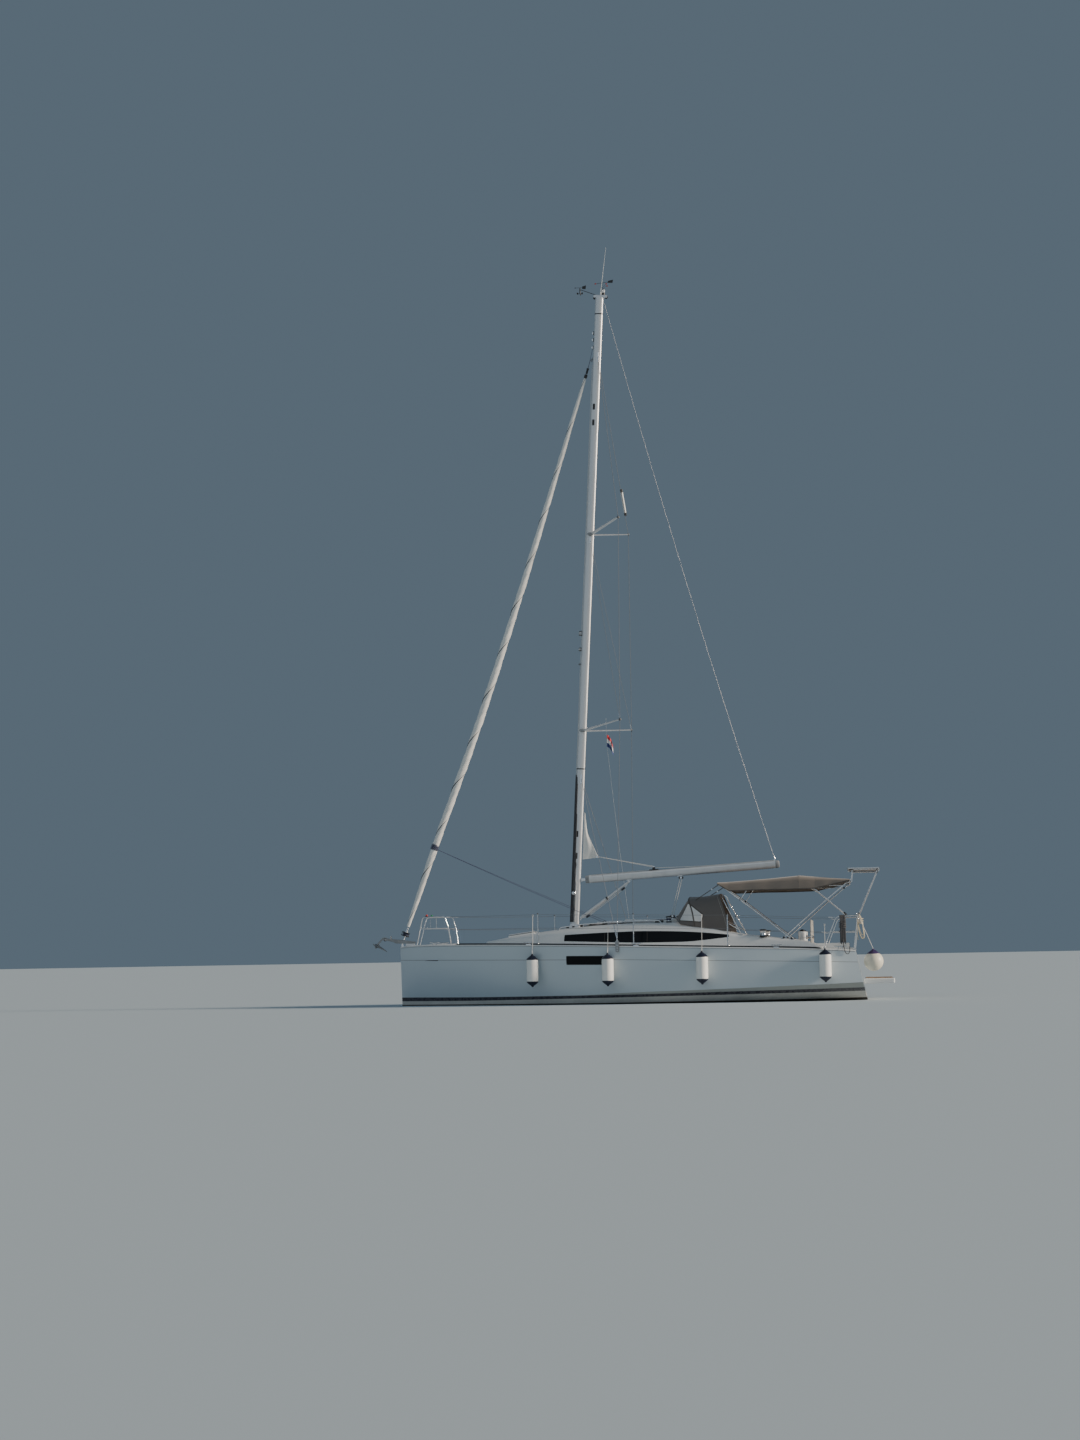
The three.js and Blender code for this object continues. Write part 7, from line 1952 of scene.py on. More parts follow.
def foot_at(x):
    h = house_at(x)
    return (x, h["ys"] - 0.030, h["zs"] - 0.004)


def mirror_path(pts):
    return list(pts) + [Vector((p[0], -p[1], p[2])) for p in list(pts)[:-1][::-1]]


def bow_path(leg, x, corner):
    top = [canopy_at(x, t) - Vector((0, 0, 0.0150)) for t in along_x(0.90, 0.0, 22)]
    half = [Vector(q) for q in leg]
    c = Vector((x, 1.050, canopy_at(x, 0.90).z - 0.062))
    arc = spline([half[-1], c, top[0], top[1]], 18)
    body_ = half[:-1] + arc[:13] + top
    return mirror_path([Vector(q) for q in body_])


b = Build()
for leg, x in (([foot_at(-3.510), (-2.440, 1.120, 2.120), (-2.060, 1.078, 2.405)], -1.995), ([foot_at(-3.300), (-4.235, 1.120, 2.095), (-4.630, 1.072, 2.415)], -4.692), ([(-4.614, 1.440, 1.771), (-4.022, 1.080, 2.280), (-3.760, 1.066, 2.440)], -3.664)):
    b.tube(bow_path(leg, x, 0.1), TR, 14)
    for s in (1, -1):
        # hinge fittings along the legs
        q = Vector(leg[0])
        d = (Vector(leg[1]) - q).normalized()
        d = Vector((d.x, s * d.y, d.z))
        q = Vector((q.x, s * q.y, q.z))
        b.lathe([(0.004, -0.012), (0.019, -0.010), (0.019, 0.045), (0.014, 0.055), (0.004, 0.055)], q, d, 16, 1)
        if x != -3.664:
            b.lathe([(0.004, -0.004), (0.034, -0.004), (0.034, 0.003), (0.026, 0.007), (0.004, 0.007)], q + Vector((0, 0, -0.002)), (0, 0, 1), 20)
            b.box(q + Vector((-0.018, -0.013, 0.0)), q + Vector((0.018, 0.013, 0.026)), 0.005)
b.tube(fillet([(-5.290, 0.960, 2.694), (-4.765, 0.960, 2.694), (-4.765, -0.960, 2.694), (-5.290, -0.960, 2.694)], 0.06, 6), 0.010, 12)
b.rod((-5.284, 0.965, 2.694), (-5.284, -0.965, 2.694), 0.010, 12)
for s in (1, -1):
    b.rod((-2.444, s * 1.118, 2.117), (-2.639, s * 1.072, 2.398), 0.008, 12)
    b.rod((-2.630, s * 1.074, 2.392), (-3.690, s * 1.078, 2.392), 0.008, 12)
    b.rod((-3.680, s * 1.078, 2.392), (-4.570, s * 1.070, 2.368), 0.008, 12)
    b.tube(fillet([(-4.694, s * 0.900, canopy_at(-4.692, 0.8).z - 0.015), (-4.736, s * 0.900, 2.488), (-4.765, s * 0.900, 2.694)], 0.02, 5), 0.010, 12)
    b.rod((-5.284, s * 0.955, 2.694), (-4.872, s * 1.330, 1.760), 0.012, 14)
    for p, d in (((-2.440, s * 1.118, 2.120), (-0.72, 0, 0.55)), ((-2.636, s * 1.073, 2.394), (-1, 0, 0)), ((-3.684, s * 1.079, 2.392), (-1, 0, 0)), ((-4.570, s * 1.070, 2.368), (-1, 0, 0)), ((-4.612, s * 1.440, 1.772), (-0.76, s * 0.47, -0.65)), ((-4.878, s * 1.325, 1.772), (0.40, s * 0.36, -0.9)), ((-5.280, s * 0.958, 2.688), (0.40, s * 0.36, -0.9))):
        p, d = Vector(p), Vector(d).normalized()
        b.lathe([(0.004, -0.022), (0.0165, -0.020), (0.0165, 0.020), (0.004, 0.022)], p, d, 14, 1)
        b.rod(p + Vector((0, s * 0.010, 0)), p + Vector((0, s * 0.021, 0)), 0.006, 10, 0)
# clamps under the panel
for x in (-4.765, -5.284):
    for y in (-0.62, -0.10, 0.10, 0.62):
        b.box((x - 0.018, y - 0.014, 2.682), (x + 0.018, y + 0.014, 2.7085), 0.004, 1)
b.obj("bimini_tubes", [M["steel"], M["black"]], ROOT, "bimini_frame", "stainless", angle=40)

# stern panel: two framed modules of dark square cells on a pale sheet
b = Build()
for y0, y1 in ((-1.000, -0.002), (0.002, 1.000)):
    x0, x1, z0, z1 = -5.334, -4.665, 2.708, 2.734
    for lo_, hi_ in (((x0, y0, z0), (x0 + 0.010, y1, z1)), ((x1 - 0.010, y0, z0), (x1, y1, z1)), ((x0, y0, z0), (x1, y0 + 0.010, z1)), ((x0, y1 - 0.010, z0), (x1, y1, z1))):
        b.box(lo_, hi_, 0.0015, 0)
    # the frame's inner flange
    for lo_, hi_ in (((x0 + 0.004, y0 + 0.004, z0), (x0 + 0.032, y1 - 0.004, z0 + 0.002)), ((x1 - 0.032, y0 + 0.004, z0), (x1 - 0.004, y1 - 0.004, z0 + 0.002)), ((x0 + 0.004, y0 + 0.004, z0), (x1 - 0.004, y0 + 0.032, z0 + 0.002)), ((x0 + 0.004, y1 - 0.032, z0), (x1 - 0.004, y1 - 0.004, z0 + 0.002))):
        b.box(lo_, hi_, 0.0005, 0)
    b.box((x0 + 0.009, y0 + 0.009, z1 - 0.009), (x1 - 0.009, y1 - 0.009, z1 - 0.0035), 0.0005, 1)
    cx, cy = (x1 - x0 - 0.044) / 4, (y1 - y0 - 0.044) / 6
    for i in range(4):
        for j in range(6):
            ax, ay = x0 + 0.022 + cx * i + 0.0022, y0 + 0.022 + cy * j + 0.0022
            bx, by = ax + cx - 0.0044, ay + cy - 0.0044
            c = 0.016
            b.plate([(ax + c, ay), (bx - c, ay), (bx, ay + c), (bx, by - c), (bx - c, by), (ax + c, by), (ax, by - c), (ax, ay + c)], z1 - 0.0036, z1 - 0.0030, "z", 2)
            for k in (1 / 3, 2 / 3):
                yy = lerp(ay, by, k)
                b.box((ax + 0.002, yy - 0.0008, z1 - 0.0031), (bx - 0.002, yy + 0.0008, z1 - 0.0028), 0, 0)
    b.box((lerp(x0, x1, 0.5) - 0.05, y1 - 0.24 if y0 < 0 else y0 + 0.13, z0 - 0.0), (lerp(x0, x1, 0.5) + 0.05, y1 - 0.13 if y0 < 0 else y0 + 0.24, z1 - 0.008), 0.004, 3)
b.obj("stern_panel_modules", [M["alloy"], M["backsheet"], M["cell"], M["black"]], ROOT, "stern_panel", "black_plastic", angle=35)

# ------------------------------------------------------------------ sprayhood
HA = [(-1.180, 0.985, 1.624), (-1.120, 0.900, 1.700), (-1.060, 0.640, 1.750), (-1.035, 0.330, 1.796), (-1.030, 0, 1.800)]
HB = [(-1.480, 1.060, 1.578), (-1.420, 0.980, 1.900), (-1.350, 0.830, 2.120), (-1.345, 0.500, 2.190), (-1.345, 0, 2.215)]
HC = [(-2.230, 1.122, 1.460), (-2.110, 1.075, 1.880), (-2.010, 0.930, 2.180), (-1.992, 0.600, 2.245), (-1.985, 0, 2.268)]
NH = 72


def hood_row(row):
    pts = [Vector(q) for q in row]
    return even(spline(mirror_path(pts), 220), NH + 1)


RA, RB, RC = hood_row(HA), hood_row(HB), hood_row(HC)


def hood_at(u, i):
    w = i / NH
    side = math.sin(math.pi * w)
    if u <= 1:
        p = RA[i].lerp(RB[i], u)
        n = Vector((0.75, 0.0, 0.66))
        p = p - n * (0.007 * math.sin(math.pi * u) * side)
    else:
        q = u - 1
        p = RB[i].lerp(RC[i], q)
        c = Vector((0, p.y, p.z - 1.45))
        if c.length > 0.01:
            c.normalize()
        wr = 0.004 * math.sin(15 * w + 5 * q) * math.sin(math.pi * q) + 0.003 * math.sin(31 * w - 9 * q) * math.sin(math.pi * q) * abs(2 * w - 1)
        p = p - c * (0.018 * math.sin(math.pi * q) * (0.55 + 0.45 * side) + wr)
    return p


def hood_grid(step1, step2):
    us = [k / step1 for k in range(step1)] + [1 + k / step2 for k in range(step2 + 1)]
    return [[hood_at(u, i) for i in range(NH + 1)] for u in us]


HG = hood_grid(14, 26)


def prism_tool(poly, lo, hi, axis):
    q = Build()
    q.plate(poly, lo, hi, axis)
    return q


def grown(poly, d):
    """A convex outline moved outwards by d."""
    c = [sum(q[k] for q in poly) / len(poly) for k in (0, 1)]
    out = []
    n = len(poly)
    area2 = sum(poly[i][0] * poly[(i + 1) % n][1] - poly[(i + 1) % n][0] * poly[i][1] for i in range(n))
    sg = 1 if area2 > 0 else -1
    for i in range(n):
        p0, p1, p2 = Vector(poly[i - 1]), Vector(poly[i]), Vector(poly[(i + 1) % n])
        e0, e1 = (p1 - p0).normalized(), (p2 - p1).normalized()
        n0, n1 = Vector((e0.y, -e0.x)) * sg, Vector((e1.y, -e1.x)) * sg
        m_ = (n0 + n1).normalized()
        out.append(tuple(p1 + m_ * (d / max(0.35, m_.dot(n0)))))
    return out


SIDE_WIN = [(-1.150, 1.712), (-1.338, 2.070), (-1.655, 1.812), (-1.615, 1.672)]
FRONT_WIN = [(-0.660, 1.808), (0.660, 1.808), (0.600, 2.100), (-0.600, 2.100)]
WINS = [("y", [q for q in SIDE_WIN], 0.70, 1.25), ("y", [q for q in SIDE_WIN], -1.25, -0.70), ("x", [q for q in FRONT_WIN], -1.336, -0.90)]
b = Build()
v, f, uv = shell(HG, 0.0026)
b.add(v, f, 0, True, uv)
hood = raw(b, [M["hood"], M["binding"]], "sprayhood_cloth")
for axis, poly, lo_, hi_ in WINS:
    q = Build()
    q.plate(rounded_poly(poly, 0.035), lo_, hi_, axis)
    tool = raw(q, [M["binding"]], "tool")
    cut(hood, tool)
finish_ob(hood, "sprayhood_cloth", ROOT, "sprayhood_canvas", 60)
wl = max(sum((r[i + 1] - r[i]).length for i in range(len(r) - 1)) for r in HG)
ll = max(sum((HG[i + 1][j] - HG[i][j]).length for i in range(len(HG) - 1)) for j in range(NH + 1))
round(half_area(hood), 3)
SHEETS["sprayhood cloth"] = (wl, ll, half_area(hood))

b = Build()
v, f, uv = shell(HG, 0.0011)
for k, (axis, poly, lo_, hi_) in enumerate(WINS):
    pane = raw_pane = None
    q = Build()
    q.add(v, f, 0, True, uv)
    pane = raw(q, [M["vinyl"]], "hood_window_%d" % (k + 1))
    q = Build()
    q.plate(rounded_poly(grown(poly, 0.010), 0.040), lo_ + (0.002 if axis == "x" else 0), hi_, axis)
    cut(pane, raw(q, [M["vinyl"]], "tool"), "INTERSECT")
    finish_ob(pane, "hood_window_%d" % (k + 1), ROOT, (), 60)

from mathutils.bvhtree import BVHTree
hv = [p for row in HG for p in row]
W_ = NH + 1
hf = [(i * W_ + j, i * W_ + j + 1, (i + 1) * W_ + j + 1, (i + 1) * W_ + j) for i in range(len(HG) - 1) for j in range(NH)]
tree = BVHTree.FromPolygons(hv, hf)
b = Build()
for axis, poly, lo_, hi_ in WINS:
    rp = rounded_poly(grown(poly, 0.006), 0.040)
    dense = []
    for i in range(len(rp)):
        a_, c_ = Vector(rp[i]), Vector(rp[(i + 1) % len(rp)])
        m_ = max(1, int((c_ - a_).length / 0.02))
        dense += [a_.lerp(c_, k / m_) for k in range(m_)]
    for outward in (1, -1):
        pts, nn = [], []
        for q in dense:
            if axis == "y":
                s = 1 if lo_ > 0 else -1
                o, d = Vector((q[0], s * 1.5, q[1])), Vector((0, -s, 0))
            else:
                o, d = Vector((-0.5, q[0], q[1])), Vector((-1, 0, 0))
            hit = tree.ray_cast(o, d)
            if hit[0] is None:
                continue
            n_ = hit[1] if hit[1].dot(d) < 0 else -hit[1]
            n_ = n_ * outward
            pts.append(hit[0] + n_ * 0.0014)
            nn.append(n_)
        if len(pts) > 4:
            pts.append(pts[0]); nn.append(nn[0])
            ribbon(b, pts, nn, 0.024, 0.0011, 0)
# edge bindings, the seam over the middle hoop, a line of stitching near the aft edge and snaps along the foot
for row, nn in ((HG[0], Vector((0.7, 0, 0.7))), (HG[-1], Vector((-0.6, 0, 0.8)))):
    b.tube([p for p in row], 0.0042, 8, 0, flat=1.0)
for col in (0, NH):
    b.tube([r[col] for r in HG], 0.0042, 8, 0)
seam = HG[14]
cen = Vector((-1.4, 0, 1.5))
ribbon(b, [p + (p - Vector((p.x, 0, 1.5))).normalized() * 0.0013 for p in seam], [(p - Vector((p.x, 0, 1.5))).normalized() for p in seam], 0.030, 0.0011, 0)
for o in (0.25, 0.75):
    i = int(14 + 26 * 0.93)
row = HG[-3]
ribbon(b, [p + (p - Vector((p.x, 0, 1.5))).normalized() * 0.0013 for p in row], [(p - Vector((p.x, 0, 1.5))).normalized() for p in row], 0.004, 0.0008, 1)
for k in range(5, NH - 4, 6):
    p = RA[k]
    b.lathe([(0.002, -0.001), (0.009, -0.001), (0.009, 0.003), (0.006, 0.006), (0.002, 0.006)], p.lerp(RB[k], 0.05) + Vector((0.002, 0, 0.001)), (0.75, 0, 0.66), 12, 2)
b.obj("sprayhood_trim", [M["binding"], M["thread"], M["steel"]], ROOT, (), "taupe_canvas", angle=50)

b = Build()
h = house_at(-2.460)
aft = [(-2.460, h["ys"] - 0.024, h["zs"] - 0.004), (-2.240, 1.105, 1.820), (-2.085, 1.010, 2.120), (-2.062, 0.800, 2.205), (-2.055, 0, 2.236)]
fwd = [(-2.400, 1.132, 1.500), (-1.720, 0.950, 1.900), (-1.440, 0.790, 2.090), (-1.420, 0.500, 2.160), (-1.420, 0, 2.180)]
b.tube(spline(mirror_path([Vector(q) for q in aft]), 130), 0.0125, 14)
b.tube(spline(mirror_path([Vector(q) for q in fwd]), 120), 0.011, 12)
for s in (1, -1):
    q = Vector((aft[0][0], s * aft[0][1], aft[0][2]))
    b.lathe([(0.004, -0.004), (0.032, -0.004), (0.032, 0.003), (0.018, 0.006), (0.016, 0.030), (0.004, 0.032)], q, (0, 0, 1), 20)
b.obj("sprayhood_hoops", [M["steel"], M["leather"]], ROOT, "sprayhood_frame", "stainless", angle=40)


# ------------------------------------------------------------------ fenders
FENDERS = [(1.890, 1.545, 0.720), (0.288, 1.785, 0.715), (-1.662, 1.834, 0.722), (-4.172, 1.710, 0.728)]
H = 0.235
for k, (x, y, z) in enumerate(FENDERS):
    b = Build()
    c = (x, y, z)
    b.lathe([(0.030, -H + 0.006), (0.112, -H + 0.004), (0.1195, -H + 0.014), (0.1215, -H + 0.030), (0.1205, -H + 0.040), (0.1222, -H + 0.052), (0.1215, 0.0), (0.1222, H - 0.052), (0.1205, H - 0.040), (0.1215, H - 0.030), (0.1195, H - 0.014), (0.112, H - 0.004), (0.030, H - 0.006)], c, (0, 0, 1), 48, 0)
    # moulded seam on both sides
    for s in (1, -1):
        b.tube([(x + s * 0.1212, y, z - H + 0.05), (x + s * 0.1212, y, z + H - 0.05)], 0.0016, 6, 0)
    for s in (1, -1):
        b.lathe([(0.090, s * (H - 0.012)), (0.1205, s * (H - 0.012)), (0.1200, s * (H + 0.002)), (0.110, s * (H + 0.016)), (0.088, s * (H + 0.037)), (0.058, s * (H + 0.060)), (0.034, s * (H + 0.076)), (0.025, s * (H + 0.084)), (0.0225, s * (H + 0.098)), (0.014, s * (H + 0.104)), (0.003, s * (H + 0.105))], c, (0, 0, 1), 40, 1)
    e = [Vector((x + 0.013 * math.cos(a), y, z + H + 0.095 + 0.014 * math.sin(a))) for a in [2 * math.pi * i / 18 for i in range(18)]]
    b.tube(e, 0.0062, 8, 1, closed=True)
    b.obj("fender_%d_body" % (k + 1), [M["fender"], M["navy"]], ROOT, "fender_%d" % (k + 1), "fender_white", angle=32)
    # lanyard: spliced eye, over the edge of the deck, hitched on the guard wire
    b = Build()
    sec = Section(x)
    rail_y, rail_z = sec.ys + 0.009, deck_top(x, sec.ys - 0.016) + 0.020
    top = Vector((x, y, z + H + 0.115))
    if k in (0, 2):
        yL = lerp(ST[0][1], ST[1][1], (ST[0][0] - x) / (ST[0][0] - ST[1][0])) if k == 0 else lerp(ST[1][1], ST[2][1], (ST[1][0] - x) / (ST[1][0] - ST[2][0]))
        zL = lerp(ST[0][2], ST[1][2], (ST[0][0] - x) / (ST[0][0] - ST[1][0])) if k == 0 else lerp(ST[1][2], ST[2][2], (ST[1][0] - x) / (ST[1][0] - ST[2][0]))
        if k == 0:
            yL, zL = Section(1.785).ys - 0.096, 1.885
        end = Vector((x, yL + 0.004, zL - 0.019))
    elif k == 1:
        end = Vector((x, sec.ys - 0.100, 1.575))
    else:
        end = Vector((x, 1.500, 1.560))
    mid = Vector((x, rail_y, rail_z))
    path = fillet([top, mid, end], [0, 0.03, 0], 6)
    b.tube(path, 0.0055, 10, 0)
    b.lathe([(0.002, -0.030), (0.0085, -0.026), (0.0085, 0.026), (0.002, 0.030)], top + (mid - top).normalized() * 0.035, (mid - top).normalized(), 12, 0)
    # turns around the wire
    for q in range(3):
        a0 = [Vector((end.x - 0.012 + 0.012 * q, end.y + 0.0085 * math.cos(a), end.z + 0.004 + 0.0095 * math.sin(a))) for a in [2 * math.pi * i / 14 for i in range(14)]]
        b.tube(a0, 0.0048, 7, 0, closed=True)
    b.box(end + Vector((-0.012, -0.010, -0.030)), end + Vector((0.012, 0.010, -0.006)), 0.008, 0)
    b.obj("fender_%d_lanyard" % (k + 1), [M["rope_white"]], ROOT, (), "fender_white", angle=60)

b = Build()
bx, by_, bz = -5.150, 1.290, 0.798
c = (bx, by_, bz)
prof = []
for i in range(0, 26):
    a = math.radians(-90 + i * 5.4)
    prof.append((max(0.003, 0.1995 * math.cos(a)), 0.1995 * math.sin(a)))
prof = [q for q in prof if q[1] < 0.150]
b.lathe(prof + [(0.128, 0.152)], c, (0, 0, 1), 64, 0)
b.lathe([(0.110, 0.150), (0.1305, 0.151), (0.1290, 0.158), (0.104, 0.178), (0.074, 0.196), (0.050, 0.210), (0.038, 0.222), (0.033, 0.236), (0.026, 0.246), (0.010, 0.249), (0.003, 0.249)], c, (0, 0, 1), 48, 1)
for k in range(8):
    a = 2 * math.pi * k / 8
    b.tube([(bx + (0.126 - 0.088 * t) * math.cos(a), by_ + (0.126 - 0.088 * t) * math.sin(a), bz + 0.158 + 0.066 * t) for t in (0, 0.3, 0.6, 1)], 0.004, 6, 1)
e = [Vector((bx + 0.014 * math.cos(a), by_, bz + 0.238 + 0.016 * math.sin(a))) for a in [2 * math.pi * i / 18 for i in range(18)]]
b.tube(e, 0.006, 8, 1, closed=True)
b.lathe([(0.003, -0.196), (0.020, -0.2005), (0.024, -0.196), (0.022, -0.190)], c, (0, 0, 1), 20, 0)
b.obj("ball_fender_body", [M["cream"], M["purple"]], ROOT, "ball_fender", "ball_cream", angle=35)
b = Build()
eye = Vector((bx, by_, bz + 0.252))
for tgt, m in ((Vector((-4.872, 1.392, 1.728)), 0), (Vector((-4.880, 1.180, 1.732)), 1)):
    b.tube([eye, eye.lerp(tgt, 0.5), tgt], 0.0062, 10, m)
    for q in range(3):
        b.tube([Vector((tgt.x + 0.016 * math.cos(a) + 0.004, tgt.y - 0.012 + 0.012 * q, tgt.z + 0.014 + 0.016 * math.sin(a))) for a in [2 * math.pi * i / 14 for i in range(14)]], 0.005, 7, m, closed=True)
b.obj("ball_fender_lanyards", [M["rope_white"], M["rope_navy"]], ROOT, (), "ball_cream", angle=60)

# ------------------------------------------------------------------ bow roller and anchor
RY = 0.076
b = Build()
cheek = [(4.640, 1.334), (5.050, 1.342), (5.120, 1.377), (5.350, 1.419), (5.350, 1.445), (5.250, 1.447), (5.060, 1.423), (4.640, 1.378)]
cheek = rounded_poly(cheek, 0.010)
for s in (1, -1):
    b.plate(cheek, RY + (0.034 if s > 0 else -0.042), RY + (0.042 if s > 0 else -0.034), "y", 0, 0.0016)
b.plate([(4.640, 1.335), (5.050, 1.343), (5.108, 1.363), (5.108, 1.369), (5.050, 1.349), (4.640, 1.341)], RY - 0.0345, RY + 0.0345, "y", 0, 0.0008)
b.lathe([(0.006, -0.0335), (0.030, -0.0335), (0.030, -0.029), (0.022, -0.022), (0.018, 0.0), (0.022, 0.022), (0.030, 0.029), (0.030, 0.0335), (0.006, 0.0335)], (5.300, RY, 1.424), (0, 1, 0), 28, 1)
b.rod((5.300, RY - 0.046, 1.424), (5.300, RY + 0.046, 1.424), 0.007, 14, 0)
for s in (1, -1):
    b.lathe([(0.002, 0), (0.012, 0.0), (0.012, 0.004), (0.009, 0.007), (0.002, 0.007)], (5.300, RY + s * 0.0415, 1.424), (0, s, 0), 12, 0)
    b.lathe([(0.002, 0), (0.008, 0.0), (0.008, 0.002), (0.005, 0.005), (0.002, 0.005)], (5.000, RY + s * 0.0415, 1.392), (0, s, 0), 12, 0)
b.box((4.650, RY - 0.034, deck_top(4.70, RY) - 0.003), (4.840, RY + 0.034, 1.336), 0.004, 2)
b.tube(fillet([(5.170, RY + 0.038, 1.436), (5.170, RY + 0.038, 1.500), (5.170, RY - 0.038, 1.500), (5.170, RY - 0.038, 1.436)], 0.02, 5), 0.0055, 10, 0)
b.obj("bow_roller_cheeks", [M["galv"], M["rubber"], M["alloy"]], ROOT, "bow_roller", "stainless", angle=35)

b = Build()
shank = [(4.780, 1.378), (5.235, 1.432), (5.300, 1.460), (5.350, 1.437), (5.440, 1.321), (5.498, 1.237), (5.538, 1.250), (5.470, 1.350), (5.360, 1.470), (5.300, 1.484), (5.230, 1.452), (4.780, 1.398)]
b.plate(rounded_poly(shank, 0.012), RY - 0.009, RY + 0.009, "y", 0, 0.0025)
# plough shaped fluke
secs = [(5.262, 0.008, 1.170, 1.163), (5.300, 0.040, 1.200, 1.186), (5.345, 0.078, 1.232, 1.210), (5.400, 0.116, 1.266, 1.234), (5.450, 0.136, 1.298, 1.256), (5.500, 0.148, 1.328, 1.277), (5.543, 0.149, 1.350, 1.296)]
rings = []
for x, w, ze, zm in secs:
    ring = []
    for i in range(9):
        t = -1 + i / 4
        ring.append(Vector((x, RY + t * w, lerp(zm + 0.009, ze, abs(t) ** 1.5))))
    for i in range(8, -1, -1):
        t = -1 + i / 4
        ring.append(Vector((x, RY + t * w * 0.985, lerp(zm - 0.006, ze - 0.004, abs(t) ** 1.3))))
    rings.append(ring)
b.add(*loft(rings))
for s in (1, -1):
    b.plate([(5.395, 1.250), (5.500, 1.290), (5.520, 1.262), (5.440, 1.330)], RY + s * 0.010 - 0.003, RY + s * 0.010 + 0.003, "y", 0, 0.001)
# shackle and a short run of chain down to the pipe
b.tube(fillet([(4.800, RY - 0.017, 1.388), (4.760, RY - 0.017, 1.386), (4.752, RY, 1.385), (4.760, RY + 0.017, 1.386), (4.800, RY + 0.017, 1.388)], 0.012, 5), 0.0055, 10, 1)
b.rod((4.796, RY - 0.024, 1.388), (4.796, RY + 0.024, 1.388), 0.006, 12, 1)


def chain(build, a, c, mat=0, wire=0.0042, pitch=0.027):
    a, c = Vector(a), Vector(c)
    d = (c - a).normalized()
    side = d.cross(Vector((0, 0, 1))).normalized()
    up = side.cross(d)
    n = int((c - a).length / pitch)
    for k in range(n):
        o = a + d * pitch * (k + 0.5)
        w = side if k % 2 else up
        L, R_ = pitch * 0.5 + wire, 0.0095
        pts = []
        for i in range(20):
            t = 2 * math.pi * i / 20
            pts.append(o + d * (L * 0.55 * math.copysign(1, math.cos(t)) * min(1, abs(math.cos(t)) * 1.5) + (L * 0.45) * math.cos(t)) + w * (R_ * math.sin(t)))
        build.tube(pts, wire, 7, mat, closed=True)


chain(b, (4.757, RY, 1.385), (4.655, RY, 1.352), 1)
b.obj("anchor_plough", [M["galv"], M["galv"]], ROOT, "anchor", "stainless", angle=30)

# ------------------------------------------------------------------ steering and table


def super_ring(cx, cy, z, hx, hy, p=3.2, n=40):
    out = []
    for i in range(n):
        a = 2 * math.pi * i / n
        c_, s_ = math.cos(a), math.sin(a)
        out.append(Vector((cx + hx * math.copysign(abs(c_) ** (2 / p), c_), cy + hy * math.copysign(abs(s_) ** (2 / p), s_), z)))
    return out


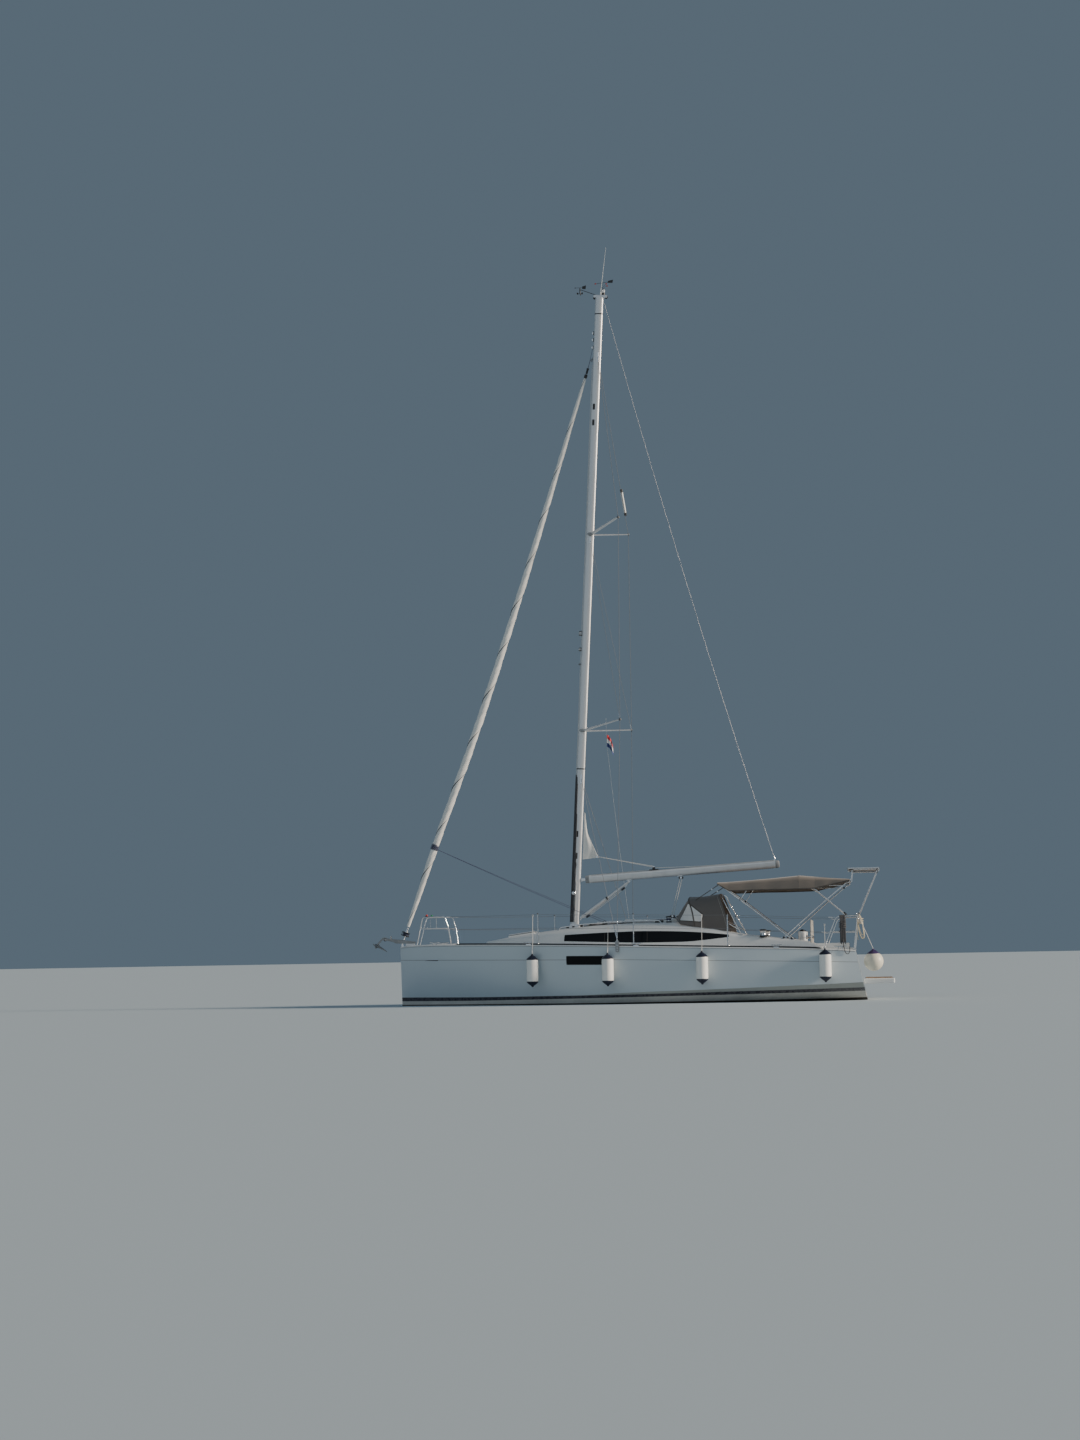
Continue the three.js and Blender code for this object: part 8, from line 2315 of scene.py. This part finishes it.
for name, wname, s in (("pedestal_port", "wheel_port", 1), ("pedestal_starboard", "wheel_starboard", -1)):
    y, px_ = s * 0.620, -3.690
    b = Build()
    prof = [(0.6004, 0.148, 0.108), (0.612, 0.148, 0.108), (0.640, 0.124, 0.092), (0.74, 0.106, 0.085), (0.95, 0.090, 0.081), (1.200, 0.077, 0.080), (1.320, 0.080, 0.096), (1.405, 0.085, 0.118), (1.428, 0.083, 0.117), (1.438, 0.074, 0.108)]
    b.add(*loft([super_ring(px_, y, z, hx, hy) for z, hx, hy in prof]))
    b.add(*loft([super_ring(px_, y, z, hx, hy) for z, hx, hy in ((1.436, 0.070, 0.104), (1.442, 0.068, 0.102), (1.443, 0.064, 0.098))]), mat=1)
    # compass bowl under its dome, instrument faces on the aft side
    b.lathe([(0.062, 0.0), (0.062, 0.012), (0.056, 0.016), (0.046, 0.014), (0.046, 0.006), (0.002, 0.006)], (px_, y, 1.440), (0, 0, 1), 32, 1)
    dome = [(0.046 * math.cos(math.radians(a)), 0.012 + 0.030 * math.sin(math.radians(a))) for a in range(0, 91, 10)]
    b.lathe([(max(0.001, r_), h_) for r_, h_ in dome], (px_, y, 1.440), (0, 0, 1), 32, 2)
    b.box((px_ - 0.0865, y - 0.055, 1.345), (px_ - 0.075, y + 0.055, 1.420), 0.006, 1)
    b.box((px_ - 0.0875, y - 0.042, 1.357), (px_ - 0.080, y + 0.042, 1.410), 0.003, 2)
    # shaft housing towards the wheel
    b.lathe([(0.004, 0.0), (0.044, 0.0), (0.044, 0.016), (0.036, 0.030), (0.004, 0.030)], (px_ - 0.072, y, 1.320), (-1, 0, 0), 26, 3)
    if s < 0:
        b.lathe([(0.004, 0), (0.026, 0.0), (0.026, 0.012), (0.004, 0.014)], (px_, y - 0.088, 1.250), (0, -1, 0), 20, 1)
        b.rod((px_, y - 0.100, 1.250), (px_ + 0.012, y - 0.104, 1.360), 0.007, 12, 3)
        b.lathe([(0.002, -0.018), (0.014, -0.012), (0.016, 0.0), (0.014, 0.012), (0.002, 0.018)], (px_ + 0.013, y - 0.104, 1.370), (0, 0, 1), 16, 1)
    b.obj(name + "_column", [M["gel"], M["black"], M["acrylic"], M["steel"]], ROOT, name, "white_gelcoat", angle=34)
    # wheel
    b = Build()
    wc = Vector((-3.880, y, 1.320))
    R0_, n_ = 0.350, 120
    b.tube([wc + Vector((0, R0_ * math.sin(2 * math.pi * i / n_), R0_ * math.cos(2 * math.pi * i / n_))) for i in range(n_)], 0.0125, 14, 1, closed=True)
    for i in range(120):
        a = 2 * math.pi * (i + 0.5) / 120
        if i % 2 == 0:
            rr = R0_ - 0.0118
            o = wc + Vector((0, rr * math.sin(a), rr * math.cos(a)))
            tdir = Vector((0, math.cos(a), -math.sin(a)))
            b.rod(o - tdir * 0.004 + Vector((0.0035, 0, 0)), o + tdir * 0.004 + Vector((-0.0035, 0, 0)), 0.0011, 5, 2)
    for i in range(5):
        a = i / 5 * 2 * math.pi + 0.3
        dvec = Vector((0, math.cos(a), math.sin(a)))
        b.tube([wc + dvec * 0.020 + Vector((0.010, 0, 0)), wc + dvec * 0.10 + Vector((0.004, 0, 0)), wc + dvec * (R0_ - 0.004)], 0.0075, 12, 0)
    b.lathe([(0.004, -0.028), (0.030, -0.028), (0.0315, -0.020), (0.0315, 0.010), (0.022, 0.020), (0.016, 0.024), (0.016, 0.088), (0.004, 0.089)], wc, (1, 0, 0), 28, 0)
    b.lathe([(0.002, -0.030), (0.017, -0.0295), (0.019, -0.026), (0.002, -0.026)], wc, (1, 0, 0), 20, 3)
    # king spoke mark
    b.tube([wc + Vector((0.0, (R0_) * math.sin(t), R0_ * math.cos(t))) for t in along_x(-0.035, 0.035, 8)], 0.0140, 14, 3)
    b.obj(wname + "_rim", [M["steel"], M["leather"], M["thread"], M["black"]], wname, wname, "stainless", angle=40)

b = Build()
b.box((-2.930, -0.055, 0.602), (-2.270, 0.055, 1.052), 0.018, 0, segs=3)
for lo_, hi_ in (((-3.050, -0.170, 1.052), (-2.150, -0.006, 1.084)), ((-3.050, 0.006, 1.052), (-2.150, 0.170, 1.084))):
    b.box(lo_, hi_, 0.006, 1)
for s in (1, -1):
    b.box((-3.050, s * 0.170 - (0.014 if s > 0 else 0), 1.082), (-2.150, s * 0.170 + (0 if s > 0 else 0.014), 1.090), 0.003, 1)
    for x in (-2.90, -2.60, -2.30):
        b.box((x - 0.022, s * 0.006 - 0.010, 1.0838), (x + 0.022, s * 0.006 + 0.010, 1.0858), 0.0008, 2)
    # leaves folded down beside the box
    b.box((-3.040, s * 0.150 - 0.010, 0.800), (-2.160, s * 0.150 + 0.010, 1.051), 0.005, 1)
for x in (-3.050, -2.164):
    b.box((x, -0.168, 1.0825), (x + 0.014, 0.168, 1.090), 0.003, 1)
for x in (-2.93, -2.275):
    b.box((x - 0.012, -0.10, 0.6005), (x + 0.018, 0.10, 0.608), 0.002, 2)
b.tube(fillet([(-3.010, -0.110, 1.060), (-3.010, -0.110, 1.210), (-3.010, 0.110, 1.210), (-3.010, 0.110, 1.060)], 0.045, 7), 0.0125, 14, 2)
for s in (1, -1):
    b.lathe([(0.013, 0), (0.024, 0.0), (0.024, 0.004), (0.016, 0.008), (0.013, 0.008)], (-3.010, s * 0.110, 1.084), (0, 0, 1), 18, 2)
    b.plate([(-2.76, 0.74), (-2.44, 0.74), (-2.44, 0.98), (-2.76, 0.98)], s * 0.055 - 0.0015, s * 0.055 + 0.0015, "y", 3, 0.001)
b.obj("cockpit_table_top", [M["gel"], M["varnish"], M["steel"], M["deck"]], ROOT, "cockpit_table", "wood_floor", angle=38)

# ------------------------------------------------------------------ deck gear


def winch(build, x, y, z, k=1.0, m0=0, m1=1):
    build.lathe([(0.004, 0.0), (0.070 * k, 0.0), (0.070 * k, 0.008), (0.062 * k, 0.016), (0.060 * k, 0.026)], (x, y, z), (0, 0, 1), 32, m1)
    build.lathe([(0.058 * k, 0.020 * k), (0.066 * k, 0.024 * k), (0.058 * k, 0.034 * k), (0.047 * k, 0.050 * k), (0.045 * k, 0.085 * k), (0.052 * k, 0.102 * k), (0.062 * k, 0.110 * k), (0.064 * k, 0.116 * k), (0.058 * k, 0.121 * k)], (x, y, z), (0, 0, 1), 40, m0)
    build.lathe([(0.040 * k, 0.118 * k), (0.065 * k, 0.122 * k), (0.067 * k, 0.130 * k), (0.060 * k, 0.140 * k), (0.040 * k, 0.146 * k), (0.018 * k, 0.147 * k), (0.016 * k, 0.141 * k), (0.004, 0.140 * k)], (x, y, z), (0, 0, 1), 40, m1)
    for i in range(24):
        a = 2 * math.pi * i / 24
        build.rod((x + 0.0462 * k * math.cos(a), y + 0.0462 * k * math.sin(a), z + 0.050 * k), (x + 0.0462 * k * math.cos(a + 0.12), y + 0.0462 * k * math.sin(a + 0.12), z + 0.086 * k), 0.0012, 4, m0)


def cleat(build, x, y, z, L=0.24, mat=0, turn=0.0):
    q = Euler((0, 0, turn)).to_quaternion()
    o = Vector((x, y, z))
    pts = [Vector((-L / 2, 0, 0.046)), Vector((-L * 0.40, 0, 0.050)), Vector((-L * 0.2, 0, 0.045)), Vector((0, 0, 0.043)), Vector((L * 0.2, 0, 0.045)), Vector((L * 0.40, 0, 0.050)), Vector((L / 2, 0, 0.046))]
    build.tube([o + q @ p for p in spline(pts, 26)], 0.011, 12, mat, scale=[0.45 + 0.75 * math.sin(math.pi * (0.06 + 0.88 * i / 25)) ** 0.6 for i in range(26)])
    for s_ in (1, -1):
        build.tube([o + q @ Vector((s_ * L * 0.17, 0, 0.0)), o + q @ Vector((s_ * L * 0.155, 0, 0.044))], 0.010, 12, mat)
        build.lathe([(0.004, -0.002), (0.020, -0.002), (0.020, 0.003), (0.012, 0.007), (0.004, 0.007)], o + q @ Vector((s_ * L * 0.17, 0, 0)), (0, 0, 1), 18, mat)


b = Build()
for s in (1, -1):
    for x, inn, L in ((4.130, 0.080, 0.25), (1.980, 0.062, 0.22), (-0.300, 0.062, 0.22), (-3.180, 0.062, 0.22), (-4.480, 0.085, 0.25)):
        sec = Section(x)
        y = s * (sec.ys - inn)
        slope = (Section(x + 0.2).ys - Section(x - 0.2).ys) / 0.4
        cleat(b, x, y, deck_top(x, abs(y)) + 0.001, L, 0, s * math.atan(slope))
        if -4.0 < x < 3.5:
            # fairlead set in the toe rail beside the cleat
            yr = s * (sec.ys - 0.016)
            b.box((-0.060, -0.0165, -0.002), (0.060, 0.0165, 0.0345), 0.008, 0, Euler((0, 0, s * math.atan(slope))).to_quaternion(), Vector((x, yr, deck_top(x, sec.ys - 0.016))))
b.obj("mooring_cleats", [M["steel"]], ROOT, (), "stainless", angle=40)

b = Build()
for s in (1, -1):
    # winches on the coaming and on the roof, clutches, organisers
    x, y = -2.900, s * 1.185
    winch(b, x, y, roof_z(x, y) - 0.004, 1.12)
    # genoa track and car on the roof
    xs_ = along_x(0.95, -0.15, 12)
    pts = [Vector((x_, s * 0.660, roof_z(x_, 0.660) + 0.0085)) for x_ in xs_]
    b.tube(pts, 0.0115, 4, 1, flat=0.75)
    for x_ in (0.95, -0.15):
        p = Vector((x_, s * 0.660, roof_z(x_, 0.660) + 0.012))
        b.box(p + Vector((-0.024, -0.017, -0.012)), p + Vector((0.024, 0.017, 0.014)), 0.005, 1)
    p = Vector((0.450, s * 0.660, roof_z(0.45, 0.660) + 0.022))
    b.box(p + Vector((-0.050, -0.022, -0.012)), p + Vector((0.050, 0.022, 0.010)), 0.006, 1)
    b.lathe([(0.004, -0.014), (0.030, -0.014), (0.030, -0.009), (0.024, 0.0), (0.030, 0.009), (0.030, 0.014), (0.004, 0.014)], p + Vector((0, 0, 0.034)), (0, 1, 0), 22, 1)
    b.box(p + Vector((-0.016, -0.018, 0.000)), p + Vector((0.016, -0.0145, 0.050)), 0.003, 0)
    b.box(p + Vector((-0.016, 0.0145, 0.000)), p + Vector((0.016, 0.018, 0.050)), 0.003, 0)
    # grab rail along the roof
    gr = [(1.45, 0.0), (1.40, 0.055), (0.9, 0.058), (0.35, 0.058), (-0.20, 0.058), (-0.72, 0.055), (-0.77, 0.0)]
    yy = lambda x_: s * (house_at(x_)["yh"] - 0.02)
    pts = [Vector((x_, yy(x_), roof_z(x_, yy(x_)) + h_)) for x_, h_ in gr]
    b.tube(fillet(pts, [0, 0.03, 0.05, 0.05, 0.05, 0.03, 0], 5), 0.011, 12, 0)
    for x_ in (0.9, 0.35, -0.20):
        b.rod((x_, yy(x_), roof_z(x_, yy(x_)) - 0.004), (x_, yy(x_), roof_z(x_, yy(x_)) + 0.058), 0.009, 12, 0)
    for x_ in (1.45, 0.9, 0.35, -0.20, -0.77):
        b.lathe([(0.004, -0.004), (0.021, -0.003), (0.021, 0.003), (0.012, 0.006), (0.004, 0.006)], (x_, yy(x_), roof_z(x_, yy(x_))), (0, 0, 1), 16, 0)
    # organiser, clutches and roof winch beside the hatch garage
    p = Vector((0.78, s * 0.315, roof_z(0.78, 0.315)))
    b.box(p + Vector((-0.035, -0.115, 0.0)), p + Vector((0.035, 0.115, 0.012)), 0.004, 1)
    for k in range(4):
        b.lathe([(0.004, 0.012), (0.024, 0.012), (0.018, 0.020), (0.024, 0.030), (0.004, 0.030)], p + Vector((0, -0.082 + 0.055 * k, 0)), (0, 0, 1), 20, 1)
    b.box(p + Vector((-0.030, -0.110, 0.029)), p + Vector((0.030, 0.110, 0.034)), 0.003, 0)
    z0 = roof_z(-0.70, 0.600)
    for k in range(4):
        yk = s * (0.515 + 0.042 * k)
        zk = roof_z(-0.70, yk)
        b.box((-0.780, yk - 0.017, zk - 0.002), (-0.610, yk + 0.017, zk + 0.040), 0.010, 1)
        b.box((-0.760, yk - 0.010, zk + 0.038), (-0.655, yk + 0.010, zk + 0.052), 0.005, 2 if k % 2 else 3)
    winch(b, -0.900, s * 0.585, roof_z(-0.90, 0.585) - 0.003, 0.92)
b.obj("deck_gear", [M["steel"], M["black"], M["grey"], M["fender"]], ROOT, (), "stainless", angle=38)


# ------------------------------------------------------------------ running lines, flag, small marks
b = Build()
for s in (1, -1):
    car = Vector((0.450, s * 0.660, roof_z(0.45, 0.660) + 0.056))
    # genoa sheets: bound around the rolled sail, through the car, back to the roof winch
    zb = 3.35
    c = stay_at(zb)
    pts = [c + Vector((-0.085, s * 0.030, 0)), car + Vector((0.026, 0, 0.0))]
    b.tube([pts[0].lerp(pts[1], t) - Vector((0, 0, 4 * t * (1 - t) * 0.020)) for t in along_x(0, 1, 16)], 0.0042, 8, 0)
    w = Vector((-0.900, s * 0.585, roof_z(-0.90, 0.585) + 0.060))
    a0 = car + Vector((-0.026, 0, 0.0))
    a1 = Vector((w.x + 0.05, w.y + s * 0.046, w.z))
    n = 12
    path = []
    for i in range(n + 1):
        t = i / n
        q = a0.lerp(a1, t)
        q.z = max(q.z, roof_z(q.x, q.y) + 0.0075)
        path.append(q)
    b.tube(path, 0.0055, 8, 0)
    for k in range(3):
        b.tube([Vector((w.x + 0.0485 * math.cos(a), w.y + 0.0485 * math.sin(a), w.z - 0.012 + 0.011 * k + 0.0017 * a)) for a in [2 * math.pi * i / 24 for i in range(25)]], 0.0052, 7, 0)
b.obj("genoa_sheets", [M["rope_navy"]], ROOT, (), "black_plastic", angle=60)

b = Build()
kinds = [2, 0, 1, 3, 0, 2, 1, 3]
for k in range(8):
    s = 1 if k < 4 else -1
    j = k % 4
    y0, y1 = s * (0.055 + 0.014 * j), s * (0.233 + 0.055 * j)
    p0 = Vector((1.02 - 0.01 * j, y0, roof_z(1.02, y0) + 0.040))
    p1 = Vector((0.78, y1, roof_z(0.78, y1) + 0.024))
    yk = s * (0.515 + 0.042 * j)
    p2 = Vector((-0.590, yk, roof_z(-0.59, yk) + 0.020))
    path = [p0.lerp(p1, t / 4) for t in range(4)]
    for i in range(0, 15):
        q = p1.lerp(p2, i / 14)
        q.z = max(q.z, roof_z(q.x, q.y) + 0.0068)
        path.append(q)
    b.tube(path, 0.0048, 7, kinds[k])
b.obj("roof_lines", [M["rope_white"], M["rope_blue"], M["rope_black"], M["rope_red"]], ROOT, (), "fender_white", angle=60)

# lines down the front and the sides of the mast
b = Build()


def on_skin(z, f_, s, off):
    y = MW / 2 * max(0.0, 1 - (abs(f_) / (FA / 2)) ** 2.5) ** 0.4
    n = Vector((f_ / (FA / 2) ** 2, y / (MW / 2) ** 2)).normalized()
    return on_mast(z, f_ + n.x * off, s * (y + n.y * off))


for k, (zt, y, m, r) in enumerate([(4.90, 0.030, 2, 0.0055), (4.86, 0.016, 2, 0.0060), (4.90, 0.002, 2, 0.0060), (4.82, -0.014, 2, 0.0055), (4.90, -0.030, 2, 0.0055), (13.9, 0.000, 0, 0.0042)]):
    pts = [on_mast(z, 0.0895 + 0.010 + 0.003 * math.sin(1.3 * z + 2 * k), y + 0.002 * math.sin(2.1 * z + k)) for z in along_x(1.735, zt, 26)]
    b.tube(pts, r, 8, m)
for s in (1, -1):
    for k, (zt, f_, m, r) in enumerate([(4.88, 0.080, 2, 0.0065), (4.84, 0.066, 2, 0.0065), (4.70, 0.052, 2, 0.0065), (4.05, 0.038, 2, 0.0060), (3.20, 0.024, 2, 0.0060), (2.75, 0.008, 1, 0.0050), (2.60, -0.012, 0, 0.0050)]):
        pts = [on_skin(z, f_ + 0.0025 * math.sin(1.9 * z + 1.7 * k), s, r + 0.0015) for z in along_x(1.735, zt, 26)]
        b.tube(pts, r, 8, m)
b.obj("mast_halyards", [M["rope_white"], M["rope_blue"], M["rope_black"], M["rope_red"]], ROOT, (), "fender_white", angle=60)

# flag under the starboard lower spreader, on its own thin line
FX, FY = 0.460, -0.550
b = Build()
b.tube([(FX + 0.010, FY, 6.16), (FX + 0.004, FY - 0.002, 5.6), (0.300, -1.150, 3.4), (0.110, -1.690, 1.312)], 0.0018, 6, 0)
b.obj("flag_line", [M["rope_white"]], ROOT, (), "fender_white", angle=60)
FW, FH = 0.38, 0.27
rows = []
for i in range(40):
    u = i / 39
    row = []
    for j in range(16):
        w = j / 15
        # hangs in folds from its hoist: it droops down while it reaches out
        reach = 0.62 * u
        x = FX - 0.004 - FW * 0.40 * math.sin(reach * 1.5) - 0.012 * w * u
        y = FY - 0.020 * u + 0.030 * math.sin(5.2 * math.pi * u + 1.2 * w) * (0.25 + 0.75 * u) * 0.9
        z = 5.800 - FH * w * (1 - 0.10 * u) - 0.30 * u * u * 0.62 - 0.05 * u
        row.append(Vector((x, y, z)))
    rows.append(row)
b = Build()
v, f, uv = shell(rows, 0.0012)
b.add(v, f, 0, True, uv)
flag = b.obj("flag_cloth", [M["flag_red"], M["flag_white"], M["flag_blue"]], ROOT, (), "sailcloth", angle=70, stay=True)
# bands by the grid's own rows
gw = 16
for poly in flag.data.polygons:
    ids = [i % (40 * gw) for i in poly.vertices]
    w = sum((i % gw) for i in ids) / len(ids) / (gw - 1)
    poly.material_index = 0 if w < 0.333 else (1 if w < 0.667 else 2)
finish_ob(flag, "flag_cloth", ROOT, (), 70)
fl = max(sum((rows[i + 1][j] - rows[i][j]).length for i in range(39)) for j in range(16))
fw_ = max(sum((r[j + 1] - r[j]).length for j in range(15)) for r in rows)
round(half_area(flag), 3)
SHEETS["flag cloth"] = (fl, fw_, half_area(flag))

# straps from the bimini's front corners to the sprayhood
b = Build()
for s in (1, -1):
    p, q = Vector((-2.012, s * 0.985, 2.452)), Vector((-1.452, s * 0.835, 2.102))
    n = [Vector((0, s, 0.2))] * 9
    ribbon(b, [p.lerp(q, t / 8) for t in range(9)], n, 0.016, 0.0016, 0)
    b.box(p.lerp(q, 0.30) - Vector((0.016, 0.006, 0.014)), p.lerp(q, 0.30) + Vector((0.016, 0.006, 0.014)), 0.004, 1)
b.obj("bimini_straps", [M["binding"], M["steel"]], ROOT, (), "taupe_canvas", angle=50)

# the bolder start of the line along the bow, both sides; fillers
b = Build()
for s in (1, -1):
    pts, nn = [], []
    for x in along_x(4.470, 4.050, 14):
        z = 0.972 + (x - 4.44) * (0.172 / 9.06)
        y = hull_y(x, z)
        y2 = hull_y(x - 0.05, z)
        t = Vector((-0.05, y2 - y, 0)).normalized()
        pts.append(Vector((x, s * (y + 0.0003), z)))
        nn.append(Vector((abs(t.y), s * abs(t.x), 0)).normalized())
    ribbon(b, pts, nn, 0.024, 0.0006, 0)
b.obj("bow_dash", [M["stripe"]], ROOT, (), "black_plastic", angle=50)
b = Build()
for x, y in ((-3.55, 1.395), (-3.80, 1.395), (2.35, 1.02), (2.35, -1.02), (-3.55, -1.395)):
    z = deck_top(x, abs(y)) if abs(y) > house_at(x)["yb"] else roof_z(x, y)
    b.lathe([(0.003, 0.0), (0.034, -0.001), (0.034, 0.002), (0.030, 0.0035), (0.003, 0.0035)], (x, y, z + 0.0005), (0, 0, 1), 26, 0)
    for a in (0.6, 3.74):
        b.lathe([(0.001, 0.0035), (0.004, 0.0035), (0.004, 0.0045), (0.001, 0.0045)], (x + 0.020 * math.cos(a), y + 0.020 * math.sin(a), z), (0, 0, 1), 8, 1)
b.obj("deck_fillers", [M["steel"], M["black"]], ROOT, (), "stainless", angle=40)


# two hanks of spare line hung on the stern rails: dark on the port side, cream at the corner
def rope_length(pts):
    return sum((Vector(pts[i + 1]) - Vector(pts[i])).length for i in range(len(pts) - 1))


rail_a, rail_b = Vector((-4.470, 1.490, 1.728)), Vector((-4.853, 1.400, 1.745))
along = (rail_b - rail_a).normalized()
across = Vector((-along.y, along.x, 0)).normalized()
if across.y < 0:
    across = -across
path = []
mid = rail_a.lerp(rail_b, 0.17)
for k in range(7):
    c = mid + along * (0.017 * (k - 3))
    h = 0.285 + 0.012 * math.sin(2.3 * k)
    for i in range(24):
        a = 2 * math.pi * i / 24
        sn = math.sin(a)
        w = 0.030 + 0.004 * (k % 2)
        q = c + along * (0.017 * i / 24) + across * (w * math.copysign(abs(sn) ** 0.55, sn))
        q.z = c.z + TR + 0.007 - h * (1 - math.cos(a))
        path.append(q)
# three turns round the middle, then the tail over the rail
c = mid + Vector((0, 0, -0.245))
for i in range(60):
    a = 2 * math.pi * i / 20
    q = c + along * (0.072 * math.cos(a)) + across * (0.046 * math.sin(a))
    q.z = c.z + 0.0042 * i / 2
    path.append(q)
edge = []
for x, z in ((-4.560, 1.10), (-4.572, 1.02), (-4.600, 0.965), (-4.645, 0.960), (-4.672, 1.02), (-4.675, 1.10)):
    edge.append(Vector((x, hull_y(x, z) + 0.012, z)))
sill = deck_top(-4.56, 1.50)
out = hull_y(-4.56, 1.14)
tail = [path[-1] + across * 0.012 - Vector((0, 0, 0.06)), Vector((-4.545, 1.500, 1.300)), Vector((-4.552, out - 0.045, sill + 0.052)), Vector((-4.557, out + 0.008, sill + 0.030))] + edge + [Vector((-4.676, hull_y(-4.676, 1.14) + 0.008, sill + 0.030)), Vector((-4.680, hull_y(-4.68, 1.14) - 0.060, sill + 0.044)), Vector((-4.670, 1.445, sill + 0.012))]
path += spline(tail, 60)
b = Build()
b.tube(path, 0.0078, 7, 0)
hank = b.obj("hank_dark", [M["rope_black"]], ROOT, (), "black_plastic", angle=60)
tuple(path[0])
round(rope_length(path), 2)
[tuple(q) for q in path]
CORDS = {"hank_dark": rope_length(path)}

path = []
for k in range(5):
    c = Vector((-4.8605, 1.335 - 0.017 * k, 1.745))
    h = 0.235 + 0.020 * math.sin(1.9 * k + 1)
    for i in range(24):
        a = 2 * math.pi * i / 24
        sn = math.sin(a)
        w = 0.046 + 0.010 * math.sin(2.1 * k)
        low = (1 - math.cos(a)) / 2
        q = c + Vector((w * math.copysign(abs(sn) ** 0.60, sn) - 0.085 * low, -0.017 * i / 24, 0))
        q.z = c.z + TR + 0.007 - h * (1 - math.cos(a))
        path.append(q)
c = Vector((-4.895, 1.293, 1.560))
for i in range(48):
    a = 2 * math.pi * i / 16
    path.append(Vector((c.x + 0.066 * math.cos(a), c.y + 0.058 * math.sin(a), c.z + 0.0042 * i / 1.5)))
path += spline([path[-1] + Vector((0.012, 0, -0.050)), Vector((-4.830, 1.300, 1.470)), Vector((-4.840, 1.310, 1.330)), Vector((-4.850, 1.320, 1.235))], 20)
b = Build()
b.tube(path, 0.0065, 7, 0)
hank = b.obj("hank_cream", [M["rope_cream"]], ROOT, (), "fender_white", angle=60)
tuple(path[0])
round(rope_length(path), 2)
[tuple(q) for q in path]
CORDS["hank_cream"] = rope_length(path)


# ------------------------------------------------------------------ floor, light and camera
def plain(name, color, rough=0.9):
    m, nt, b = _tree(name)
    b.inputs["Base Color"].default_value = (*color, 1)
    b.inputs["Roughness"].default_value = rough
    b.inputs["Specular IOR Level"].default_value = 0.2
    return m


bpy.ops.mesh.primitive_plane_add(size=1, location=(0, 0, 0))
floor = bpy.context.object
floor.name = "floor"
floor.scale = (900, 900, 1)
floor.data.materials.append(plain("floor_pale", (0.52, 0.60, 0.65)))

world = bpy.data.worlds.new("soft_sky")
bpy.context.scene.world = world
world.use_nodes = True
bg = world.node_tree.nodes["Background"]
bg.inputs["Color"].default_value = (0.155, 0.215, 0.275, 1)
bg.inputs["Strength"].default_value = 0.66


def sun(name, direction, energy, angle, color):
    lamp = bpy.data.lights.new(name, "SUN")
    lamp.energy, lamp.angle, lamp.color = energy, math.radians(angle), color
    ob = bpy.data.objects.new(name, lamp)
    ob.rotation_mode = "QUATERNION"
    ob.rotation_quaternion = Vector((0, 0, -1)).rotation_difference(Vector(direction).normalized())
    bpy.context.scene.collection.objects.link(ob)
    return ob


sun("key", (0.955, -0.04, -0.30), 5.0, 12, (1.0, 0.87, 0.72))
sun("fill", (-0.35, -0.85, -0.55), 0.34, 70, (0.86, 0.94, 1.0))

cam_data = bpy.data.cameras.new("photo_view")
cam = bpy.data.objects.new("photo_view", cam_data)
bpy.context.scene.collection.objects.link(cam)
psi, pitch, roll = math.radians(7.7), math.radians(5.65), 0.0175
Fh = Vector((math.sin(psi), -math.cos(psi), 0))
R0 = Vector((-math.cos(psi), -math.sin(psi), 0))
C = -51.0 * Fh - 1.83 * R0 + Vector((0, 0, 1.04))
Fv = math.cos(pitch) * Fh + math.sin(pitch) * Vector((0, 0, 1))
U0 = -math.sin(pitch) * Fh + math.cos(pitch) * Vector((0, 0, 1))
R = math.cos(roll) * R0 - math.sin(roll) * U0
U = math.sin(roll) * R0 + math.cos(roll) * U0
cam.matrix_world = Matrix(((R.x, U.x, -Fv.x, C.x), (R.y, U.y, -Fv.y, C.y), (R.z, U.z, -Fv.z, C.z), (0, 0, 0, 1)))
cam_data.lens = 59.4
cam_data.sensor_width = 36
cam_data.clip_end = 3000
bpy.context.scene.camera = cam
